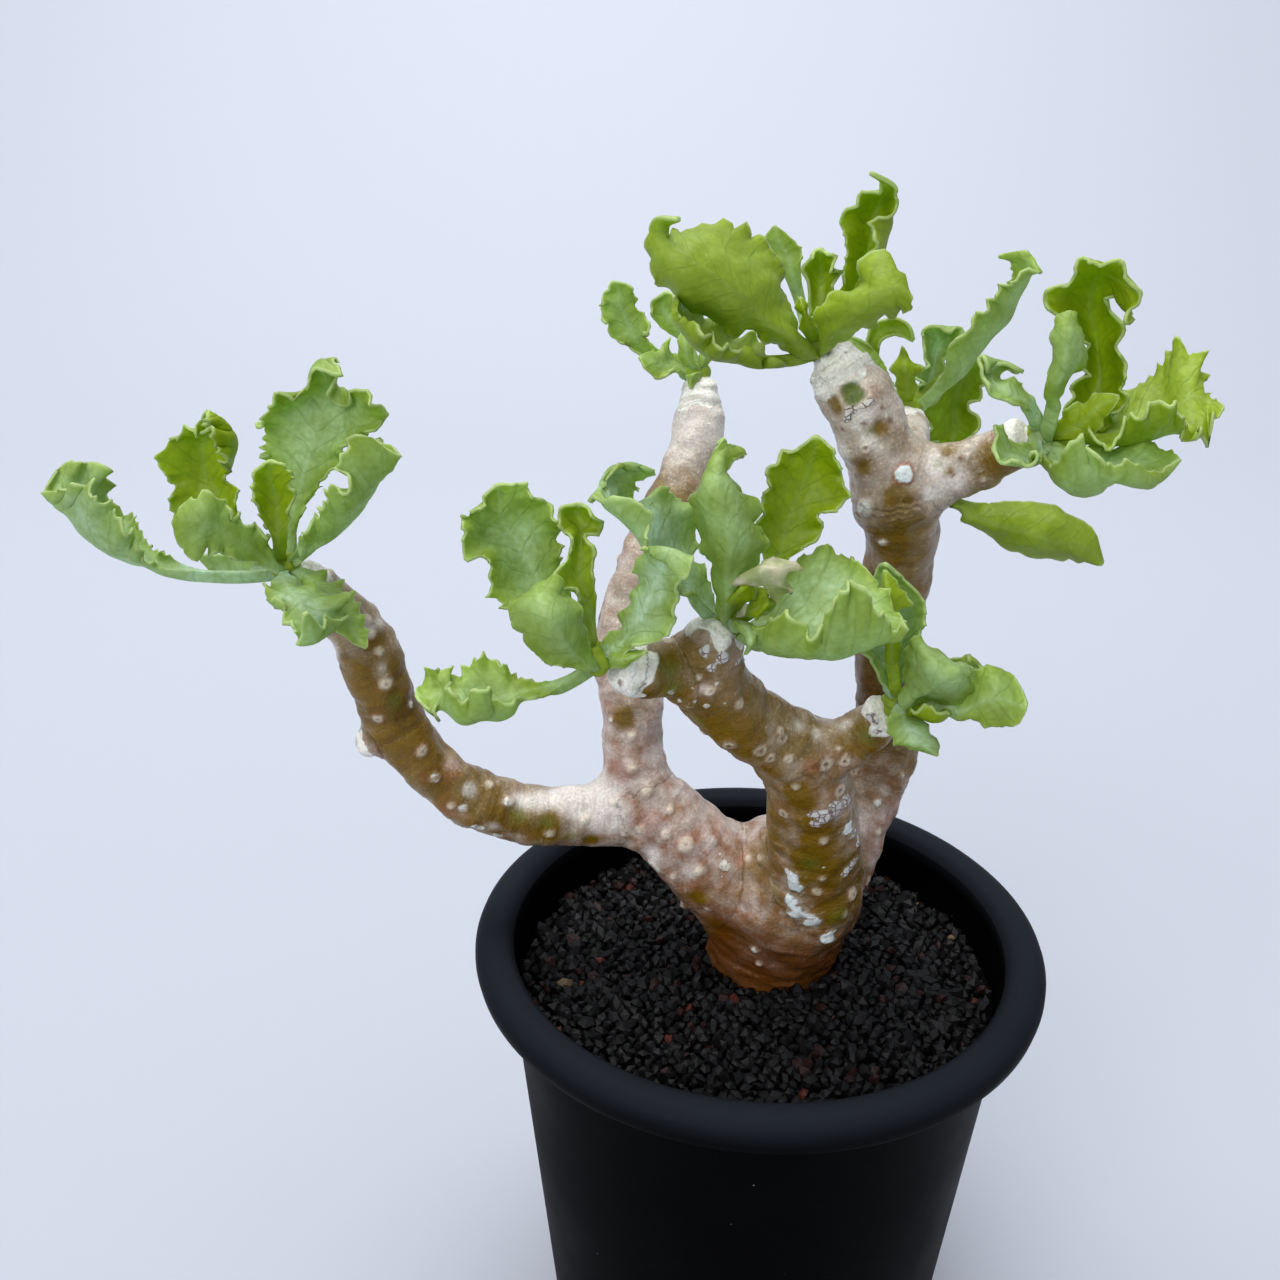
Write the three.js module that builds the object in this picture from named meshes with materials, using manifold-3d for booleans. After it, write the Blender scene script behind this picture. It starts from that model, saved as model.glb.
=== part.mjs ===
// A succulent with a swollen, branching stem and ruffled leaves, growing in a round nursery pot
// that is filled with dark crushed lava.
// Millimetres, +Z up. The origin is the centre of the pot's flat base. -Y is the front.

import * as THREE from "three";
import { mergeVertices } from "three/addons/utils/BufferGeometryUtils.js";
import Module from "manifold-3d";

const wasm = await Module();
wasm.setup();

// Pot
const POT_HEIGHT = 96;
const RIM_RADIUS = 52.5;
const RIM_WIDEST_Z = 93;
const LIP_UNDERSIDE_Z = 89.4;
const NECK_RADIUS = 46.4;
const FOOT_RADIUS = 38;
const WALL = 1.4;
const FLOOR = 2.4;
const POT_SIDES = 44;
const DRAIN_HOLES = 5;
const DRAIN_RADIUS = 3.5;
const DRAIN_RING = 24;

// Filling
const GAP = 0.3;
const GRAVEL_Z = 85.2;
const GRAIN = 1.1;
const STEM_HOLE_RADIUS = 12.9;
const STEM_HOLE_FLOOR = 60;

// Plant
const LIMB_SIDES = 10;
const LIMB_STEP = 7.5;
const LEAF_GAP = 0.35;
const BLADE = 1;
const PETIOLE_HALF = 1;
const PETIOLE_THICK = 1.9;
const TIP_HALF = 0.4;
const LEAF_STEP = 6.5;
const CORE_RADIUS = 3.7;
const TOOTH = 0.3;

const COLOURS = {
  pot: "#17181b",
  gravel: "#1c1a1b",
  stem: "#97785c",
  leaf: "#7fa955",
};

// Limbs: points on the centre line, each with the limb's radius there.
const LIMBS = {
  base: [
    [3.5, 6, 64.4, 12.3],
    [3.5, 6, 76, 12.4],
    [3.5, 6, 87, 12.5],
    [4, 5.5, 92, 13.4],
    [5, 5, 98, 14.2],
    [8, 4, 107, 12],
  ],
  leftLimb: [
    [5.5, 5, 96, 10.3],
    [-7, 5, 103.5, 9.2],
    [-16, 6, 112, 8],
    [-23, 8, 118, 7.1],
  ],
  farLeftBranch: [
    [-22, 8, 115.5, 6.6],
    [-31.5, 6, 115, 5.6],
    [-40.5, 4, 116, 5.5],
    [-49.5, 2, 119, 5.5],
    [-57, 1, 125, 5.1],
    [-64, 0, 135.5, 4.9],
    [-67.5, -1, 147, 5.5],
    [-71, -2, 156.5, 4.7],
    [-76, -2, 162.5, 3.8],
    [-78.5, -2, 164.5, 2.8],
  ],
  backBranch: [
    [-22.5, 8, 116.5, 6.5],
    [-23.5, 10, 127.5, 5.9],
    [-24, 13, 136.5, 5.7],
    [-26, 18, 145, 5.2],
    [-24, 23, 153, 4.8],
    [-20.5, 28, 160.5, 4.5],
    [-16.5, 33, 167.5, 4.7],
    [-13, 38, 175, 4.8],
    [-11.5, 42, 182, 4.8],
    [-12, 44, 186.5, 3.6],
  ],
  frontLimb: [
    [9, 2, 101, 10.3],
    [9, -4, 118, 8.2],
    [6.5, -8, 130, 7.2],
    [3.5, -10, 138, 6.7],
  ],
  frontBranch: [
    [4.5, -10, 137, 6.4],
    [-3.5, -13, 143.5, 6],
    [-9.5, -16, 150.5, 6.1],
    [-12, -18, 156.5, 5.5],
    [-11, -20, 162.5, 4.4],
    [-10.5, -20, 163.5, 3.3],
  ],
  frontLeftStub: [
    [-11, -17, 153, 4.7],
    [-17.5, -20, 156.5, 4.5],
    [-22.5, -24, 158, 4.1],
    [-25, -25, 159, 3.3],
  ],
  frontRightStub: [
    [4.5, -10, 137, 5.4],
    [10.5, -11, 139, 4.7],
    [15, -12, 142.5, 4.1],
    [17, -13.5, 146, 3.1],
  ],
  rightLimb: [
    [12, 6, 99, 8],
    [17.5, 9, 107.5, 6.3],
    [21.5, 13, 115.5, 5.9],
    [24.5, 15, 126, 5.9],
    [22.5, 14, 137.5, 5.2],
    [21.5, 12, 148.5, 5],
    [22, 9, 159, 5.4],
    [21.5, 6, 169, 5.9],
    [19.5, 3, 179, 6.9],
  ],
  topBranch: [
    [20, 3, 177, 6.6],
    [15.5, 3, 187, 6.1],
    [11.5, 3, 194.5, 5.7],
    [7.5, 4, 200, 4.4],
    [7, 4, 200.5, 3.5],
  ],
  rightBranch: [
    [18.5, 3, 180, 5.4],
    [26.5, 1, 182.5, 4.7],
    [32.5, -1, 185, 4.1],
    [37, -3, 188.5, 3.5],
    [38, -3.5, 189, 2.6],
  ],
  prunedStub: [
    [-66, 0, 135, 3.9],
    [-68.5, -1, 134, 3],
    [-70.5, -1, 133, 1.9],
  ],
  backStub: [
    [21.5, 8, 179, 4.2],
    [24, 18, 182.5, 3.6],
    [25.5, 28, 185, 3.1],
    [25.5, 28.5, 185.5, 2.5],
  ],
};

// The marked scars and the pruned end: centre and radius of each low round boss.
const BOSSES = [
  [19.2, -1.9, 183.6, 2],
  [14.4, 0.6, 176.4, 1.9],
  [10, -1, 195.6, 2.4],
  [13.3, -1.8, 187.4, 1.4],
  [5.7, -8.1, 107.3, 1.6],
  [-11, -2.9, 106.7, 1.4],
  [-52.6, -2.5, 124.4, 1.3],
  [-36.6, 0.8, 118.5, 1.3],
  [-10, -21.8, 153.9, 1.4],
  [-1.2, -17.1, 139.3, 1.3],
  [23.3, 7.3, 150.3, 1.3],
  [-22.3, 7, 134.2, 1.3],
];

// Leafy heads: the branch end that each grows from, its core and its leaves, all measured from
// the branch end. stalk holds the points that the leaf's stalk passes through, and rows the left
// edge, the midrib and the right edge at several places along the blade. Where an edge curls over,
// a row has five points: a given point stands between the midrib and that edge.
const HEADS = [
  {
    name: "head_far_left",
    end: [-81, -2, 166],
    core: CORE_RADIUS,
    leaves: [
      {
        stalk: [[-7, -2, 0], [-13.5, -4, 1]],
        rows: [
          [[-19, -7, 3.5], [-19.5, -4, 1.5], [-19, -1, 2.5]],
          [[-19.5, -10, 8.5], [-23, -5, 3], [-23, 3, 3]],
          [[-20, -12, 12], [-26, -6, 5], [-25, 5, 7.5]],
          [[-22, -13, 15.5], [-28.5, -7, 8], [-28.5, 5, 9]],
          [[-22.5, -13, 18.5], [-30.5, -7, 11], [-28, 3, 16]],
          [[-26.5, -11, 16.5], [-32.5, -7, 13], [-31.5, 0, 18]],
        ],
        tip: [-34.5, -6, 14.5],
      },
      {
        stalk: [[-5, 4, 0], [-10, 7, 2.5]],
        rows: [
          [[-14.5, 7, 5], [-12.5, 9, 5], [-9, 8, 7]],
          [[-21, 8, 7], [-14.5, 11, 8.5], [-9, 9, 10.5]],
          [[-20.5, 10, 11], [-15.5, 12, 11.5], [-11, 10, 12.5]],
          [[-22.5, 10, 14], null, [-15.5, 12, 14.5], [-10, 9, 15.5], [-9.5, 4, 16.5]],
          [[-21, 10, 18], null, [-15, 12, 17.5], [-8.5, 8, 18.5], [-10.5, 3, 20]],
          [[-16, 9, 20.5], null, [-13.5, 11, 20], [-8.5, 7, 21], [-12, 4, 22]],
        ],
        tip: [-11.5, 5, 24.5],
      },
      {
        stalk: [[-1, -3, 1.5]],
        rows: [
          [[-0.5, -6, 8], [-2.5, -6, 5], [-3.5, -7, 3.5]],
          [[-3, -8, 10.5], [-4.5, -9, 8], [-5.5, -9, 4.5]],
          [[-4.5, -10, 14], [-6.5, -11, 10.5], [-8, -11, 6.5]],
          [[-7.5, -11, 15.5], [-8, -13, 12.5], [-11, -12, 6.5]],
          [[-10, -11, 14.5], [-10, -13, 12.5], [-12, -12, 8.5]],
        ],
        tip: [-12.5, -12, 11.5],
      },
      {
        stalk: [[-5.5, 6, -2.5]],
        rows: [
          [[-9.5, 10, -1.5], [-10.5, 10, -4], [-11, 10, -5]],
          [[-14, 11, -1.5], [-15, 11, -4], [-14.5, 11, -6.5]],
        ],
        tip: [-18, 11, -2],
      },
      {
        stalk: [[0, -2, 2.5]],
        rows: [
          [[-0.5, -4, 7], [0.5, -4, 6], [2, -3, 6.5]],
          [[-2.5, -5, 12.5], [0.5, -3, 10.5], [3, -4, 11]],
          [[-2, -6, 15.5], [0.5, -3, 14], [4, -6, 15.5]],
          [[-0.5, -7, 18.5], [0.5, -5, 17.5], [4.5, -7, 18.5]],
        ],
        tip: [1.5, -6, 19.5],
      },
      {
        stalk: [[0, 2, 1]],
        rows: [
          [[-2, 5, 6.5], [0.5, 4, 6.5], [2.5, 4, 8]],
          [[-3.5, 7, 13], [2.5, 6, 13], [7, 5, 13.5]],
          [[-4, 8, 18.5], [4.5, 7, 18.5], [11.5, 4, 19]],
          [[-3.5, 6, 23], [6, 8, 23], [16.5, 2, 23.5]],
          [[0.5, 4, 27.5], [7, 9, 26], [16.5, 0, 28.5]],
          [[4, 5, 28], [7.5, 8, 28.5], [11, 4, 27.5]],
          [[5.5, 3, 31], [7.5, 6, 32], [10.5, 4, 32.5]],
        ],
        tip: [12, 0, 31.5],
      },
      {
        stalk: [[2.5, -2, 3.5]],
        rows: [
          [[3.5, 0, 5.5], [5, -3, 5], [5, -6, 8]],
          [[6.5, 2, 7.5], [9, -5, 7.5], [8.5, -9, 12.5]],
          [[8.5, 3, 11], [13, -6, 11], [10.5, -12, 15.5]],
          [[10.5, 4, 15.5], [16, -7, 15], [14, -13, 19]],
          [[13.5, 3, 21], [18.5, -8, 18.5], [13, -12, 22]],
          [[17.5, -2, 22], [20, -8, 20], [15.5, -10, 25]],
        ],
        tip: [21.5, -8, 21.5],
      },
      {
        stalk: [[1.5, -6, 1]],
        rows: [
          [[4.5, -7, 0.5], [3, -10, 0.5], [0, -10, 1]],
          [[8, -9, 0], [5.5, -14, 0], [0, -13, 0.5]],
          [[12, -10, -1], [7.5, -16, -2], [4.5, -17, -1]],
          [[12, -12, -3], [9, -17, -4.5], [6, -20, -2.5]],
          [[11, -17, -2.5], [9, -19, -4.5], [6.5, -20, -4.5]],
        ],
        tip: [9, -23, 1.5],
      },
      {
        stalk: [[3.5, -3, 0.5]],
        rows: [
          [[7.5, -3, 0], [6, -6, 0], [4, -6, -1.5]],
          [[11.5, -4, -2.5], [10, -8, -2.5], [7.5, -8, -4.5]],
          [[14, -7, -5], [12, -10, -5.5], [9.5, -9, -7]],
          [[15, -9, -7], [13.5, -11, -7.5], [12.5, -11, -8.5]],
        ],
        tip: [15, -11, -9.5],
      },
    ],
  },
  {
    name: "head_front_left",
    end: [-28.5, -26, 161],
    core: CORE_RADIUS,
    leaves: [
      {
        stalk: [[-5.5, -2, -3]],
        rows: [
          [[-10, -7, -3.5], [-11.5, -4, -4], [-10.5, -2, -2.5]],
          [[-14, -10, -2.5], [-13.5, -10, -4.5], [-14.5, -5, -4.5], null, [-15, 0, -1]],
          [[-16.5, -13, 1.5], [-16.5, -12, -4], [-18, -5, -5], null, [-18, 0, 0]],
          [[-18.5, -13, -0.5], [-19, -12, -4.5], [-20.5, -6, -4], null, [-21.5, -1, -2]],
          [[-20.5, -12, 1], [-21.5, -11, -3], [-23, -6, -3.5], null, [-23.5, -2, -0.5]],
          [[-24, -10, -3.5], [-25, -7, -3.5], [-25.5, -3, -2]],
        ],
        tip: [-26.5, -6, -3],
      },
      {
        stalk: [[-1.5, 2, 2], [-4, 4, 5]],
        rows: [
          [[-13, 2, 6.5], [-7.5, 6, 7], [-5, 9, 9]],
          [[-16.5, 3, 8.5], [-10, 8, 10], [-6, 10, 12]],
          [[-16.5, 3, 14], [-12, 9, 13.5], [-5.5, 10, 16]],
          [[-20.5, 3, 16.5], [-14, 10, 16.5], [-6, 9, 19]],
          [[-19.5, 4, 20], [-15, 9, 19.5], [-9, 8, 22]],
          [[-18.5, 6, 21], [-15, 9, 22], [-11, 7, 24]],
        ],
        tip: [-15, 8, 24],
      },
      {
        stalk: [[-1.5, -2, 0]],
        rows: [
          [[-1.5, -2, 2.5], [-3, -5, 2.5], [-4.5, -5, 1]],
          [[-2, -3, 6.5], [-5, -9, 7], [-8.5, -5, 2.5]],
          [[-3.5, -3, 9.5], [-6.5, -10, 10.5], [-10.5, -5, 6]],
          [[-5, -2, 11], [-8, -8, 12], [-12.5, -3, 7]],
          [[-6, -1, 12.5], [-8.5, -5, 12.5], [-12, -2, 8.5]],
        ],
        tip: [-8.5, -2, 12],
      },
      {
        stalk: [[-0.5, 0, 2], [-1, 2, 5]],
        rows: [
          [[-2.5, 0, 8.5], [-1.5, 3, 8], [-0.5, 4, 8]],
          [[-5.5, 0, 12.5], [-3, 4, 11.5], [-1, 4, 12]],
          [[-4.5, 2, 14.5], [-3, 5, 14], [-1.5, 4, 15.5]],
          [[-4, 4, 18], [-3, 7, 16.5], [-2.5, 7, 17]],
          [[-5.5, 6, 19], [-3, 9, 18], [-0.5, 7, 18]],
          [[-5, 7, 21], [-3.5, 9, 20], [-1, 7, 20.5]],
        ],
        tip: [-3, 8, 21],
      },
      {
        stalk: [[0.5, -1, 1]],
        rows: [
          [[0, -1, 2.5], [1.5, -3, 2.5], [2, -5, 2]],
          [[2, -1, 4.5], [4, -5, 5.5], [6, -8, 5.5]],
          [[4, -1, 9], [6.5, -6, 10], [10, -10, 8]],
          [[5, -2, 13], [8, -6, 13.5], [11, -10, 12.5]],
          [[5, -4, 16.5], [9, -8, 17], [11.5, -11, 16.5]],
          [[7, -7, 19.5], [10, -11, 20.5], [13, -13, 19.5]],
        ],
        tip: [12, -15, 18],
      },
      {
        stalk: [[1, -1, 0]],
        rows: [
          [[2, -3, 2.5], [2, -5, 2], [2.5, -5, 0.5]],
          [[5, -6, 4], [4.5, -8, 3.5], [4.5, -7, 2]],
        ],
        tip: [7, -8, 4.5],
      },
    ],
  },
  {
    name: "head_front",
    end: [-9, -20, 165],
    core: CORE_RADIUS,
    leaves: [
      {
        stalk: [[-2, -1, 1.5]],
        rows: [
          [[-4.5, -6, 5.5], [-4, -2, 3.5], [-2.5, 1, 4.5]],
          [[-8, -10, 9], [-7, -3, 7.5], [-4.5, 3, 8.5]],
          [[-11, -11, 15], [-10.5, -4, 11.5], [-5, 5, 12.5]],
          [[-12, -11, 19], [-13, -6, 15.5], [-6, 5, 17]],
          [[-13.5, -10, 21.5], [-15.5, -7, 18], [-10.5, 3, 19.5]],
          [[-16.5, -9, 21.5], [-18, -8, 20.5], [-13.5, 0, 19]],
          [[-19.5, -8, 21], [-18, -4, 23], [-14.5, 0, 20]],
          [[-17, -4, 24.5], [-15, -2, 24], [-14, 0, 21.5]],
        ],
        tip: [-11.5, 0, 22.5],
      },
      {
        stalk: [[-0.5, -1, 1.5]],
        rows: [
          [[1.5, -3, 5], [-0.5, -5, 6], [-2, -3, 6]],
          [[3, -2, 8], [-1, -7, 10.5], [-3, -3, 10]],
          [[4.5, -1, 12], [-1, -9, 15.5], [-4.5, -2, 13.5]],
          [[3.5, 0, 16], [-2, -9, 19.5], [-6.5, -1, 18]],
          [[2, 0, 19], [-3, -8, 23], [-5, -2, 21]],
          [[-1, -2, 22.5], [-3, -6, 25], [-4, -3, 24.5]],
          [[-1.5, -3, 24.5], [-2.5, -4, 26.5], [-3, -3, 26]],
          [[0.5, -1, 25.5], [-2, -3, 27.5], [-3, -4, 28.5]],
        ],
        tip: [1, 0, 25],
      },
      {
        stalk: [[1, 2, 1.5], [4, 3, 5]],
        rows: [
          [[5.5, 4, 8.5], [7.5, 5, 8], [9.5, 5, 8]],
          [[4, 5, 12.5], [8.5, 7, 11], [13.5, 5, 11.5]],
          [[5, 5, 15.5], [9.5, 8, 14.5], [14, 5, 15]],
          [[5.5, 6, 19], [11, 9, 18], [17.5, 5, 17.5]],
          [[6.5, 6, 22.5], [12, 9, 21.5], [17, 6, 21.5]],
          [[10, 7, 24.5], [12.5, 8, 24], [15.5, 6, 24.5]],
        ],
        tip: [12.5, 7, 26.5],
      },
      {
        stalk: [[2, -2, -0.5]],
        rows: [
          [[6.5, 2, 2], null, [5, -3, -0.5], [4, -7, -1.5], [4, -9, 3]],
          [[9, 6, 5.5], null, [8.5, -4, 0.5], [7, -10, -1], [7.5, -13, 6.5]],
          [[13, 8, 8.5], null, [11.5, -5, 1.5], [10.5, -12, -0.5], [11, -15, 4.5]],
          [[17, 8, 8.5], null, [15, -6, 2], [14, -13, 0], [14, -16, 11.5]],
          [[20, 1, 8.5], null, [17.5, -7, 3], [17.5, -13, 1], [17, -15, 11.5]],
          [[22, -3, 7.5], null, [19.5, -8, 4], [20, -13, 2], [20, -14, 7]],
          [[23.5, -4, 5], null, [21.5, -9, 4.5], [22.5, -12, 2.5], [22.5, -12, 4.5]],
        ],
        tip: [24.5, -9, 4],
      },
      {
        stalk: [[1.5, -2, 1], [4.5, -4, 2.5]],
        rows: [
          [[5.5, -5, 5], [6.5, -5, 5], [7, -5, 5]],
          [[3.5, -6, 8.5], [5, -8, 9.5], [7.5, -5, 7.5]],
          [[3, -6, 10.5], [5, -9, 11.5], [8.5, -5, 9]],
          [[4, -6, 11.5], [5.5, -7, 12], [7.5, -6, 11.5]],
        ],
        tip: [5.5, -7, 12.5],
      },
      {
        stalk: [[1, -4, 1.5]],
        rows: [
          [[4, -7, 1.5], [2, -8, 2], [1, -6, 1.5]],
          [[4, -9, 0.5], [2.5, -11, 1], [1.5, -8, -0.5]],
        ],
        tip: [2, -9, -2],
      },
      {
        stalk: [[0.5, -2, 2]],
        rows: [
          [[-1.5, -4, 4.5], [0, -7, 6], [2.5, -5, 5.5]],
          [[-0.5, -4, 6], [1, -8, 8], [3, -5, 7.5]],
        ],
        tip: [1.5, -6, 8],
      },
      {
        stalk: [[2, -2, 2]],
        rows: [
          [[3, -2, 4], [3, -6, 4], [3, -6, 2.5]],
          [[5.5, -3, 6], [5, -8, 6], [4.5, -7, 3.5]],
        ],
        tip: [6.5, -5, 4.5],
      },
    ],
  },
  {
    name: "head_front_right",
    end: [19, -15, 148.5],
    core: CORE_RADIUS,
    leaves: [
      {
        stalk: [[-0.5, -1, 1.5]],
        rows: [
          [[-2, -2, 3.5], [-1, -1, 3], [0, -1, 3.5]],
          [[-5, -3, 8], [-1, 1, 6.5], [1, 0, 7]],
          [[-7.5, -4, 13], [-1.5, 2, 10.5], [2.5, 0, 11.5]],
          [[-7, 0, 15.5], [-1.5, 3, 14.5], [3, 0, 15]],
          [[-6, 2, 19], [-2, 3, 19], [1.5, 1, 18.5]],
          [[-4.5, 3, 21.5], [-3, 3, 21.5], [-1, 1, 21]],
        ],
        tip: [-4, 0, 23.5],
      },
      {
        stalk: [[0.5, -2, 1.5]],
        rows: [
          [[4, -2, 2], [1.5, -4, 4], [0.5, -2, 3.5]],
          [[7.5, -3, 1.5], [3, -8, 7], [0.5, -3, 9]],
          [[9, -4, 3], [4, -10, 9.5], [1, -3, 13]],
          [[10, -4, 4.5], [5.5, -10, 10], [4, -3, 11]],
          [[9.5, -5, 7], [7.5, -8, 9.5], [7, -3, 9]],
        ],
        tip: [9.5, -5, 8.5],
      },
      {
        stalk: [[4.5, -3, 1], [7, -5, 1.5]],
        rows: [
          [[9, -4, 3], [9, -6, 2], [8.5, -6, 0]],
          [[10.5, -3, 6], [11.5, -7, 4], [11.5, -7, 0.5]],
          [[12.5, -3, 8], [14, -8, 5], [14, -8, 0]],
          [[16, -4, 8], [16, -8, 4.5], [16.5, -9, 1]],
          [[17, -6, 6.5], [17.5, -8, 4], [17.5, -9, 2.5]],
        ],
        tip: [18, -8, 4.5],
      },
      {
        stalk: [[0, -3, 1.5]],
        rows: [
          [[2, -3, 0], [0, -5, 0.5], [-2, -4, 0.5]],
          [[3.5, -5, -0.5], [0, -8, 0], [-3, -7, -1]],
          [[4.5, -6, -1.5], [1, -10, -1], [-2, -9, -2.5]],
          [[5.5, -7, -3.5], [3, -10, -2.5], [1.5, -9, -3.5]],
        ],
        tip: [5, -9, -4.5],
      },
      {
        stalk: [[3, 2, 0], [5.5, 3, 2]],
        rows: [
          [[7.5, 2, 6.5], [8.5, 2, 5], [9, 1, 4]],
          [[9, 2, 7.5], [10.5, 1, 6], [11, -1, 3]],
          [[11, 1, 8], [12.5, 0, 6], [12.5, -2, 3.5]],
        ],
        tip: [13.5, -2, 4.5],
      },
      {
        stalk: [[1, -3, 1]],
        rows: [
          [[3, -2, 1.5], [2.5, -6, 1.5], [1.5, -8, 3.5]],
          [[5, -2, 1.5], [4.5, -7, 1], [4, -9, 4]],
        ],
        tip: [7, -6, 2],
      },
      {
        stalk: [[-1, -2, 3.5], [-2, -3, 8]],
        rows: [
          [[-4, -3, 11.5], [-3, -5, 12.5], [-1, -4, 13]],
          [[-5.5, -3, 16.5], [-4, -6, 18], [-1, -4, 17.5]],
          [[-5.5, -3, 20.5], [-4.5, -6, 21.5], [-1.5, -4, 20.5]],
        ],
        tip: [-4.5, -3, 24],
      },
    ],
  },
  {
    name: "head_top",
    end: [5.5, 4, 202],
    core: CORE_RADIUS,
    leaves: [
      {
        stalk: [[-2, -2, -0.5]],
        rows: [
          [[-4, -3, 2.5], [-5.5, -7, 2.5], [-7, -5, 1]],
          [[-5.5, -2, 6.5], [-10, -10, 5.5], [-11.5, -6, 3]],
          [[-6.5, -1, 11.5], [-13.5, -13, 9], [-16, -7, 4]],
          [[-9.5, -1, 15.5], [-17, -15, 11.5], [-19.5, -8, 6]],
          [[-14.5, -2, 18], [-20, -16, 13.5], [-22, -10, 8]],
          [[-19.5, -4, 18], [-22.5, -16, 15], [-25, -11, 10.5]],
          [[-22.5, -7, 17], [-24, -15, 16], [-26.5, -12, 12.5]],
          [[-24.5, -10, 17], [-25.5, -14, 17], [-27, -12, 16.5]],
          [[-24.5, -12, 19], [-25.5, -14, 19.5], [-26.5, -14, 20]],
        ],
        tip: [-23, -16, 20.5],
      },
      {
        stalk: [[-4.5, -4, -0.5], [-9.5, -9, 0]],
        rows: [
          [[-12, -13, 1.5], [-13.5, -11, 0], [-9, -2, 1.5]],
          [[-16.5, -17, 3.5], [-17.5, -13, 1], [-13, -2, 2.5]],
          [[-19.5, -18, 5.5], [-20.5, -14, 3], [-17, -3, 4.5]],
          [[-21, -18, 6.5], [-22, -15, 5], [-19.5, -5, 6.5]],
          [[-23, -17, 7], [-23, -15, 7.5], [-21.5, -8, 8.5]],
        ],
        tip: [-23, -13, 9],
      },
      {
        stalk: [[-1.5, 6, 2], [-3, 10, 7]],
        rows: [
          [[-5.5, 11, 10], [-4, 10, 10], [-2.5, 10, 11.5]],
          [[-7.5, 12, 13], [-5, 11, 13], [-2.5, 11, 13.5]],
          [[-8.5, 12, 15], [-6.5, 11, 15], [-4.5, 11, 15.5]],
        ],
        tip: [-7, 11, 17],
      },
      {
        stalk: [[-0.5, -1, 3]],
        rows: [
          [[-2, -1, 6.5], [-0.5, 0, 6.5], [1, -1, 7]],
          [[-2.5, -1, 10], [-0.5, 1, 9.5], [1.5, -1, 10]],
          [[-3, -2, 12.5], [-0.5, 1, 12], [1.5, -2, 12]],
          [[-2.5, -2, 14], [-1, 0, 13.5], [0.5, -2, 13.5]],
        ],
        tip: [-1, -1, 14.5],
      },
      {
        stalk: [[2, 1, 1.5], [3.5, 3, 5]],
        rows: [
          [[2.5, 2, 8], [5, 4, 7.5], [6, 1, 8.5]],
          [[3.5, 2, 12.5], null, [7, 5, 12], [8, 2, 12.5], [5.5, -2, 13]],
          [[3, 2, 16], null, [7.5, 5, 16], [9, 2, 16], [6, -3, 16]],
          [[2.5, 2, 19], null, [8, 5, 19.5], [9.5, 2, 18.5], [6.5, -3, 18.5]],
          [[4, 1, 22], [8.5, 4, 21.5], [9.5, -1, 21]],
          [[7.5, 0, 22.5], [9, 1, 23], [9.5, -1, 22.5]],
          [[7.5, -1, 24], [8.5, -1, 24], [9.5, -2, 23.5]],
        ],
        tip: [5.5, -3, 25.5],
      },
      {
        stalk: [[0.5, -3, 1]],
        rows: [
          [[3, -4, 1.5], [0.5, -7, 3.5], [-1, -6, 4]],
          [[5.5, -5, 3], [2.5, -10, 6], [-2.5, -7, 6.5]],
          [[7, -6, 5], [4.5, -12, 8], [1, -8, 9]],
          [[9, -8, 6], [6.5, -13, 9.5], [5, -8, 11]],
          [[10, -10, 7], [8.5, -13, 10.5], [7, -7, 15]],
          [[11, -12, 7.5], [9.5, -13, 10], [9, -9, 12.5]],
        ],
        tip: [11, -13, 9],
      },
      {
        stalk: [[-1.5, -3, 1.5]],
        rows: [
          [[-4, -5, 4], [-3, -7, 4.5], [-1.5, -5, 4]],
          [[-4.5, -6, 6.5], [-4, -9, 7], [-2.5, -6, 6.5]],
        ],
        tip: [-4.5, -7, 8.5],
      },
    ],
  },
  {
    name: "head_behind_right",
    end: [26, 30, 186],
    core: CORE_RADIUS,
    leaves: [
      {
        stalk: [[2.5, -1, 3], [5, -2, 6]],
        rows: [
          [[7, 2, 8.5], [8.5, -1, 8], [4.5, -5, 11.5]],
          [[10, 3, 13], [12, -1, 13], [7, -6, 15.5]],
          [[12.5, 3, 16.5], [14.5, -2, 16.5], [9.5, -7, 19.5]],
          [[14.5, 2, 20], [16, -3, 20.5], [11, -8, 22.5]],
          [[16, 0, 23], [17, -4, 23.5], [13.5, -8, 25]],
          [[15, -1, 26], [17, -5, 26], [18, -8, 25.5]],
          [[13.5, -1, 27.5], [16, -4, 28], [18.5, -6, 26.5]],
        ],
        tip: [16.5, -4, 28.5],
      },
      {
        stalk: [[-1, 1, 0.5]],
        rows: [
          [[-4.5, 1, 2], [-3, 2, 2.5], [-1.5, 3, 2]],
          [[-7, 2, 5.5], [-5.5, 3, 5.5], [-3, 4, 5]],
          [[-9, 3, 8.5], [-7, 4, 8.5], [-5, 5, 8.5]],
          [[-11, 4, 11], [-9.5, 5, 11], [-7.5, 5, 10.5]],
        ],
        tip: [-12, 5, 12.5],
      },
      {
        stalk: [[-2.5, 4, 2], [-6, 6, 7]],
        rows: [
          [[-7.5, 6, 10.5], [-6.5, 7, 10.5], [-5.5, 6, 10]],
          [[-7, 6, 13.5], [-5.5, 7, 12.5], [-5, 6, 11.5]],
          [[-3.5, 6, 15.5], [-3, 7, 13.5], [-3, 6, 12.5]],
          [[-1, 5, 14.5], [-1, 6, 13.5], [-1.5, 6, 12]],
        ],
        tip: [0.5, 5, 11.5],
      },
      {
        stalk: [[-1, -2, 2]],
        rows: [
          [[-3.5, -3, 4], [-1.5, -4, 4.5], [0.5, -3, 4]],
          [[-4.5, -3, 7.5], [-2.5, -5, 8.5], [0, -3, 8]],
          [[-3.5, -3, 10], [-2.5, -4, 10.5], [-1, -3, 9.5]],
        ],
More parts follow.
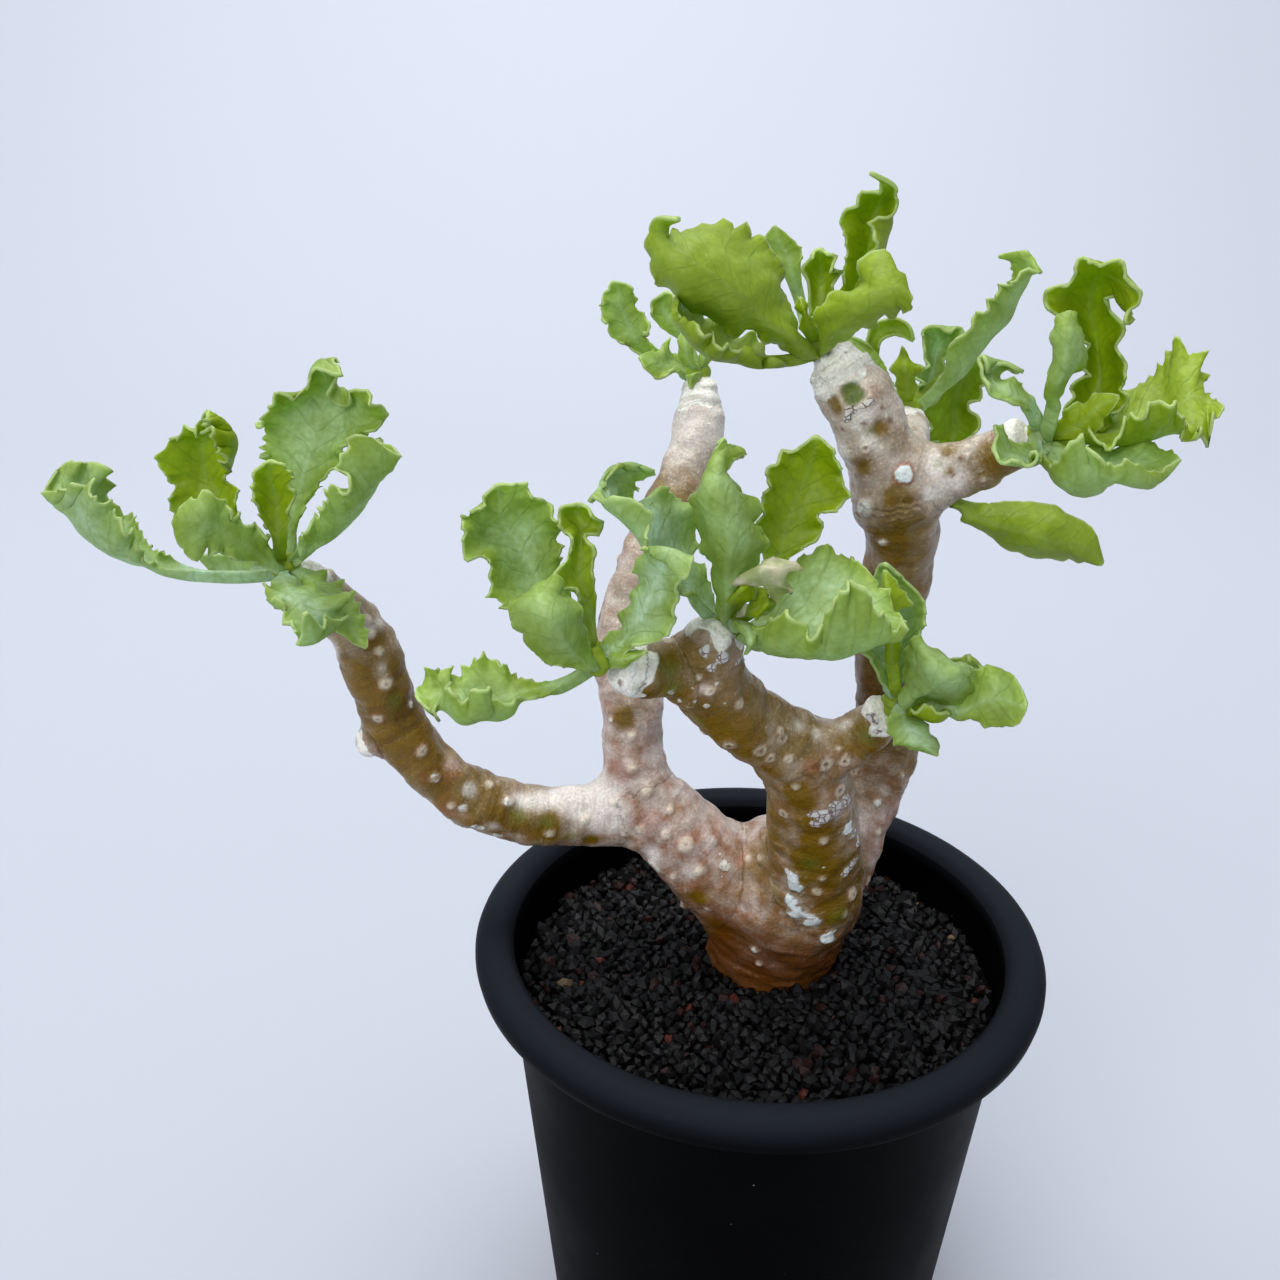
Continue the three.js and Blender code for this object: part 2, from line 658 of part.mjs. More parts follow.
        tip: [-3, -4, 12],
      },
      {
        stalk: [[1.5, 3, 1]],
        rows: [
          [[2, 4, 3.5], [4.5, 7, 3.5], [6.5, 6, 5]],
          [[3, 6, 8], [6, 10, 7.5], [8, 8, 9]],
          [[2.5, 7, 11], [6.5, 11, 10.5], [9, 7, 11]],
          [[2, 7, 12.5], [5.5, 10, 12.5], [9, 6, 13]],
        ],
        tip: [4, 7, 13.5],
      },
      {
        stalk: [[4.5, 5, 1.5], [8.5, 8, 4]],
        rows: [
          [[15, 8, 7.5], [12, 10, 5.5], [8.5, 6, 3.5]],
          [[14.5, 8, 3], [11, 11, 1], [6.5, 6, 1]],
          [[13, 8, -1.5], [10.5, 11, -3], [5, 6, -2.5]],
          [[14.5, 6, -5], [11, 10, -6.5], [5.5, 5, -6]],
        ],
        tip: [10, 7, -8.5],
      },
    ],
  },
  {
    name: "leaf_low_right",
    end: [28.5, 3, 177],
    core: 0,
    leaves: [
      {
        stalk: [[1.5, 0, -0.5]],
        rows: [
          [[3.5, 1, -3], [2.5, 0, -1.5], [4, 1, -0.5]],
          [[8, 2, -6.5], [6.5, -1, -3], [7.5, 2, -1]],
          [[12.5, 3, -9.5], [11, -2, -4], [12, 3, -1]],
          [[17.5, 3, -10.5], [15, -3, -5], [17, 3, -1.5]],
          [[21.5, 2, -10.5], [19, -3, -6], [20.5, 2, -3]],
          [[24, 0, -10], [23, -2, -7.5], [24, 1, -4.5]],
        ],
        tip: [26, -1, -10],
      },
    ],
  },
  {
    name: "head_right",
    end: [40, -4, 190],
    core: CORE_RADIUS,
    leaves: [
      {
        stalk: [[-1.5, -3, 3], [-3, -4, 5]],
        rows: [
          [[-4.5, -6, 5.5], [-5, -6, 6.5], [-3.5, -4, 7.5]],
          [[-8, -8, 7], [-8, -7, 8], [-6, -5, 9.5]],
          [[-11.5, -9, 8.5], [-10, -7, 9], [-8, -5, 9.5]],
          [[-13, -8, 11], [-10.5, -5, 10.5], [-8.5, -4, 10]],
          [[-13, -7, 13], [-9.5, -4, 11.5], [-8, -4, 11]],
        ],
        tip: [-6, -5, 10.5],
      },
      {
        stalk: [[-1, -4, 2.5], [-1, -5, 6]],
        rows: [
          [[0, -6, 8.5], [-2, -8, 9], [-2.5, -7, 8]],
          [[2.5, -5, 11], [-1.5, -10, 12.5], [-2.5, -7, 11.5]],
          [[3.5, -4, 14], [-1.5, -10, 15.5], [-2.5, -7, 15]],
          [[1.5, -5, 17], [-1.5, -9, 18], [-2.5, -7, 18]],
          [[0.5, -6, 19.5], [-1.5, -8, 19], [-2.5, -7, 19]],
        ],
        tip: [-1, -7, 19.5],
      },
      {
        stalk: [[2, 1, 0]],
        rows: [
          [[3.5, 1, 1.5], [6.5, 1, 1], [9.5, 0, 1]],
          [[4, 2, 5], [8.5, 5, 4], [12, 1, 5.5]],
          [[5, 3, 8.5], [10, 7, 7.5], [12, 1, 9]],
          [[5.5, 3, 12.5], [9.5, 8, 11.5], [10.5, 2, 13]],
          [[3, 2, 16.5], [8, 8, 15.5], [9.5, 3, 17]],
          [[-1, 1, 20], [6.5, 7, 19.5], [9, 3, 19]],
          [[1, 1, 23], [6.5, 5, 23], [9.5, 1, 21]],
          [[4, -2, 26], [8, 0, 23.5], [9.5, -4, 17.5]],
        ],
        tip: [10, -4, 22],
      },
      {
        stalk: [[2.5, -1, 0]],
        rows: [
          [[10, 5, 2], null, [7.5, 0, 0], [6.5, -4, 0], [5.5, -7, 2.5]],
          [[15, 7, 4.5], null, [12, 0, 1], [10.5, -5, 0], [9, -9, 4]],
          [[16.5, 8, 7.5], null, [15.5, 0, 2], [14, -6, 1], [11, -11, 7.5]],
          [[19.5, 8, 10], null, [18.5, 0, 3], [16.5, -7, 2.5], [14.5, -11, 8]],
          [[21, 8, 13], null, [20, -1, 5], [19, -7, 3], [17.5, -10, 5]],
          [[24.5, 5, 12], null, [21.5, -1, 6.5], [21, -6, 3.5], [19, -10, 2.5]],
          [[25, 3, 6.5], [24.5, -1, 5.5], [22.5, -7, 3.5]],
        ],
        tip: [26, -3, 5.5],
      },
      {
        stalk: [[-1.5, -4, 0]],
        rows: [
          [[-3.5, -11, -2], [-2.5, -6, -2], [-3, -4, 0]],
          [[-6.5, -12, -1.5], [-6, -8, -1.5], [-6.5, -6, 1]],
          [[-9, -12, -1], [-8.5, -9, -0.5], [-8.5, -7, 3.5]],
        ],
        tip: [-10, -10, 0.5],
      },
      {
        stalk: [[-1, -4, -0.5]],
        rows: [
          [[2, -2, -0.5], null, [1.5, -6, -1], [-0.5, -10, -3.5], [-2, -12, -1.5]],
          [[6, -2, -1], null, [4.5, -7, -2], [1.5, -13, -5], [-1, -15, 1.5]],
          [[9, -3, -1], null, [7.5, -8, -2], [4.5, -14, -4.5], [0, -17, 4]],
          [[12, -4, -0.5], null, [10, -9, -2], [7, -14, -3], [4.5, -16, 0]],
          [[15, -5, 0.5], null, [13, -9, -2], [11, -14, -3.5], [7.5, -16, 0.5]],
          [[17, -7, 0], null, [15, -10, -2], [14, -13, -3], [11.5, -14, -2]],
        ],
        tip: [17, -11, -0.5],
      },
      {
        stalk: [[1, -2, 0.5]],
        rows: [
          [[2.5, -2, 4.5], [4, -4, 2.5], [5.5, -5, 1]],
          [[6, -3, 7.5], [6, -5, 5.5], [7, -6, 3]],
        ],
        tip: [9.5, -4, 7],
      },
    ],
  },
  {
    name: "head_behind_left",
    end: [-12, 45, 189],
    core: CORE_RADIUS,
    leaves: [
      {
        stalk: [[-1.5, 0, 1], [-5.5, -1, 2.5]],
        rows: [
          [[-11, -2, 4.5], [-10, -1, 4.5], [-9.5, -2, 6.5]],
          [[-15, -3, 6.5], [-12, -2, 7], [-9, -2, 9]],
          [[-17.5, -3, 10], [-13.5, -2, 10.5], [-10, -2, 11.5]],
          [[-18.5, -4, 13], [-15, -3, 13.5], [-11.5, -2, 13.5]],
          [[-17, -4, 16], [-15, -3, 16], [-12.5, -3, 16.5]],
        ],
        tip: [-16, -4, 17.5],
      },
      {
        stalk: [[-1.5, -1, 0.5]],
        rows: [
          [[-4.5, -4, 2], [-4, -2, 2], [-4, 0, 4.5]],
          [[-7, -6, 1], [-6.5, -4, 2.5], [-5.5, -1, 7]],
          [[-9.5, -7, 2], [-8.5, -5, 3.5], [-8, -2, 5.5]],
        ],
        tip: [-11, -6, 4.5],
      },
      {
        stalk: [[-1, 3, 3], [-2.5, 4, 6]],
        rows: [
          [[-7, 4, 8], [-5, 4, 9], [-3.5, 3, 10]],
          [[-9, 4, 11], [-6.5, 5, 11.5], [-4, 3, 12.5]],
          [[-8, 4, 13], [-6.5, 5, 13.5], [-4.5, 3, 14]],
        ],
        tip: [-6, 4, 14.5],
      },
      {
        stalk: [[-0.5, -3, 1]],
        rows: [
          [[0, -4, 1], [-1, -5, 1], [-2.5, -4, 0.5]],
          [[-0.5, -4, -1], [-1.5, -5, -0.5], [-2, -4, -0.5]],
        ],
        tip: [-1.5, -5, -1.5],
      },
      {
        stalk: [[0.5, -1, 1]],
        rows: [
          [[0, 0, 2.5], [1, -2, 3], [2.5, 0, 3]],
          [[0.5, 0, 4.5], [1.5, -1, 5], [2.5, 0, 4.5]],
        ],
        tip: [2.5, 0, 6],
      },
      {
        stalk: [[-0.5, -2, 1.5]],
        rows: [
          [[-3.5, -2, 3], [-2, -3, 3.5], [-0.5, -2, 3]],
          [[-4, -2, 6.5], [-2.5, -3, 6.5], [-1, -2, 6]],
        ],
        tip: [-3, -2, 8.5],
      },
    ],
  },
];

// A repeatable random number between 0 and 1.
function makeRandom(seed) {
  let state = seed;
  return () => {
    state = (state * 1664525 + 1013904223) % 4294967296;
    return state / 4294967296;
  };
}

// A closed geometry as a solid: shared points are merged and flat slivers are dropped.
function solidOf(geometry) {
  const bare = geometry.clone();
  bare.deleteAttribute("normal");
  bare.deleteAttribute("uv");
  const merged = mergeVertices(bare, 1e-4);
  const corners = [];
  const index = merged.index.array;
  for (let i = 0; i < index.length; i += 3) {
    const [a, b, c] = [index[i], index[i + 1], index[i + 2]];
    if (a !== b && b !== c && c !== a) corners.push(a, b, c);
  }
  const mesh = new wasm.Mesh({
    numProp: 3,
    vertProperties: new Float32Array(merged.attributes.position.array),
    triVerts: new Uint32Array(corners),
  });
  return new wasm.Manifold(mesh);
}

function geometryOf(points, corners) {
  const geometry = new THREE.BufferGeometry();
  geometry.setAttribute("position", new THREE.Float32BufferAttribute(points, 3));
  geometry.setIndex(corners);
  return geometry;
}

// The biggest body of a solid: chips that a cut leaves beside it are dropped.
function mainBody(solid) {
  const bodies = solid.decompose();
  bodies.sort((a, b) => b.volume() - a.volume());
  return bodies[0];
}

function meshOf(name, solid, colour, roughness) {
  const source = solid.getMesh();
  const points = [];
  for (let i = 0; i < source.numVert; i += 1) {
    const at = i * source.numProp;
    points.push(...source.vertProperties.subarray(at, at + 3));
  }
  const material = new THREE.MeshStandardMaterial({ color: colour, roughness, metalness: 0 });
  const mesh = new THREE.Mesh(geometryOf(points, Array.from(source.triVerts)), material);
  mesh.name = name;
  return mesh;
}

function revolve(profile, sides) {
  const outline = profile.map(([radius, z]) => new THREE.Vector2(radius, z));
  const geometry = new THREE.LatheGeometry(outline, sides);
  geometry.rotateX(Math.PI / 2);
  return geometry;
}

function outerRadius(z) {
  return FOOT_RADIUS + ((NECK_RADIUS - FOOT_RADIUS) * z) / LIP_UNDERSIDE_Z;
}

// Pot: a tapered wall, a thick rolled lip and a flat floor with drain holes around its centre.
function makePot() {
  const inner = (z) => outerRadius(z) - WALL;
  const profile = [
    [0, 0],
    [FOOT_RADIUS - 1.2, 0],
    [FOOT_RADIUS + 0.1, 1.2],
    [outerRadius(46), 46],
    [NECK_RADIUS, LIP_UNDERSIDE_Z],
    [RIM_RADIUS - 1.6, LIP_UNDERSIDE_Z],
    [RIM_RADIUS - 0.4, RIM_WIDEST_Z - 2.2],
    [RIM_RADIUS, RIM_WIDEST_Z],
    [RIM_RADIUS - 0.8, RIM_WIDEST_Z + 1.9],
    [RIM_RADIUS - 2.7, POT_HEIGHT],
    [RIM_RADIUS - 5.2, POT_HEIGHT - 0.2],
    [RIM_RADIUS - 7.0, RIM_WIDEST_Z + 1.4],
    [inner(LIP_UNDERSIDE_Z) + 0.1, RIM_WIDEST_Z - 1.2],
    [inner(84), 84],
    [inner(FLOOR), FLOOR],
    [0, FLOOR],
  ];
  let pot = solidOf(revolve(profile, POT_SIDES));
  for (let i = 0; i < DRAIN_HOLES; i += 1) {
    const angle = (i / DRAIN_HOLES) * Math.PI * 2;
    const hole = new THREE.CylinderGeometry(DRAIN_RADIUS, DRAIN_RADIUS, FLOOR * 4, 12);
    hole.rotateX(Math.PI / 2);
    hole.translate(Math.cos(angle) * DRAIN_RING, Math.sin(angle) * DRAIN_RING, 0);
    pot = pot.subtract(solidOf(hole));
  }
  return pot;
}

// Filling: a plug of crushed lava with a grainy top and a plain round hole for the stem.
function makeGravel() {
  const random = makeRandom(17);
  const rings = 10;
  const sides = POT_SIDES;
  const inner = (z) => outerRadius(z) - WALL - GAP;
  const points = [];
  const corners = [];
  const ring = (radius, height) => {
    const start = points.length / 3;
    for (let i = 0; i < sides; i += 1) {
      const angle = (i / sides) * Math.PI * 2;
      points.push(Math.cos(angle) * radius, Math.sin(angle) * radius, height());
    }
    return start;
  };
  const bridge = (outside, inside) => {
    for (let i = 0; i < sides; i += 1) {
      const next = (i + 1) % sides;
      corners.push(outside + i, outside + next, inside + next);
      corners.push(outside + i, inside + next, inside + i);
    }
  };
  const low = ring(inner(FLOOR + GAP), () => FLOOR + GAP);
  let last = ring(inner(GRAVEL_Z - 1), () => GRAVEL_Z - 1);
  bridge(low, last);
  for (let k = 0; k < rings; k += 1) {
    const radius = (inner(GRAVEL_Z) - 0.2) * (1 - (k / rings) ** 1.25);
    const next = ring(radius, () => GRAVEL_Z + (random() - 0.5) * GRAIN);
    bridge(last, next);
    last = next;
  }
  const top = points.length / 3;
  points.push(0, 0, GRAVEL_Z);
  points.push(0, 0, FLOOR + GAP);
  for (let i = 0; i < sides; i += 1) {
    const next = (i + 1) % sides;
    corners.push(last + i, last + next, top);
    corners.push(low + next, low + i, top + 1);
  }
  const [x, y] = LIMBS.base[0];
  const hole = new THREE.CylinderGeometry(STEM_HOLE_RADIUS, STEM_HOLE_RADIUS, 60, 20);
  hole.rotateX(Math.PI / 2);
  hole.translate(x, y, STEM_HOLE_FLOOR + 30);
  return solidOf(geometryOf(points, corners)).subtract(solidOf(hole));
}

// A limb: rings of changing radius along a smooth line, with domed ends.
function makeLimb(stations, extra) {
  const line = new THREE.CatmullRomCurve3(
    stations.map(([x, y, z]) => new THREE.Vector3(x, y, z)),
    false,
    "centripetal",
  );
  const last = stations.length - 1;
  const steps = Math.max(3, Math.round(line.getLength() / LIMB_STEP));
  const points = [];
  const corners = [];
  let side = new THREE.Vector3(0.3, 0.9, 0.2);
  for (let i = 0; i <= steps; i += 1) {
    const share = (i / steps) * last;
    const k = Math.min(last - 1, Math.floor(share));
    const centre = line.getPoint(i / steps);
    const along = line.getTangent(i / steps);
    const radius = THREE.MathUtils.lerp(stations[k][3], stations[k + 1][3], share - k) + extra;
    side = side.clone().addScaledVector(along, -side.dot(along)).normalize();
    const up = new THREE.Vector3().crossVectors(along, side);
    for (let n = 0; n < LIMB_SIDES; n += 1) {
      const angle = (n / LIMB_SIDES) * Math.PI * 2;
      const point = centre
        .clone()
        .addScaledVector(side, Math.cos(angle) * radius)
        .addScaledVector(up, Math.sin(angle) * radius);
      points.push(point.x, point.y, point.z);
    }
  }
  for (let i = 0; i < steps; i += 1) {
    for (let n = 0; n < LIMB_SIDES; n += 1) {
      const a = i * LIMB_SIDES + n;
      const b = i * LIMB_SIDES + ((n + 1) % LIMB_SIDES);
      corners.push(a, b, b + LIMB_SIDES);
      corners.push(a, b + LIMB_SIDES, a + LIMB_SIDES);
    }
  }
  const ends = points.length / 3;
  const startDome = line.getPoint(0).addScaledVector(line.getTangent(0), -0.3 * stations[0][3]);
  const endRadius = stations[last][3] + extra;
  const endDome = line.getPoint(1).addScaledVector(line.getTangent(1), 0.45 * endRadius);
  points.push(startDome.x, startDome.y, startDome.z);
  points.push(endDome.x, endDome.y, endDome.z);
  const rim = steps * LIMB_SIDES;
  for (let n = 0; n < LIMB_SIDES; n += 1) {
    const next = (n + 1) % LIMB_SIDES;
    corners.push(ends, next, n);
    corners.push(ends + 1, rim + n, rim + next);
  }
  return solidOf(geometryOf(points, corners));
}

// The stem: all limbs grown together, standing in the filling's hole.
function makeStem(extra) {
  let stem = null;
  for (const stations of Object.values(LIMBS)) {
    const limb = makeLimb(stations, extra);
    stem = stem ? stem.add(limb) : limb;
  }
  for (const [x, y, z, radius] of BOSSES) {
    stem = stem.add(ball([x, y, z], radius + extra, 0));
  }
  return stem;
}

function ball(centre, radius, detail) {
  const geometry = new THREE.IcosahedronGeometry(radius, detail);
  geometry.translate(...centre);
  return solidOf(geometry);
}

// Five points across a leaf, from its left edge to its right. Where the two points between the
// midrib and the edges aren't given, they lie on an even bow.
function acrossRow(row, root) {
  const at = (p) => new THREE.Vector3(...p).add(root);
  if (row.length === 3) {
    const [left, middle, right] = row.map(at);
    const bow = (near, far) => {
      const point = middle.clone().multiplyScalar(0.75);
      return point.addScaledVector(near, 0.375).addScaledVector(far, -0.125);
    };
    return [left, bow(left, right), middle, bow(right, left), right];
  }
  const [left, leftBend, middle, rightBend, right] = row.map((p) => (p ? at(p) : null));
  return [
    left,
    leftBend ?? left.clone().lerp(middle, 0.5),
    middle,
    rightBend ?? right.clone().lerp(middle, 0.5),
    right,
  ];
}

// A point of one column, on a smooth curve through all its points: f is the share of the way from
// row k to row k + 1.
function smoothPoint(column, knots, k, f) {
  const last = column.length - 1;
  const slopeAt = (i) => {
    const speed = (j) => column[j + 1].clone().sub(column[j]).divideScalar(knots[j + 1] - knots[j]);
    if (i === 0) return speed(0);
    if (i === last) return speed(last - 1);
    const before = knots[i] - knots[i - 1];
    const after = knots[i + 1] - knots[i];
    return speed(i - 1).lerp(speed(i), before / (before + after));
  };
  const span = knots[k + 1] - knots[k];
  const point = column[k].clone().multiplyScalar((1 + 2 * f) * (1 - f) ** 2);
  point.addScaledVector(column[k + 1], f * f * (3 - 2 * f));
  point.addScaledVector(slopeAt(k), span * f * (1 - f) ** 2);
  point.addScaledVector(slopeAt(k + 1), span * f * f * (f - 1));
  return point;
}

// The middle surface of a leaf: rows of five points across it, from the root to the tip, with
// steps between the given rows whose edges are drawn in, so that the edge has teeth.
function leafRows({ stalk, rows, tip }, end) {
  const root = new THREE.Vector3(...end);
  const blade = rows.map((row) => acrossRow(row, root));
  const side = blade[0][4].clone().sub(blade[0][0]).normalize();
  const narrow = (centre, half, direction) =>
    [-1, -0.5, 0, 0.5, 1].map((s) => centre.clone().addScaledVector(direction, s * half));
  const stem = [root, ...stalk.map((p) => new THREE.Vector3(...p).add(root))];
  const control = stem.map((centre) => narrow(centre, PETIOLE_HALF, side));
  control.push(...blade);
  const wide = blade[blade.length - 1];
  const tipSide = wide[4].clone().sub(wide[0]).normalize();
  control.push(narrow(new THREE.Vector3(...tip).add(root), TIP_HALF, tipSide));
  const knots = [0];
  for (let i = 1; i < control.length; i += 1) {
    knots.push(knots[i - 1] + control[i][2].distanceTo(control[i - 1][2]));
  }
  const columns = [0, 1, 2, 3, 4].map((j) => control.map((row) => row[j]));
  const stations = [];
  control.forEach((row, k) => {
    stations.push({ leafy: k >= stem.length, points: row });
    if (k === control.length - 1) return;
    const steps = Math.ceil((knots[k + 1] - knots[k]) / LEAF_STEP);
    for (let n = 1; n < steps; n += 1) {
      const points = columns.map((column) => smoothPoint(column, knots, k, n / steps));
      const leafy = k >= stem.length;
      if (leafy && n % 2 === 1) {
        for (const [edge, inner] of [[0, 1], [4, 3]]) points[edge].lerp(points[inner], TOOTH);
      }
      stations.push({ leafy, points });
    }
  });
  return stations;
}

// A leaf as a closed blade: both faces are split into triangles alike.
function makeLeaf(leaf, end) {
  const rows = leafRows(leaf, end);
  const across = rows[0].points.length;
  const at = (i, j) => {
    const row = Math.min(rows.length - 1, Math.max(0, i));
    return rows[row].points[Math.min(across - 1, Math.max(0, j))];
  };
  const tops = [];
  const bottoms = [];
  rows.forEach(({ leafy }, i) => {
    const thick = leafy ? BLADE : PETIOLE_THICK;
    for (let j = 0; j < across; j += 1) {
      const along = at(i + 1, j).clone().sub(at(i - 1, j));
      const over = at(i, j + 1).clone().sub(at(i, j - 1));
      const normal = over.cross(along).normalize();
      tops.push(...at(i, j).clone().addScaledVector(normal, thick / 2).toArray());
      bottoms.push(...at(i, j).clone().addScaledVector(normal, -thick / 2).toArray());
    }
  });
  const under = tops.length / 3;
  const corners = [];
  for (let i = 0; i < rows.length - 1; i += 1) {
    for (let j = 0; j < across - 1; j += 1) {
      const a = i * across + j;
      const b = a + 1;
      const c = b + across;
      const d = a + across;
      corners.push(a, b, c, a, c, d);
      corners.push(under + a, under + c, under + b, under + a, under + d, under + c);
    }
  }
  const edge = [];
  for (let j = 0; j < across; j += 1) edge.push(j);
  for (let i = 1; i < rows.length; i += 1) edge.push(i * across + across - 1);
  for (let j = across - 2; j >= 0; j -= 1) edge.push((rows.length - 1) * across + j);
  for (let i = rows.length - 2; i > 0; i -= 1) edge.push(i * across);
  edge.forEach((a, k) => {
    const b = edge[(k + 1) % edge.length];
    corners.push(a, under + a, under + b, a, under + b, b);
  });
  return solidOf(geometryOf([...tops, ...bottoms], corners));
}

// A head: its leaves joined in a short green core that caps the branch end with a small gap.
function makeHead({ end, core, leaves }, swollenStem) {
  let head = core ? ball(end, core, 0) : null;
  for (const leaf of leaves) {
    const blade = makeLeaf(leaf, end);
    head = head ? head.add(blade) : blade;
  }
  return mainBody(head.subtract(swollenStem));
}

const stem = makeStem(0);
const swollenStem = makeStem(LEAF_GAP);

const plant = new THREE.Group();
plant.add(meshOf("pot", makePot(), COLOURS.pot, 0.5));
plant.add(meshOf("gravel", makeGravel(), COLOURS.gravel, 0.85));
plant.add(meshOf("stem", stem, COLOURS.stem, 0.6));
for (const head of HEADS) {
  plant.add(meshOf(head.name, makeHead(head, swollenStem), COLOURS.leaf, 0.5));
}

export default plant;
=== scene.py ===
"""A succulent with a swollen, branching stem and ruffled leaves, in a black nursery pot.

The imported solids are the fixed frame: they give the place and the size of every piece. Each piece
here stands for its solid and repeats its plan, with finer edges, veins, scars and grains.
Plans are in millimetres, like the solids, and meshes in metres. -Y is the front.
"""

from __future__ import annotations

import logging
import math
from dataclasses import dataclass
from enum import Enum

import bmesh
import bpy
import numpy as np
from mathutils import Matrix, Vector, noise
from mathutils.kdtree import KDTree

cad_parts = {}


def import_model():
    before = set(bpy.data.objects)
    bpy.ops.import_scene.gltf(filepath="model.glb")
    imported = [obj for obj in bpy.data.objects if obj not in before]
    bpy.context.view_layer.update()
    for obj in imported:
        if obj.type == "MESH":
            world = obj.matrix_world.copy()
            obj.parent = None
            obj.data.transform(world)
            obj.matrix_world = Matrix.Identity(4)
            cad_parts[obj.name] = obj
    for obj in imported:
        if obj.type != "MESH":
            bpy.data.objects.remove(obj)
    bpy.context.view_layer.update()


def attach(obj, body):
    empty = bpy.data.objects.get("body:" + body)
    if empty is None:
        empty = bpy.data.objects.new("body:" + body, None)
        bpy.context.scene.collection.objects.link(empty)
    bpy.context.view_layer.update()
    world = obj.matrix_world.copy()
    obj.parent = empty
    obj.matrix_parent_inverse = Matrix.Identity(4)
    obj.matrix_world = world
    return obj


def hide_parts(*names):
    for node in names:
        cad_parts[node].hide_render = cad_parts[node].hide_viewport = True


LOG = logging.getLogger("potted_succulent")
MM = 0.001
# How far out the rings of a limb's rounded end lie and how wide they are, in its radii.
DOME = ((0.25, 0.9), (0.4, 0.68), (0.48, 0.35))

Point = tuple[float, float, float]
Station = tuple[float, float, float, float]
Row = tuple[Point | None, ...]


# Helpers


def linear(code: str) -> tuple[float, float, float, float]:
    """Turns a colour as it is seen into the linear values that a shader takes.

    Args:
        code: The colour as an sRGB hex code, such as "#7fa955".

    Returns:
        Linear red, green and blue, and an alpha of 1.
    """
    parts = [int(code[i : i + 2], 16) / 255 for i in (1, 3, 5)]
    flat = [c / 12.92 if c <= 0.04045 else ((c + 0.055) / 1.055) ** 2.4 for c in parts]
    return (flat[0], flat[1], flat[2], 1.0)


def add_node(
    tree: bpy.types.NodeTree, kind: str, inputs: dict | None = None, **settings: object
) -> bpy.types.Node:
    """Adds one node to a material.

    Args:
        tree: The node tree that it goes into.
        kind: The node's type without its first part, such as "Mix".
        inputs: For each input, by name or number, a value, or the node or output to link from.
        **settings: The node's own settings, such as data_type.

    Returns:
        The new node.
    """
    node = tree.nodes.new("ShaderNode" + kind)
    for name, value in settings.items():
        setattr(node, name, value)
    for key, value in (inputs or {}).items():
        socket = node.inputs[key]
        if isinstance(value, bpy.types.Node):
            tree.links.new(value.outputs[0], socket)
        elif isinstance(value, bpy.types.NodeSocket):
            tree.links.new(value, socket)
        else:
            socket.default_value = value
    return node


def new_tree(name: str) -> bpy.types.NodeTree:
    """Makes a material.

    Args:
        name: Its name.

    Returns:
        Its empty node tree.
    """
    made = bpy.data.materials.new(name)
    made.use_nodes = True
    made.node_tree.nodes.clear()
    return made.node_tree


def unit(vectors: np.ndarray) -> np.ndarray:
    """Scales each row to length 1."""
    return vectors / np.maximum(np.linalg.norm(vectors, axis=-1, keepdims=True), 1e-9)


def wander(values: np.ndarray, seed: float) -> np.ndarray:
    """Smooth noise along a line.

    Args:
        values: Where along the line, one unit to a bump.
        seed: Which of the noises.

    Returns:
        Values of about -0.6 to 0.6.
    """
    return np.array([noise.noise((float(v), seed, 0.37)) for v in values])


def rough(points: np.ndarray, scale: float, seed: float) -> np.ndarray:
    """Smooth noise in space.

    Args:
        points: Points in millimetres.
        scale: The size of a bump in millimetres.
        seed: Which of the noises.

    Returns:
        Values of about -0.6 to 0.6, one for each point.
    """
    spots = points / scale + seed
    return np.array([noise.noise(spot) for spot in spots.tolist()])


def get_points(piece: bpy.types.Object) -> np.ndarray:
    """Reads where a piece's points are.

    Args:
        piece: The piece.

    Returns:
        Its points in millimetres, one to a row.
    """
    points = np.zeros(len(piece.data.vertices) * 3, np.float32)
    piece.data.vertices.foreach_get("co", points)
    return points.reshape(-1, 3).astype(float) / MM


def set_points(piece: bpy.types.Object, points: np.ndarray) -> None:
    """Puts the piece's points at these places, given in millimetres."""
    piece.data.vertices.foreach_set("co", (points * MM).astype(np.float32).ravel())
    piece.data.update()


def get_normals(piece: bpy.types.Object) -> np.ndarray:
    """Reads which way a piece's surface faces.

    Args:
        piece: The piece.

    Returns:
        A direction of length 1 for each of its points.
    """
    normals = np.zeros(len(piece.data.vertices) * 3, np.float32)
    piece.data.vertices.foreach_get("normal", normals)
    return normals.reshape(-1, 3).astype(float)


def set_attribute(piece: bpy.types.Object, name: str, values: np.ndarray) -> None:
    """Stores a value at each point of a piece, for its material to read.

    Args:
        piece: The piece.
        name: The name that the material reads it by.
        values: One number or one vector for each point.
    """
    kind, field = ("FLOAT", "value") if values.ndim == 1 else ("FLOAT_VECTOR", "vector")
    layer = piece.data.attributes.get(name) or piece.data.attributes.new(name, kind, "POINT")
    layer.data.foreach_set(field, values.astype(np.float32).ravel())


def deselect_all() -> None:
    """Deselects everything, so that what is added next is selected alone."""
    bpy.ops.object.select_all(action="DESELECT")


def choose(*pieces: bpy.types.Object) -> bpy.types.Object:
    """Selects these pieces alone and makes the first one active.

    Args:
        *pieces: The pieces.

    Returns:
        The first one.
    """
    deselect_all()
    for piece in pieces:
        piece.select_set(True)
    bpy.context.view_layer.objects.active = pieces[0]
    return pieces[0]


def join(pieces: list[bpy.types.Object], name: str) -> bpy.types.Object:
    """Joins these pieces into one, with this name.

    Args:
        pieces: The pieces. The first one gives the material slots.
        name: The name of what comes out.

    Returns:
        The joined piece.
    """
    whole = choose(*pieces)
    if len(pieces) > 1:
        bpy.ops.object.join()
    whole.name = name
    whole.data.name = name
    return whole


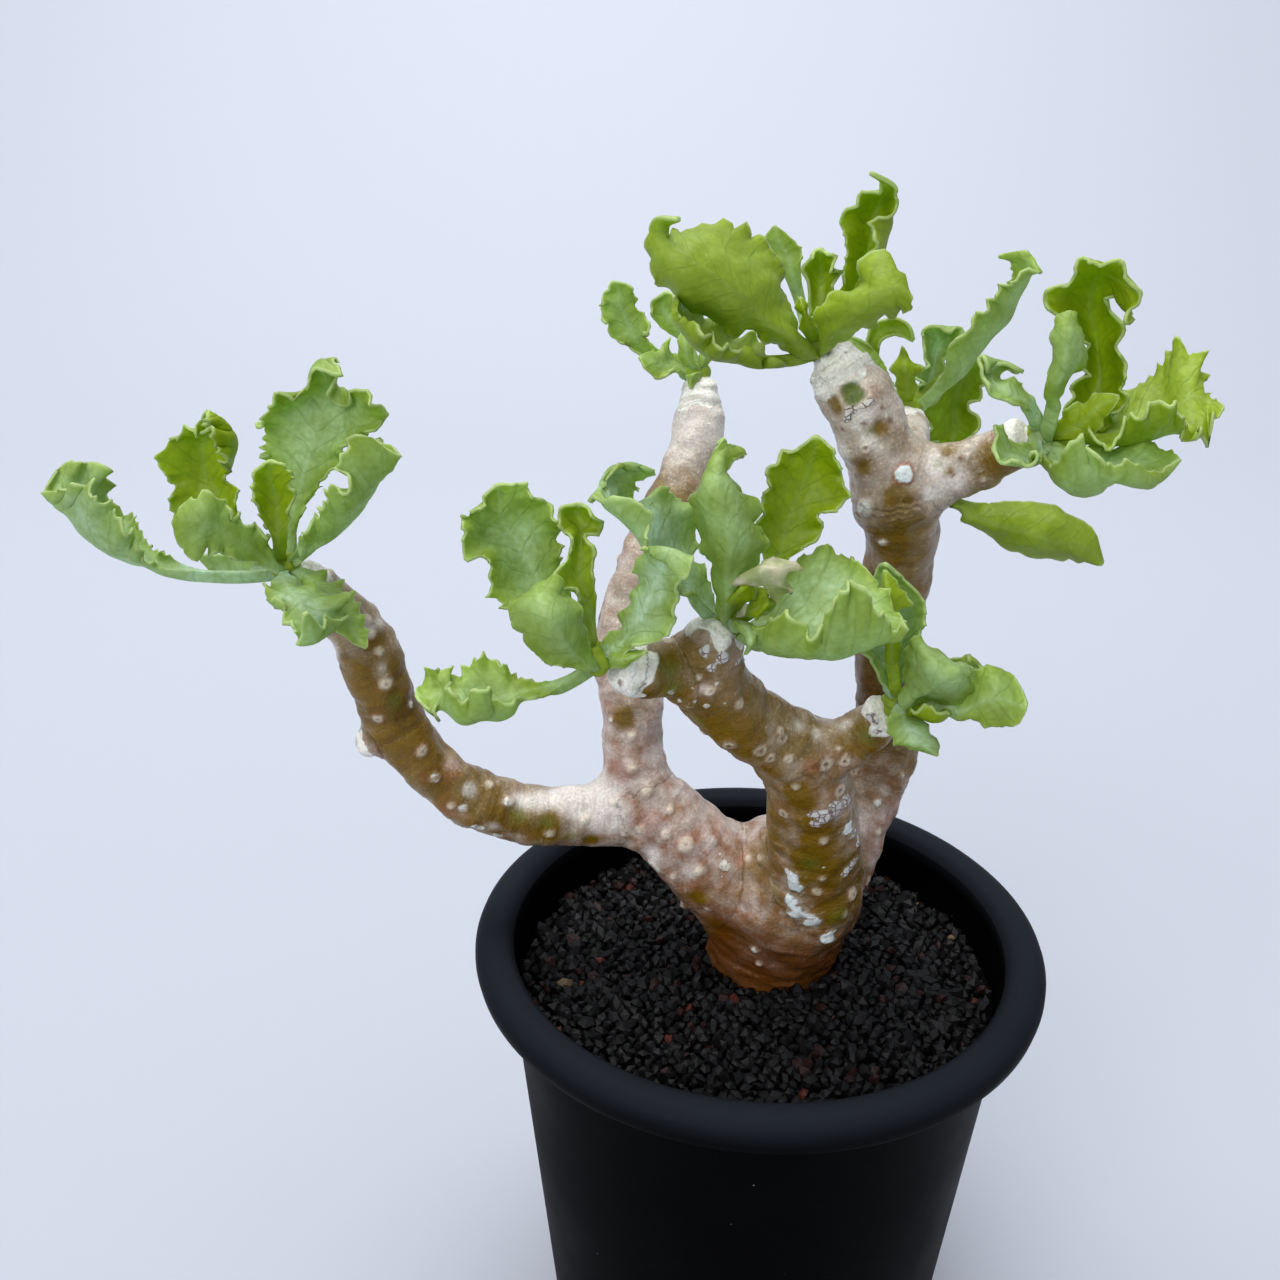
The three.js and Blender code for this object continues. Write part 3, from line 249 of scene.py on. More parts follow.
def apply_modifier(piece: bpy.types.Object, kind: str, **settings: object) -> None:
    """Adds a modifier to a piece and applies it.

    Args:
        piece: The piece.
        kind: The modifier's type, such as "SMOOTH".
        **settings: The modifier's own settings.
    """
    choose(piece)
    modifier = piece.modifiers.new(kind.title(), kind)
    for name, value in settings.items():
        setattr(modifier, name, value)
    bpy.ops.object.modifier_apply(modifier=modifier.name)


def hand_in(piece: bpy.types.Object, node: str) -> None:
    """Puts a finished piece in the place of its solid.

    Args:
        piece: The finished piece.
        node: The solid that it stands for.
    """
    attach(piece, "root")
    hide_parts(node)
    LOG.info("%s stands for %s: %d faces", piece.name, node, len(piece.data.polygons))


def steps_at(values: np.ndarray, low: float, high: float) -> np.ndarray:
    """0 below low, 1 above high, and a smooth rise between them."""
    share = np.clip((values - low) / (high - low), 0, 1)
    return share * share * (3 - 2 * share)


# Pot


@dataclass(frozen=True)
class MouldedPolypropylene:
    """Black polypropylene, injection moulded: dull satin.

    Handling and watering leave a thin uneven coat of pale dust and a few small pale specks. The
    wide grey-blue gleam on top of the rolled lip is painted into the colour: a painted sheen, the
    reflection of the pale sky, laid on as a thicker coat of the same grey.
    """

    body: str = "#020202"
    # The grey of the dust, and of the painted sheen on the lip.
    film_and_sheen: str = "#343841"
    speck: str = "#8f959e"
    roughness: float = 0.42
    shine: float = 0.015
    speck_mm: float = 3.2
    film_mm: float = 22.0
    grain_mm: float = 0.45
    sheen_from_z: float = 91.5
    sheen_to_z: float = 96.0

    def material(self) -> bpy.types.Material:
        """Makes the material.

        Returns:
            The material.
        """
        tree = new_tree("moulded_polypropylene")
        place = add_node(tree, "TexCoord").outputs["Object"]
        wide = {"Vector": place, "Scale": 1 / (self.film_mm * MM), "Detail": 4.0}
        film_and_sheen = add_node(tree, "TexNoise", wide)
        film_and_sheen = add_node(tree, "MapRange", {0: film_and_sheen, 1: 0.4, 2: 0.8})
        # From here up, the top of the rolled lip is lighter: a painted grey-blue sheen, with a little dust.
        lip = add_node(tree, "SeparateXYZ", {0: place}).outputs["Z"]
        low, high = self.sheen_from_z * MM, self.sheen_to_z * MM
        lip = add_node(tree, "MapRange", {0: lip, 1: low, 2: high, 3: 0.0, 4: 0.36})
        dust_and_painted_light = add_node(tree, "Math", {0: film_and_sheen, 1: 0.03, 2: lip}, operation="MULTIPLY_ADD")
        cell = {"Vector": place, "Scale": 1 / (self.speck_mm * MM), "Randomness": 1.0}
        cell = add_node(tree, "TexVoronoi", cell)
        chance = add_node(tree, "SeparateColor", {0: cell.outputs["Color"]})
        size = add_node(tree, "Math", {0: chance, 1: 0.22, 2: -0.145}, operation="MULTIPLY_ADD")
        dot = {0: size, 1: cell.outputs["Distance"]}
        dot = add_node(tree, "Math", dot, operation="SUBTRACT")
        dot = add_node(tree, "MapRange", {0: dot, 1: 0.0, 2: 0.05, 3: 0.0, 4: 0.4})
        colour = linear(self.body)
        for share, tint in ((dust_and_painted_light, self.film_and_sheen), (dot, self.speck)):
            values = {"Factor": share, 6: colour, 7: linear(tint)}
            colour = add_node(tree, "Mix", values, data_type="RGBA").outputs[2]
        dull = {0: film_and_sheen, 3: self.roughness, 4: self.roughness + 0.14}
        dull = add_node(tree, "MapRange", dull)
        fine = {"Vector": place, "Scale": 1 / (self.grain_mm * MM), "Detail": 2.0}
        fine = add_node(tree, "TexNoise", fine)
        bump = add_node(tree, "Bump", {"Strength": 0.12, "Distance": 0.2 * MM, "Height": fine})
        values = {"Base Color": colour, "Roughness": dull, "IOR": 1.49, "Normal": bump}
        values["Specular IOR Level"] = self.shine
        skin = add_node(tree, "BsdfPrincipled", values)
        add_node(tree, "OutputMaterial", {"Surface": skin})
        return bpy.data.materials["moulded_polypropylene"]


@dataclass(frozen=True)
class NurseryPot:
    """A round pot with a tapered wall, a thick rolled lip and a flat floor with drain holes."""

    height: float = 96
    rim_radius: float = 52.5
    rim_widest_z: float = 93
    lip_underside_z: float = 89.4
    neck_radius: float = 46.4
    foot_radius: float = 38
    wall: float = 1.4
    floor: float = 2.4
    drain_holes: int = 5
    drain_radius: float = 3.5
    drain_ring: float = 24
    sides: int = 180
    crease_degrees: float = 32

    def outer(self, z: float) -> float:
        """The radius of the outside of the wall at this height."""
        return self.foot_radius + (self.neck_radius - self.foot_radius) * z / self.lip_underside_z

    def profile(self) -> list[tuple[float, float]]:
        """Draws one half of the pot's section.

        Returns:
            Its corners as radius and height, from the middle of the base to that of the floor.
        """
        rim, top, inner = self.rim_radius, self.height, self.wall
        foot, lip, widest = self.foot_radius, self.lip_underside_z, self.rim_widest_z
        return [
            # The base and the outer wall.
            (0.0, 0.0), (foot - 1.6, 0.0), (foot - 0.6, 0.25), (foot, 1.0), (self.outer(2.2), 2.2),
            (self.outer(24), 24), (self.outer(46), 46), (self.outer(68), 68), (self.outer(87.6), 87.6),
            (self.neck_radius + 0.1, 88.8), (self.neck_radius + 0.8, lip),
            # The rolled lip.
            (rim - 2.4, lip), (rim - 1.1, lip + 0.35), (rim - 0.35, widest - 2.2), (rim, widest - 0.6),
            (rim - 0.05, widest + 0.5), (rim - 0.5, widest + 1.6), (rim - 1.4, top - 0.6),
            (rim - 2.6, top - 0.08), (rim - 3.9, top), (rim - 5.2, top - 0.25), (rim - 6.3, top - 0.9),
            (rim - 7.1, top - 2.1),
            # The inner wall and the floor.
            (self.outer(90) - inner + 0.3, 91.6), (self.outer(88) - inner, 88), (self.outer(70) - inner, 70),
            (self.outer(40) - inner, 40), (self.outer(6) - inner, 6),
            (self.outer(3) - inner - 0.3, self.floor + 0.5), (self.outer(3) - inner - 1.2, self.floor),
            (0.0, self.floor),
        ]

    def build(self, finish: MouldedPolypropylene) -> bpy.types.Object:
        """Models the pot: half its section is spun round and the drain holes are cut.

        Args:
            finish: What it is made of.

        Returns:
            The pot.
        """
        deselect_all()
        bpy.ops.mesh.primitive_circle_add(vertices=len(self.profile()), radius=0.01)
        pot = bpy.context.object
        set_points(pot, np.array([(r, 0, z) for r, z in self.profile()]))
        bpy.ops.object.mode_set(mode="EDIT")
        shape = bmesh.from_edit_mesh(pot.data)
        for edge in list(shape.edges):
            if all(v.co.x < 1e-6 for v in edge.verts):
                shape.edges.remove(edge)
        bmesh.update_edit_mesh(pot.data)
        bpy.ops.mesh.select_all(action="SELECT")
        bpy.ops.mesh.spin(steps=self.sides, angle=math.tau, center=(0, 0, 0), axis=(0, 0, 1))
        bpy.ops.mesh.select_all(action="SELECT")
        bpy.ops.mesh.remove_doubles(threshold=1e-6)
        bpy.ops.mesh.normals_make_consistent(inside=False)
        bpy.ops.object.mode_set(mode="OBJECT")
        for i in range(self.drain_holes):
            self.drill(pot, math.tau * i / self.drain_holes)
        pot.data.materials.append(finish.material())
        choose(pot)
        bpy.ops.object.shade_smooth_by_angle(angle=math.radians(self.crease_degrees))
        pot.name = "nursery_pot"
        return pot

    def drill(self, pot: bpy.types.Object, angle: float) -> None:
        """Cuts one drain hole through the floor.

        Args:
            pot: The pot.
            angle: Where the hole lies, as an angle round the middle.
        """
        place = (math.cos(angle) * self.drain_ring * MM, math.sin(angle) * self.drain_ring * MM, 0)
        deselect_all()
        radius, depth = self.drain_radius * MM, self.floor * 4 * MM
        bpy.ops.mesh.primitive_cylinder_add(vertices=32, radius=radius, depth=depth, location=place)
        cutter = bpy.context.object
        apply_modifier(pot, "BOOLEAN", object=cutter, operation="DIFFERENCE", solver="EXACT")
        bpy.data.objects.remove(cutter)


# Filling


@dataclass(frozen=True)
class CrushedLava:
    """Black lava, crushed and sieved: dull porous grains with sharp corners, a few of them rusty."""

    black: str = "#030303"
    grey: str = "#121114"
    rust: str = "#5a261c"
    tan: str = "#77644c"
    roughness: float = 0.5
    shine: float = 0.18
    pore_mm: float = 0.35

    def material(self) -> bpy.types.Material:
        """Makes the material, which reads each grain's own shade.

        Returns:
            The material.
        """
        tree = new_tree("crushed_lava")
        place = add_node(tree, "TexCoord").outputs["Object"]
        shade = add_node(tree, "Attribute", attribute_name="grain").outputs["Vector"]
        parts = add_node(tree, "SeparateXYZ", {0: shade})
        colour = linear(self.black)
        for part, tint in (("X", self.grey), ("Y", self.rust), ("Z", self.tan)):
            values = {"Factor": parts.outputs[part], 6: colour, 7: linear(tint)}
            colour = add_node(tree, "Mix", values, data_type="RGBA").outputs[2]
        pores = {"Vector": place, "Scale": 1 / (self.pore_mm * MM), "Detail": 3.0}
        pores = add_node(tree, "TexNoise", pores)
        bump = add_node(tree, "Bump", {"Strength": 0.5, "Distance": 0.12 * MM, "Height": pores})
        values = {"Base Color": colour, "Roughness": self.roughness, "Normal": bump}
        values["Specular IOR Level"] = self.shine
        skin = add_node(tree, "BsdfPrincipled", values)
        add_node(tree, "OutputMaterial", {"Surface": skin})
        return bpy.data.materials["crushed_lava"]


@dataclass(frozen=True)
class LavaFilling:
    """The filling: a solid bed with two layers of loose grains on it.

    sizes are the smallest and the largest grain, as shares of grain. layers are how far the two
    layers lie under top_z. rusty, reddish and sandy are the shares of the grains of that colour.
    """

    pot: NurseryPot
    top_z: float = 85.2
    gap: float = 0.3
    bed_depth: float = 2.2
    pitch: float = 2.1
    grain: float = 1.5
    sizes: tuple[float, float] = (0.6, 1.3)
    stem_at: tuple[float, float] = (4, 5.5)
    stem_radius: float = 12.2
    layers: tuple[float, float] = (1.5, 0.45)
    shake: float = 0.42
    rusty: float = 0.006
    reddish: float = 0.07
    sandy: float = 0.004
    kinds: int = 7
    seed: int = 17

    def build(self, finish: CrushedLava) -> bpy.types.Object:
        """Models the filling.

        Args:
            finish: What it is made of.

        Returns:
            The bed and its grains as one piece.
        """
        material = finish.material()
        bed = self.bed()
        loose = self.grains()
        for piece in (bed, loose):
            piece.data.materials.append(material)
        return join([bed, loose], "lava_filling")

    def bed(self) -> bpy.types.Object:
        """Models the bed: a tapered plug, whose flat top the grains hide.

        Returns:
            The bed.
        """
        low = self.pot.floor + self.gap
        foot = self.pot.outer(low) - self.pot.wall - self.gap
        head = self.pot.outer(self.top_z) - self.pot.wall - self.gap
        deselect_all()
        bpy.ops.mesh.primitive_cylinder_add(vertices=96, radius=0.01, depth=0.02, end_fill_type="TRIFAN")
        bed = bpy.context.object
        points = get_points(bed)
        top = points[:, 2] > 0
        rim = np.hypot(points[:, 0], points[:, 1]) > 1
        radius = np.where(rim, np.where(top, head, foot), 0)
        angle = np.arctan2(points[:, 1], points[:, 0])
        height = np.where(top, self.top_z - self.bed_depth, low)
        set_points(bed, np.stack([radius * np.cos(angle), radius * np.sin(angle), height], axis=1))
        set_attribute(bed, "grain", np.zeros((len(points), 3)))
        return bed

    def grains(self) -> bpy.types.Object:
        """Models the loose grains: a few kinds, each copied many times with its own turn and size.

        Returns:
            All the grains as one piece.
        """
        random = np.random.default_rng(self.seed)
        kinds = [self.one_grain(i) for i in range(self.kinds)]
        reach = self.pot.outer(self.top_z) - self.pot.wall - self.gap - 0.9
        points, faces, shades = [], [], []
        start = 0
        for layer, depth in enumerate(self.layers):
            for x, y in self.spots(random, reach, layer):
                size = self.grain * random.uniform(*self.sizes)
                corners, sides = kinds[random.integers(self.kinds)]
                turn = np.linalg.qr(random.normal(size=(3, 3)))[0]
                if np.linalg.det(turn) < 0:
                    turn[0] *= -1
                stretch = np.array([1.0, random.uniform(0.72, 1.0), random.uniform(0.6, 0.95)])
                z = self.top_z - depth + random.uniform(-0.45, 0.35) - 0.4 * (size - self.grain)
                points.append((corners * stretch * size) @ turn + (x, y, z))
                faces.append(sides + start)
                start += len(corners)
                shades.append(np.tile(self.shade(random), (len(corners), 1)))
        mesh = bpy.data.meshes.new("grains")
        mesh.from_pydata(np.concatenate(points) * MM, [], np.concatenate(faces).tolist())
        loose = bpy.data.objects.new("grains", mesh)
        bpy.context.collection.objects.link(loose)
        set_attribute(loose, "grain", np.concatenate(shades))
        return loose

    def spots(self, random: np.random.Generator, reach: float, layer: int) -> list[tuple[float, float]]:
        """Lays out one layer's grains: a shaken triangular grid, clear of the stem.

        Args:
            random: Draws how far each place is shaken.
            reach: How far out the layer goes.
            layer: The layer's number, from 0.

        Returns:
            The places of the grains.
        """
        found = []
        lines = int(reach / self.pitch) + 1
        for row in range(-lines, lines + 1):
            for column in range(-lines - 2, lines + 3):
                x = (column + 0.5 * ((row + layer) % 2)) * self.pitch
                x += random.uniform(-self.shake, self.shake)
                y = row * self.pitch * 0.9 + layer * 0.5 + random.uniform(-self.shake, self.shake)
                from_stem = math.hypot(x - self.stem_at[0], y - self.stem_at[1])
                if math.hypot(x, y) < reach and from_stem > self.stem_radius:
                    found.append((x, y))
        return found

    def one_grain(self, kind: int) -> tuple[np.ndarray, np.ndarray]:
        """Models one kind of grain.

        Args:
            kind: The kind's number, which sets its form.

        Returns:
            Its corners, about 1 from its middle, and its faces.
        """
        deselect_all()
        bpy.ops.mesh.primitive_ico_sphere_add(subdivisions=1, radius=MM)
        grain = bpy.context.object
        corners = get_points(grain)
        random = np.random.default_rng(100 + kind)
        corners *= random.uniform(0.72, 1.22, (len(corners), 1))
        faces = np.array([list(p.vertices) for p in grain.data.polygons])
        bpy.data.objects.remove(grain)
        return corners, faces

    def shade(self, random: np.random.Generator) -> np.ndarray:
        """Draws one grain's colour.

        Args:
            random: What draws it.

        Returns:
            Its shares of grey, rust and tan.
        """
        grey = random.uniform(0, 1) ** 3
        pick = random.uniform()
        rust = 0.6 if pick < self.rusty else 0.12 * (pick < self.reddish)
        return np.array([grey, rust, 0.7 if pick > 1 - self.sandy else 0])


# Stem


# Turns the noise in a mark's outline, so that it doesn't follow the mesh's own rows.
TILT = np.array(Matrix.Rotation(0.8, 3, (1, 2, 3)))
# What the bark is tinted with. The stem stores them by threes, as the parts of one vector.
TINTS = ("gold", "haze", "paper", "amber", "deep", "rust", "cream", "ring", "green", "flake", "pale", "crack")


@dataclass(frozen=True)
class CaudexBark:
    """Bark of a caudex: a thin smooth skin over green flesh, waxy, and peeling in white scraps.

    It gleams softly like wax. It is golden where the skin is thin, pinkish where it is older,
    hazed by a pale bloom that is painted paler on upward faces as top light, amber at the foot
    and papery white near the tips.
    """

    pink: str = "#95705c"
    # The pale bloom, which upward faces get more of as painted top light.
    bloom: str = "#e3dad8"
    gold: str = "#70540a"
    brown: str = "#3b2104"
    haze: str = "#b5aa92"
    amber: str = "#5c3104"
    paper: str = "#e9e6dd"
    skin: str = "#9a9880"
    scrap: str = "#c6c2be"
    cream: str = "#efe3cd"
    pale: str = "#dce3e3"
    rust: str = "#8c4a2c"
    ring: str = "#5e3a26"
    green: str = "#5c6a22"
    roughness: float = 0.31
    shine: float = 0.34
    cloud_mm: float = 7.0
    haze_mm: float = 3.0
    fleck_mm: float = 1.2
    grain_mm: float = 0.5
    crack_mm: float = 1.3

    def material(self) -> bpy.types.Material:
        """Makes the material, which reads the tints stored on the stem.

        Returns:
            The material.
        """
        tree = new_tree("caudex_bark")
        place = add_node(tree, "TexCoord").outputs["Object"]
        line = add_node(tree, "Attribute", attribute_name="line_mm").outputs["Vector"]
        rings = add_node(tree, "TexNoise", {"Vector": line, "Scale": 1.0, "Detail": 4.0})
        noises = {}
        for size in (self.cloud_mm, self.haze_mm, self.fleck_mm, self.grain_mm):
            values = {"Vector": place, "Scale": 1 / (size * MM), "Detail": 4.0}
            noises[size] = add_node(tree, "TexNoise", values)
        grain = noises[self.grain_mm]
        tints = {}
        for first in range(0, len(TINTS), 3):
            names = TINTS[first : first + 3]
            found = add_node(tree, "Attribute", attribute_name="_".join(names))
            parts = add_node(tree, "SeparateXYZ", {0: found.outputs["Vector"]})
            tints |= {name: parts.outputs[k] for name, k in zip(names, "XYZ")}

        # The edge of each tint is broken up by noise: how far, and how soft the edge is.
        edges = (
            ("gold", self.cloud_mm, 1.5, 0.42),
            ("haze", self.haze_mm, 1.6, 0.45),
            ("paper", self.fleck_mm, 1.0, 0.14),
            ("flake", self.fleck_mm, 1.3, 0.12),
            ("pale", self.fleck_mm, 1.3, 0.2),
        )
        for name, size, weight, soft in edges:
            middle = add_node(tree, "Math", {0: noises[size], 1: 0.5}, operation="SUBTRACT")
            moved = {0: middle, 1: weight, 2: tints[name]}
            moved = add_node(tree, "Math", moved, operation="MULTIPLY_ADD")
            tints[name] = add_node(tree, "MapRange", {0: moved, 1: 0.5 - soft, 2: 0.5 + soft})
        dark = add_node(tree, "MapRange", {0: rings, 1: 0.5, 2: 0.75, 3: 0.0, 4: 0.4})
        dust = add_node(tree, "MapRange", {0: grain, 1: 0.6, 2: 0.72, 3: 0.0, 4: 0.4})
        thin = add_node(tree, "MapRange", {0: rings, 1: 0.42, 2: 0.7, 3: 0.0, 4: 0.6})
        cell = {"Vector": place, "Scale": 1 / (self.crack_mm * MM)}
        cell = add_node(tree, "TexVoronoi", cell, feature="DISTANCE_TO_EDGE")
        split = add_node(tree, "MapRange", {0: cell, 1: 0.01, 2: 0.09, 3: 0.85, 4: 0.0})
        blends = (
            ("browned", dark, tints["gold"]),
            ("split", split, tints["flake"]),
            ("thin", thin, tints["paper"]),
            # The haze, and so the veil and the dust on it, is raised on upward faces as painted top light.
            ("veil", 0.34, tints["haze"]),
            ("dust_and_painted_light", dust, tints["haze"]),
        )
        for name, first, second in blends:
            tints[name] = add_node(tree, "Math", {0: first, 1: second}, operation="MULTIPLY")
        coats = (
            ("haze", self.bloom), ("gold", self.gold), ("browned", self.brown), ("deep", self.brown),
            ("veil", self.haze), ("dust_and_painted_light", self.cream), ("rust", self.rust), ("amber", self.amber),
            ("paper", self.paper), ("thin", self.skin), ("flake", self.scrap), ("pale", self.pale),
            ("cream", self.cream), ("green", self.green), ("ring", self.ring), ("split", self.ring),
            ("crack", self.brown),
        )
        colour = linear(self.pink)
        for name, tint in coats:
            values = {"Factor": tints[name], 6: colour, 7: linear(tint)}
            colour = add_node(tree, "Mix", values, data_type="RGBA").outputs[2]
        tone = add_node(tree, "MapRange", {0: grain, 1: 0.2, 2: 0.8, 3: 0.73, 4: 1.24})
        bands = add_node(tree, "MapRange", {0: rings, 1: 0.25, 2: 0.75, 3: 1.1, 4: 0.88})
        tone = add_node(tree, "Math", {0: tone, 1: bands}, operation="MULTIPLY")
        skin = add_node(tree, "VectorMath", {0: colour, 1: tone}, operation="MULTIPLY")
        relief = add_node(tree, "Math", {0: rings, 1: -1.6, 2: grain}, operation="MULTIPLY_ADD")
        for name, height in (("split", -1.6), ("flake", 0.9), ("paper", 0.7), ("pale", 0.6)):
            values = {0: tints[name], 1: height, 2: relief}
            relief = add_node(tree, "Math", values, operation="MULTIPLY_ADD")
        bump = add_node(tree, "Bump", {"Strength": 0.75, "Distance": 0.22 * MM, "Height": relief})
        dull = {0: tints["paper"], 3: self.roughness, 4: self.roughness + 0.2}
        dull = add_node(tree, "MapRange", dull)
        values = {"Base Color": skin, "Roughness": dull, "IOR": 1.45, "Normal": bump}
        values |= {"Subsurface Weight": 0.1, "Subsurface Scale": 1.4 * MM}
        values["Specular IOR Level"] = self.shine
        face = add_node(tree, "BsdfPrincipled", values)
        add_node(tree, "OutputMaterial", {"Surface": face})
        return bpy.data.materials["caudex_bark"]


@dataclass(frozen=True)
class Limb:
    """A limb: points on its centre line, each with the radius there, and how its bark looks.

    gold and haze are spread evenly from its root to its tip: the share of thin golden skin, and
    how much pale bloom hazes it. Gold above 1 is dark brown. paper is how far from a leafy tip
    the bark is white, in millimetres.
    """

    stations: tuple[Station, ...]
    gold: tuple[float, ...] = (0.5,)
    haze: tuple[float, ...] = (0.4,)
    paper: float = 0.0

    def line(self, step: float) -> np.ndarray:
        """Lays a smooth line through the points.

        Args:
            step: About how far apart the results are, in millimetres.

        Returns:
            Rows of x, y, z and radius, with a dome at each end.
        """
        knots = np.array(self.stations, float)
        ends = [2 * knots[0] - knots[1], 2 * knots[-1] - knots[-2]]
        padded = np.vstack([ends[0], knots, ends[1]])
        rows = []
        for i in range(len(knots) - 1):
            a, b, c, d = padded[i : i + 4, :3]
            gaps = [max(1e-3, np.linalg.norm(q - p)) ** 0.5 for p, q in ((a, b), (b, c), (c, d))]
            slope_b = ((b - a) / gaps[0] - (c - a) / (gaps[0] + gaps[1]) + (c - b) / gaps[1]) * gaps[1]
            slope_c = ((c - b) / gaps[1] - (d - b) / (gaps[1] + gaps[2]) + (d - c) / gaps[2]) * gaps[1]
            count = max(2, round(float(np.linalg.norm(c - b)) / step))
            for q in range(count):
                x = q / count
                spot = (2 * x**3 - 3 * x * x + 1) * b + (x**3 - 2 * x * x + x) * slope_b
                spot += (3 * x * x - 2 * x**3) * c + (x**3 - x * x) * slope_c
                rows.append([*spot, knots[i, 3] + (knots[i + 1, 3] - knots[i, 3]) * x])
        rows.append(list(knots[-1]))
        body = np.array(rows)
        start, stop = body[0], body[-1]
        back = unit(body[0, :3] - body[1, :3])
        ahead = unit(body[-1, :3] - body[-2, :3])
        domes = []
        for spot, way, order in ((start, back, -1), (stop, ahead, 1)):
            dome = [[*(spot[:3] + way * spot[3] * out), spot[3] * wide] for out, wide in DOME]
            domes.append(dome[::order])
        return np.vstack([domes[0], body, domes[1]])


@dataclass(frozen=True)
class MarkLook:
    """What a mark does to the bark.

    disc, middle and rim say which tints lie there, and how strong. lift and dip are in
    millimetres: how high the mark stands, and how deep its middle is sunk. middle_size is the
    middle's share of the radius, and ragged how uneven the outline is. A soft mark fades away.
    """

    lift: float = 0.0
    dip: float = 0.0
    disc: tuple[tuple[str, float], ...] = ()
    middle: tuple[tuple[str, float], ...] = ()
    rim: tuple[tuple[str, float], ...] = ()
    middle_size: float = 0.3
    ragged: float = 0.25
    soft: bool = False


class MarkKind(Enum):
    """The kinds of mark on the bark."""

    BUMP = MarkLook(0.55, 0.0, (("cream", 0.42),), (("cream", 0.6),), (("rust", 0.12),), 0.5)
    SCAR = MarkLook(0.45, 0.15, (("cream", 0.5),), (("ring", 0.5),), (("rust", 0.25),), 0.26)
    DARK_SCAR = MarkLook(0.4, 0.3, (("cream", 0.35),), (("ring", 0.95),), (("ring", 0.2),), 0.42)
    BUD = MarkLook(0.8, 0.15, (("pale", 0.95),), (("ring", 0.3),), (("rust", 0.7),), 0.14)
    SPOT = MarkLook(0.05, 0.15, (("ring", 0.85),))
    CRACK = MarkLook(0.3, 0.5, (("cream", 0.45),), (("crack", 0.95),), (("ring", 0.4),), 0.42)
    FLAKE = MarkLook(0.3, 0.0, (("flake", 0.95),), ragged=0.6)
    CHIP = MarkLook(0.1, 0.0, (("paper", 0.6),), ragged=0.9)
    # Small pale raised flecks: partly wax, partly painted highlights where the glossy bark catches the light.
    WAX = MarkLook(0.5, 0.0, (("cream", 0.3), ("pale", 0.5)), (), (("ring", 0.15),))
    PALE = MarkLook(0.4, 0.0, (("pale", 0.8),), (), (("haze", 0.6),), ragged=0.7)
    WOUND = MarkLook(-0.2, 0.0, (("green", 1.0),), (), (("cream", 0.5),))
    GOLD = MarkLook(disc=(("gold", 0.9), ("haze", -0.5)), soft=True)
    HAZE = MarkLook(disc=(("haze", 0.7), ("gold", -0.5)), soft=True)
    RUST = MarkLook(disc=(("rust", 0.5),), soft=True)
    OLIVE = MarkLook(disc=(("green", 0.55), ("haze", -0.3)), soft=True)


@dataclass(frozen=True)
class Mark:
    """A single mark on the bark: where it is, how wide it is, and what it is."""

    at: Point
    radius: float
    kind: MarkKind = MarkKind.SCAR

    def press(self, points: np.ndarray, lift: np.ndarray, tints: dict[str, np.ndarray]) -> None:
        """Raises or sinks the bark here, and tints it.

        Args:
            points: The stem's points in millimetres.
            lift: How far each point is raised, which is changed here.
            tints: The strength of each tint at each point, which is changed here.
        """
        look = self.kind.value
        gap = np.linalg.norm(points - np.array(self.at), axis=1)
        gap = np.linalg.norm(points - points[gap.argmin()], axis=1)
        here = np.nonzero(gap < self.radius * 2.6)[0]
        uneven = rough(points[here] @ TILT, 1.1 + 0.3 * self.radius, self.radius)
        x = gap[here] / self.radius * (1 + look.ragged * uneven)
        blur = 0.12 + 0.22 / self.radius
        disc = np.exp(-(x**2)) if look.soft else 1 - steps_at(x, 1 - blur, 1 + blur)
        middle = np.exp(-((x / look.middle_size) ** 4))
        rim = np.exp(-(((x - 1.25) / 0.22) ** 2))
        lift[here] += look.lift * self.radius**0.5 * np.exp(-((x / 1.1) ** 4)) - look.dip * middle
        for share, parts in ((disc, look.disc), (middle, look.middle), (rim, look.rim)):
            for name, strength in parts:
                old = tints[name][here]
                tints[name][here] = old + strength * share if look.soft else np.maximum(old, strength * share)


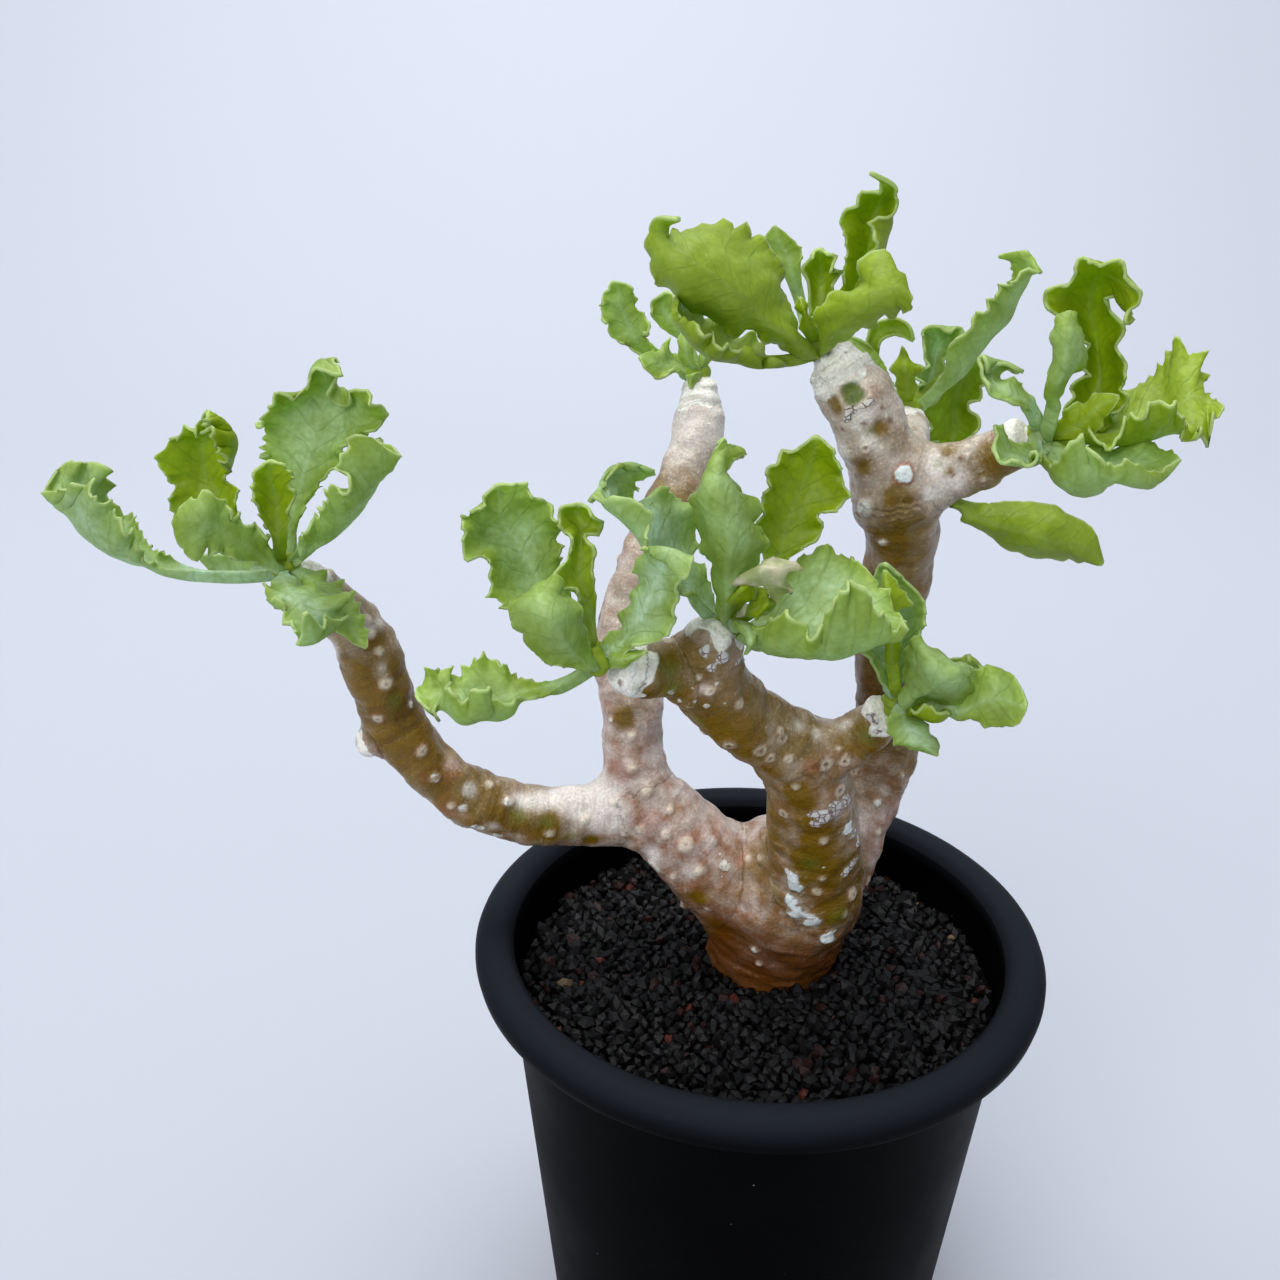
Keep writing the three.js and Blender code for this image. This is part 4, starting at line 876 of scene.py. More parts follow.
@dataclass(frozen=True)
class BranchingStem:
    """The whole stem: limbs grown together, with lumps, scars and peeling wax.

    fork_reach is how near two limbs' surfaces are where their fork is filled, and ring_gap about
    how far apart the rings round a limb are. spiral is the turn from one old leaf scar to the next.
    """

    limbs: tuple[Limb, ...]
    marks: tuple[Mark, ...]
    fineness: float = 0.52
    fork_reach: float = 4.0
    fork_swell: float = 0.9
    fork_rounds: int = 26
    ring_gap: float = 1.9
    spiral: float = 2.4
    # The height, the size and the seed of each set of lumps.
    lumps: tuple[Point, ...] = ((0.75, 8.0, 3.3), (0.5, 3.4, 9.1))
    soil_z: float = 88
    seed: int = 5

    def build(self, finish: CaudexBark) -> bpy.types.Object:
        """Models the stem: tubes are fused, rounded where they meet, and their bark is worked.

        Args:
            finish: What it is covered with.

        Returns:
            The stem.
        """
        tubes = [self.tube(limb) for limb in self.limbs]
        stem = join(tubes, "branching_stem")
        apply_modifier(stem, "REMESH", mode="VOXEL", voxel_size=self.fineness * MM, use_smooth_shade=True)
        self.fill_forks(stem)
        facts = self.near(get_points(stem))
        self.work_bark(stem, facts)
        stem.data.materials.clear()
        stem.data.materials.append(finish.material())
        choose(stem)
        bpy.ops.object.shade_smooth()
        return stem

    def tube(self, limb: Limb) -> bpy.types.Object:
        """Models one limb as a tube of changing radius.

        Args:
            limb: The limb's plan.

        Returns:
            The tube.
        """
        rows = limb.line(1.6)
        deselect_all()
        bpy.ops.curve.primitive_nurbs_path_add(radius=0.001)
        tube = bpy.context.object
        tube.data.splines.clear()
        path = tube.data.splines.new("POLY")
        path.points.add(len(rows) - 1)
        path.points.foreach_set("co", np.c_[rows[:, :3] * MM, np.ones(len(rows))].ravel())
        path.points.foreach_set("radius", rows[:, 3])
        tube.data.bevel_depth = MM
        tube.data.bevel_resolution = 8
        tube.data.use_fill_caps = True
        tube.matrix_world = Matrix.Identity(4)
        bpy.ops.object.convert(target="MESH")
        return bpy.context.object

    def near(self, points: np.ndarray) -> dict[str, np.ndarray]:
        """Finds what each point lies on.

        Args:
            points: Points in millimetres.

        Returns:
            For each point the height above the two nearest limbs' surfaces, the way along the
            nearest, and the shares of gold, haze and paper.
        """
        best = np.full(len(points), 1e9)
        second = np.full(len(points), 1e9)
        run = np.zeros(len(points))
        paper = np.zeros(len(points))
        sums = np.zeros((3, len(points)))
        ragged = 1.5 * rough(points, 2.6, 7.7)
        for limb in self.limbs:
            rows = limb.line(1.2)
            tree = KDTree(len(rows))
            for i, row in enumerate(rows):
                tree.insert(row[:3], i)
            tree.balance()
            index = np.array([tree.find(p)[1] for p in points.tolist()])
            centre = rows[index]
            gap = np.linalg.norm(points - centre[:, :3], axis=1) - centre[:, 3]
            lengths = np.r_[0, np.cumsum(np.linalg.norm(np.diff(rows[:, :3], axis=0), axis=1))]
            closer = gap < best
            second = np.where(closer, best, np.minimum(second, gap))
            run = np.where(closer, lengths[index], run)
            best = np.minimum(best, gap)
            share = lengths[index] / lengths[-1]
            weight = np.exp(-np.clip(gap, -2, 30) / 1.2)
            for k, column in enumerate((limb.gold, limb.haze)):
                sums[k] += weight * np.interp(share, np.linspace(0, 1, len(column)), column)
            sums[2] += weight
            if limb.paper:
                end_gap = np.linalg.norm(points - np.array(limb.stations[-1][:3]), axis=1) + ragged
                white = 1 - steps_at(end_gap, 0.8 * limb.paper, limb.paper)
                paper = np.maximum(paper, white * (gap < 1.5))
        gold, haze = sums[0] / sums[2], sums[1] / sums[2]
        return {"best": best, "second": second, "run": run, "gold": gold, "haze": haze, "paper": paper}

    def fill_forks(self, stem: bpy.types.Object) -> None:
        """Rounds the creases where limbs meet, as growing wood does.

        Args:
            stem: The fused stem.
        """
        points = get_points(stem)
        facts = self.near(points)
        close = np.clip(1 - (facts["second"] - facts["best"]) / self.fork_reach, 0, 1)
        points += get_normals(stem) * (close**2 * self.fork_swell)[:, None]
        set_points(stem, points)
        group = stem.vertex_groups.new(name="fork")
        for i in np.nonzero(close > 0.02)[0].tolist():
            group.add([i], float(min(1, close[i] * 2)), "REPLACE")
        apply_modifier(stem, "SMOOTH", factor=0.5, iterations=self.fork_rounds, vertex_group="fork")
        stem.vertex_groups.clear()
        apply_modifier(stem, "SMOOTH", factor=0.5, iterations=3)

    def work_bark(self, stem: bpy.types.Object, facts: dict[str, np.ndarray]) -> None:
        """Raises the lumps, rings and scars, and stores the tints for the finish.

        Args:
            stem: The fused stem.
            facts: What near found for its points.
        """
        points = get_points(stem)
        normals = get_normals(stem)
        low = steps_at(-points[:, 2], -self.soil_z - 16, -self.soil_z)
        lumps = sum(high * rough(points, size, seed) for high, size, seed in self.lumps)
        stretched = np.stack([facts["run"] / self.ring_gap, 0.16 * points[:, 0], 0.16 * points[:, 1]], axis=1)
        rings = rough(stretched, 1.0, 4.4)
        lift = lumps + rings * (0.26 + 0.45 * facts["paper"] + 0.5 * low)
        tints = {name: np.zeros(len(points)) for name in TINTS}
        tints["paper"] = facts["paper"]
        tints["gold"] = np.minimum(facts["gold"], 1)
        # Upward faces get more of the pale bloom: painted top light, added to each limb's own bloom.
        tints["haze"] = facts["haze"] + 0.3 * np.clip(normals[:, 2], 0, 1)
        tints["deep"] = 0.9 * steps_at(facts["gold"], 1.0, 1.4)
        height = points[:, 2] + 5 * rough(points, 7.0, 2.2)
        tints["amber"] = 0.92 * steps_at(-height, -self.soil_z - 14, -self.soil_z - 4)
        for mark in self.marks + self.scattered_scars():
            mark.press(points, lift, tints)
        set_points(stem, points + normals * lift[:, None])
        for first in range(0, len(TINTS), 3):
            names = TINTS[first : first + 3]
            set_attribute(stem, "_".join(names), np.stack([tints[name] for name in names], axis=1))
        line = np.stack([facts["run"] / 1.1, 0.12 * points[:, 0], 0.12 * points[:, 1]], axis=1)
        set_attribute(stem, "line_mm", line)

    def scattered_scars(self) -> tuple[Mark, ...]:
        """Scatters the old leaf scars at the back, which climb each limb in a spiral.

        Returns:
            The scars.
        """
        random = np.random.default_rng(self.seed)
        found = []
        for limb in self.limbs[1:]:
            rows = limb.line(1.0)
            turn = random.uniform(0, math.tau)
            for i in range(4, len(rows) - 4, 3):
                turn += self.spiral + random.uniform(-0.3, 0.3)
                along = unit(rows[i + 1, :3] - rows[i - 1, :3])
                side = unit(np.cross(along, (0.31, 0.9, 0.2)))
                up = np.cross(along, side)
                spot = rows[i, :3] + rows[i, 3] * (side * math.cos(turn) + up * math.sin(turn))
                kind = (MarkKind.BUMP, MarkKind.SCAR, MarkKind.DARK_SCAR)[random.integers(3)]
                if random.uniform() < 0.8 and spot[1] > rows[i, 1]:
                    found.append(Mark(tuple(spot), random.uniform(0.4, 1.1), kind))
        return tuple(found)


# Leaves


class LeafSort(Enum):
    """How a leaf looks: its value is how yellow, how bloomed and how dry it is, from 0 to 1."""

    GROWN = (0.35, 0.5, 0.0)
    MELLOW = (0.5, 0.4, 0.0)
    BLOOMED = (0.1, 1.0, 0.0)
    SUNLIT = (0.85, 0.06, 0.0)
    YOUNG = (1.0, 0.0, 0.0)
    DRY = (0.4, 0.7, 1.0)


@dataclass(frozen=True)
class LeafFinish:
    """Fresh succulent leaf: a thin fleshy blade under a dusting of wax.

    The wax gives a dull blue-green bloom along the middle of the blade and a wide soft gleam.
    It wears off towards the edge, where the flesh is yellow-green. The flesh lets light through,
    so that it glows where the light is behind it. The edge itself is bare and pale, and the veins
    are faint lines, a little darker than the flesh between them.
    """

    flesh: str = "#a3c040"
    sunlit: str = "#9db312"
    bloom: str = "#c3dcc9"
    under: str = "#a3bf68"
    edge: str = "#d3e4a2"
    dry: str = "#efe0cb"
    vein: str = "#517714"
    rib: str = "#cbe2ae"
    glow: str = "#b4dc08"
    roughness: float = 0.44
    vein_gap_mm: float = 3.6
    net_mm: float = 2.6
    mottle_mm: float = 5.0
    grain_mm: float = 0.8

    def material(self, name: str, upper: bool) -> bpy.types.Material:
        """Makes the material of one side of the leaves.

        Args:
            name: The material's name.
            upper: True for the upper side, which has the thick bloom.

        Returns:
            The material.
        """
        tree = new_tree(name)
        place = add_node(tree, "TexCoord").outputs["Object"]
        blade = add_node(tree, "Attribute", attribute_name="blade_mm").outputs["Vector"]
        sort = add_node(tree, "Attribute", attribute_name="sort").outputs["Vector"]
        spot = add_node(tree, "SeparateXYZ", {0: blade})
        kind = add_node(tree, "SeparateXYZ", {0: sort})
        away = add_node(tree, "Math", {0: spot.outputs["X"]}, operation="ABSOLUTE")
        wide = {"Vector": place, "Scale": 1 / (self.mottle_mm * MM), "Detail": 4.0}
        cloud = add_node(tree, "TexNoise", wide)
        close = {"Vector": place, "Scale": 1 / (self.grain_mm * MM), "Detail": 3.0}
        grain = add_node(tree, "TexNoise", close)

        bow = add_node(tree, "Math", {0: away, 1: 0.028, 2: -0.85}, operation="MULTIPLY_ADD")
        climb = {0: away, 1: bow, 2: spot.outputs["Y"]}
        climb = add_node(tree, "Math", climb, operation="MULTIPLY_ADD")
        swerve = add_node(tree, "Math", {0: cloud, 1: 3.0, 2: climb}, operation="MULTIPLY_ADD")
        beat = add_node(tree, "Math", {0: swerve, 1: self.vein_gap_mm / 2}, operation="PINGPONG")
        vein = add_node(tree, "MapRange", {0: beat, 1: 0.02, 2: 0.36, 3: 0.8, 4: 0.0})
        bent = add_node(tree, "Math", {0: cloud, 1: 0.0016}, operation="MULTIPLY")
        bent = add_node(tree, "VectorMath", {0: place, 1: bent}, operation="ADD")
        net = {"Vector": bent, "Scale": 1 / (self.net_mm * MM)}
        net = add_node(tree, "TexVoronoi", net, feature="DISTANCE_TO_EDGE")
        net = add_node(tree, "MapRange", {0: net, 1: 0.0, 2: 0.2, 3: 0.45, 4: 0.0})
        vein = add_node(tree, "Math", {0: vein, 1: net}, operation="MAXIMUM")
        # Each ramp reads one thing, from where to where, and gives one share there and one beyond.
        ramps = {
            "inner": (spot.outputs["Z"], 0.4, 6.0, 0.2, 1.1),
            "thick": (cloud, 0.38, 0.68, 1.0, 0.55),
            "worn": (cloud, 0.36, 0.66, 0.0, 0.75),
            "rib": (kind.outputs["Y"], 0.0, 1.0, 0.1 if upper else 0.05, 0.4 if upper else 0.2),
            "rim": (spot.outputs["Z"], 0.06, 0.42, 0.62, 0.0),
            "powder": (grain, 0.3, 0.7, 0.75, 1.15),
            "papery": (cloud, 0.42, 0.58, 1.0, 0.4),
            "grainy": (grain, 0.0, 1.0, 0.8, 1.18),
            "broad": (cloud, 0.3, 0.7, 1.14, 0.84),
        }
        shares = {}
        for part, values in ramps.items():
            shares[part] = add_node(tree, "MapRange", dict(enumerate(values)))
        rib = add_node(tree, "MapRange", {0: away, 1: 0.08, 2: 0.7, 3: shares["rib"], 4: 0.0})
        wax = shares["inner"]
        for factor in (shares["thick"], kind.outputs["Y"], shares["powder"], 0.95 if upper else 0.7):
            wax = add_node(tree, "Math", {0: wax, 1: factor}, operation="MULTIPLY")
        line = add_node(tree, "Math", {0: vein, 1: 0.42 if upper else 0.34}, operation="MULTIPLY")
        dried = {0: kind.outputs["Z"], 1: shares["papery"]}
        dried = add_node(tree, "Math", dried, operation="MULTIPLY")

        colour = linear(self.flesh if upper else self.under)
        coats = (
            (kind.outputs["X"], self.sunlit),
            (shares["worn"], self.sunlit),
            (wax, self.bloom),
            (line, self.vein),
            (rib, self.rib),
            (shares["rim"], self.edge),
            (dried, self.dry),
        )
        for share, tint in coats:
            values = {"Factor": share, 6: colour, 7: linear(tint)}
            colour = add_node(tree, "Mix", values, data_type="RGBA").outputs[2]
        tone = {0: shares["grainy"], 1: shares["broad"]}
        tone = add_node(tree, "Math", tone, operation="MULTIPLY")
        skin = add_node(tree, "VectorMath", {0: colour, 1: tone}, operation="MULTIPLY")
        relief = {0: vein, 1: -0.7 if upper else 0.5, 2: grain}
        relief = add_node(tree, "Math", relief, operation="MULTIPLY_ADD")
        bump = add_node(tree, "Bump", {"Strength": 0.6, "Distance": 0.2 * MM, "Height": relief})
        values = {"Base Color": skin, "Roughness": self.roughness, "IOR": 1.42, "Normal": bump}
        face = add_node(tree, "BsdfPrincipled", values)
        values = {"Factor": 0.5, 6: skin, 7: linear(self.glow)}
        glow = add_node(tree, "Mix", values, data_type="RGBA").outputs[2]
        through = add_node(tree, "BsdfTranslucent", {"Color": glow})
        mixed = add_node(tree, "MixShader", {0: 0.4, 1: face, 2: through})
        add_node(tree, "OutputMaterial", {"Surface": mixed})
        return bpy.data.materials[name]


# The spacings in millimetres of the points along and across a leaf, and of its teeth and waves.
ALONG = 0.46
ACROSS = 1.5
TOOTH_PITCH = 2.3
WAVE_PITCH = 5.6
# The thickness of a stalk in millimetres, and the blade's and its midrib's as shares of it.
STALK_THICKNESS = 2.4
BLADE_SHARE = 0.27
MIDRIB_SHARE = 0.34


class Sheet:
    """A leaf's upper surface as smooth curves through five columns of points.

    The columns are the left edge, a line between it and the midrib, the midrib, and the same on
    the right. s is the place across, from -1 to 1, and t the place along, from 0 to 1.
    """

    def __init__(self, columns: np.ndarray, stem_rows: int) -> None:
        """Works out the slopes of the curves and tables of their lengths.

        Args:
            columns: For each row from the root to the tip, its five points.
            stem_rows: How many of the first rows are on the leaf's stalk.
        """
        self.points = columns
        steps = np.linalg.norm(np.diff(columns[:, 2], axis=0), axis=1)
        self.knots = np.r_[0, np.cumsum(steps)]
        speed = np.diff(columns, axis=0) / steps[:, None, None]
        share = (steps[:-1] / (steps[:-1] + steps[1:]))[:, None, None]
        inner = speed[:-1] * (1 - share) + speed[1:] * share
        self.slopes = np.concatenate([speed[:1], inner, speed[-1:]])
        self.length = float(self.knots[-1])
        self.stalk = float(self.knots[stem_rows - 1]) / self.length
        self.table = np.linspace(0, 1, 300)
        curves = self.along(self.table)
        gaps = np.linalg.norm(np.diff(curves, axis=1), axis=2)
        self.reach = (gaps[:, 0] + gaps[:, 1], gaps[:, 2] + gaps[:, 3])
        runs = np.linalg.norm(np.diff(curves, axis=0), axis=2)
        self.edge_runs = tuple(np.r_[0, np.cumsum(runs[:, k])] for k in (0, 4))

    def along(self, t: np.ndarray) -> np.ndarray:
        """Reads the five columns.

        Args:
            t: Places along, from 0 to 1.

        Returns:
            The columns' five points at each place.
        """
        where = np.clip(t, 0, 1) * self.length
        k = np.clip(np.searchsorted(self.knots, where, "right") - 1, 0, len(self.knots) - 2)
        span = (self.knots[k + 1] - self.knots[k])[:, None, None]
        f = (where - self.knots[k])[:, None, None] / span
        start = (1 + 2 * f) * (1 - f) ** 2 * self.points[k] + f * f * (3 - 2 * f) * self.points[k + 1]
        pull = f * (1 - f) ** 2 * self.slopes[k] + f * f * (f - 1) * self.slopes[k + 1]
        return start + span * pull

    def at(self, s: np.ndarray, t: np.ndarray) -> np.ndarray:
        """Reads the surface.

        Args:
            s: Places across, from -1 to 1.
            t: Places along, from 0 to 1.

        Returns:
            The surface's point at each place.
        """
        row = self.along(t)
        lean = np.empty_like(row)
        lean[:, 0] = -1.5 * row[:, 0] + 2 * row[:, 1] - 0.5 * row[:, 2]
        lean[:, 1:4] = (row[:, 2:] - row[:, :3]) / 2
        lean[:, 4] = 1.5 * row[:, 4] - 2 * row[:, 3] + 0.5 * row[:, 2]
        place = np.clip((s + 1) * 2, 0, 4)
        j = np.clip(place.astype(int), 0, 3)
        f = (place - j)[:, None]
        n = np.arange(len(s))
        start = (1 + 2 * f) * (1 - f) ** 2 * row[n, j] + f * f * (3 - 2 * f) * row[n, j + 1]
        return start + f * (1 - f) ** 2 * lean[n, j] + f * f * (f - 1) * lean[n, j + 1]

    def beside(self, s: np.ndarray, t: np.ndarray, pair: tuple[np.ndarray, ...]) -> np.ndarray:
        """Reads the left or the right one of two tables at each place."""
        left, right = (np.interp(t, self.table, column) for column in pair)
        return np.where(s > 0, right, left)


@dataclass(frozen=True)
class Leaf:
    """One leaf, measured from its branch end.

    stalk holds the points that its stalk passes through, and each row the left edge, the midrib
    and the right edge, or five points where an edge curls over. frill is the height of the short
    waves at its edge, tooth the depth of the bays between its teeth and half_stalk half the
    width of its stalk.
    """

    stalk: tuple[Point, ...]
    rows: tuple[Row, ...]
    tip: Point
    frill: float = 0.8
    tooth: float = 0.8
    sort: LeafSort = LeafSort.GROWN
    half_stalk: float = 1.0

    def sheet(self, end: Point) -> Sheet:
        """Lays the leaf's upper surface through its points.

        Args:
            end: The branch end that it grows from.

        Returns:
            The surface.
        """
        places = np.array([-1, -0.5, 0, 0.5, 1])[:, None]
        blade = np.array([self.across(row) for row in self.rows])
        sides = unit(blade[:, 4] - blade[:, 0])
        stem = np.array([(0, 0, 0), *self.stalk], float)
        stem_rows = stem[:, None] + sides[0] * places * self.half_stalk
        tip_row = np.array(self.tip, float) + sides[-1] * places * 0.3
        columns = np.concatenate([stem_rows, blade, tip_row[None]]) + np.array(end, float)
        return Sheet(columns, len(stem))

    def across(self, row: Row) -> list[np.ndarray]:
        """Fills in a row. A point that isn't given stands between its neighbours.

        Args:
            row: Three points, or five where one of them may be missing.

        Returns:
            The five points of the row.
        """
        if len(row) == 3:
            left, rib, right = (np.array(p, float) for p in row)
            first = 0.75 * rib + 0.375 * left - 0.125 * right
            return [left, first, rib, 0.75 * rib + 0.375 * right - 0.125 * left, right]
        left, first, rib, second, right = (np.array(p, float) if p else None for p in row)
        first = (left + rib) / 2 if first is None else first
        return [left, first, rib, (right + rib) / 2 if second is None else second, right]

    def build(self, end: Point, seed: int, finishes: list[bpy.types.Material]) -> bpy.types.Object:
        """Models the leaf: a grid laid on its surface and given the blade's thickness.

        Args:
            end: The branch end that it grows from.
            seed: A number of its own, for its teeth and ruffles.
            finishes: The materials of its upper side, under side and edge.

        Returns:
            The leaf.
        """
        sheet = self.sheet(end)
        edge = max(float(run[-1]) for run in sheet.edge_runs)
        width = float((sheet.reach[0] + sheet.reach[1]).max())
        rows = int(np.clip(edge / ALONG, 24, 150))
        columns = 2 * int(np.clip(width / ACROSS, 6, 14))
        deselect_all()
        bpy.ops.mesh.primitive_grid_add(x_subdivisions=columns, y_subdivisions=rows, size=1)
        blade = bpy.context.object
        grid = get_points(blade) * MM
        s = np.clip(grid[:, 0] * 2, -1, 1)
        t = np.clip(grid[:, 1] + 0.5, 0, 1)
        s = np.sign(s) * (1 - (1 - np.abs(s)) ** 1.3)
        points, facts, grown = self.surface(sheet, s, t, seed)
        set_points(blade, points)
        set_attribute(blade, "blade_mm", facts)
        set_attribute(blade, "sort", np.tile(np.array(self.sort.value, float), (len(s), 1)))
        for finish in finishes:
            blade.data.materials.append(finish)
        thick = blade.vertex_groups.new(name="thick")
        rib = np.exp(-((facts[:, 0] / 0.9) ** 2)) * (1 - t)
        leafy = BLADE_SHARE + MIDRIB_SHARE * rib - 0.08 * np.abs(s) ** 6
        round_ish = np.sqrt(np.clip(1 - 0.97 * s * s, 0, 1)) * 0.85
        shares = np.clip(round_ish * (1 - grown) + leafy * grown, 0.05, 1)
        for i, share in enumerate(shares.tolist()):
            thick.add([i], share, "REPLACE")
        apply_modifier(
            blade,
            "SOLIDIFY",
            thickness=STALK_THICKNESS * MM,
            offset=-1,
            vertex_group="thick",
            material_offset=1,
            material_offset_rim=2,
        )
        blade.vertex_groups.clear()
        bpy.ops.object.shade_smooth()
        return blade

    def beats(self, sheet: Sheet, seed: float) -> tuple[np.ndarray, ...]:
        """Lays out the teeth and waves of one edge, none of them like the next.

        Args:
            sheet: The leaf's smooth surface.
            seed: The number that sets them.

        Returns:
            Places along the edge in millimetres, and there the count of teeth so far, how bold
            the teeth are, and how high the edge waves.
        """
        table = np.arange(0, max(float(run[-1]) for run in sheet.edge_runs) + 0.4, 0.2)
        pitch = TOOTH_PITCH * np.exp(1.2 * wander(table * 0.22, seed))
        beat = np.cumsum(0.2 / pitch) + seed
        bold = np.clip(1 + 1.5 * wander(np.floor(beat) * 1.7, seed + 7.5), 0.2, 1.9)
        bold = np.convolve(np.pad(bold, 2, "edge"), np.ones(5) / 5, "valid")
        turn = np.cumsum(0.2 / (WAVE_PITCH * np.exp(1.1 * wander(table * 0.12, seed + 3.5))))
        high = np.clip(0.9 + 1.4 * wander(table * 0.2, seed + 5.5), 0.1, 2.0)
        wave = high * (np.sin(math.tau * turn) + 0.26 * np.sin(math.tau * (2.2 * turn + seed)))
        return table, beat, bold, wave

    def surface(self, sheet: Sheet, s: np.ndarray, t: np.ndarray, seed: int) -> tuple[np.ndarray, ...]:
        """Finds points on the upper side, with its teeth and ruffles.

        Args:
            sheet: The leaf's smooth surface.
            s: How far across each point is, from -1 to 1.
            t: How far along each point is, from 0 to 1.
            seed: The number that sets the teeth and ruffles.

        Returns:
            The points, for each the distance across, along and to the edge, and how far it is
            from the stalk, from 0 to 1.
        """
        small = 0.004
        over = unit(sheet.at(s + small, t) - sheet.at(s - small, t))
        along = unit(sheet.at(s, t + small) - sheet.at(s, t - small))
        up = unit(np.cross(over, along))
        size = np.abs(s)
        grown = steps_at(t, sheet.stalk, sheet.stalk + 0.16)
        arc = sheet.beside(s, t, sheet.edge_runs)
        edges = [self.beats(sheet, seed + shift) for shift in (0, 30.5)]
        left, right = (np.stack([np.interp(arc, table, row) for row in rows]) for table, *rows in edges)
        beat, bold, wave = np.where(s > 0, right, left)
        # The edge is cut into round bays with a nick in each, and further in where a lobe ends.
        bay = np.abs(np.sin(np.pi * beat)) ** 0.7
        nick = np.abs(np.sin(np.pi * (2.3 * beat + 0.3))) ** 0.9
        reach = sheet.beside(s, t, sheet.reach)
        outer = np.exp(-reach * (1 - size) / np.minimum(1.7, 0.25 * reach))
        near_tip = steps_at(1 - t, 0.0, 0.06)
        lobe = np.sin(np.pi * (0.38 * beat + 0.2)) ** 2
        cut = self.tooth * bold * (0.95 * bay + 0.25 * nick + 0.4 * lobe - 0.75) * outer
        spots = np.stack([reach * s, arc, 0 * arc], axis=1)
        # The edge waves up and down, and the blade swells a little all over.
        waves = 1.15 * wave * outer + 1.5 * size**2 * rough(spots, 9.0, seed * 1.3)
        rise = self.frill * waves + 0.4 * self.tooth * bold * (0.5 - bay) * outer**2
        rise += 0.35 * rough(spots, 3.4, seed * 1.7) + 0.5 * rough(spots, 7.0, seed * 2.1)
        # The stalk, the very tip and narrow places stay plain.
        free = grown * near_tip * steps_at(reach, 0.8, 4.2)
        cut, rise = cut * free, rise * free
        points = sheet.at(s, t) - over * (np.sign(s) * cut)[:, None] + up * rise[:, None]
        to_edge = np.minimum(reach * (1 - size), (1 - t) * sheet.length * 0.7)
        facts = np.stack([reach * s, t * sheet.length, to_edge + 6 * (1 - grown)], axis=1)
        return points, facts, grown


@dataclass(frozen=True)
class LeafyHead:
    """A tuft of leaves at a branch end, which grow from one small bud."""

    node: str
    end: Point
    leaves: tuple[Leaf, ...]
    bud_radius: float = 2.5

    def build(self, number: int, finishes: list[bpy.types.Material]) -> bpy.types.Object:
        """Models the tuft.

        Args:
            number: The tuft's own number, for its seeds.
            finishes: The materials of a leaf's upper side, under side and edge.

        Returns:
            The tuft as one piece.
        """
        pieces = []
        for place, leaf in enumerate(self.leaves):
            pieces.append(leaf.build(self.end, 10 * number + place + 1, finishes))
        if self.bud_radius:
            pieces.append(self.bud(number, finishes))
        # A piece may not have its solid's own name.
        return join(pieces, self.node.replace("head", "leaves").replace("leaf", "blade"))

    def bud(self, number: int, finishes: list[bpy.types.Material]) -> bpy.types.Object:
        """Models the short green end that the leaf stalks meet in.

        Args:
            number: The tuft's own number.
            finishes: The materials of a leaf's upper side, under side and edge.

        Returns:
            The bud.
        """
        deselect_all()
        centre = Vector(self.end) * MM
        bpy.ops.mesh.primitive_ico_sphere_add(subdivisions=4, radius=self.bud_radius * MM, location=centre)
        bud = bpy.context.object
        bpy.ops.object.transform_apply(location=True, rotation=False, scale=False)
        points = get_points(bud)
        points += get_normals(bud) * (0.9 * rough(points, 2.1, number))[:, None]
        set_points(bud, points)
        for finish in finishes:
            bud.data.materials.append(finish)
        # It looks like a blade at 3 mm from the midrib and from the edge.
        set_attribute(bud, "blade_mm", np.tile(np.array([3.0, 0.0, 3.0]), (len(points), 1)))
        set_attribute(bud, "sort", np.tile(np.array(LeafSort.SUNLIT.value), (len(points), 1)))
        bpy.ops.object.shade_smooth()
        return bud


# Plans


POT = NurseryPot()

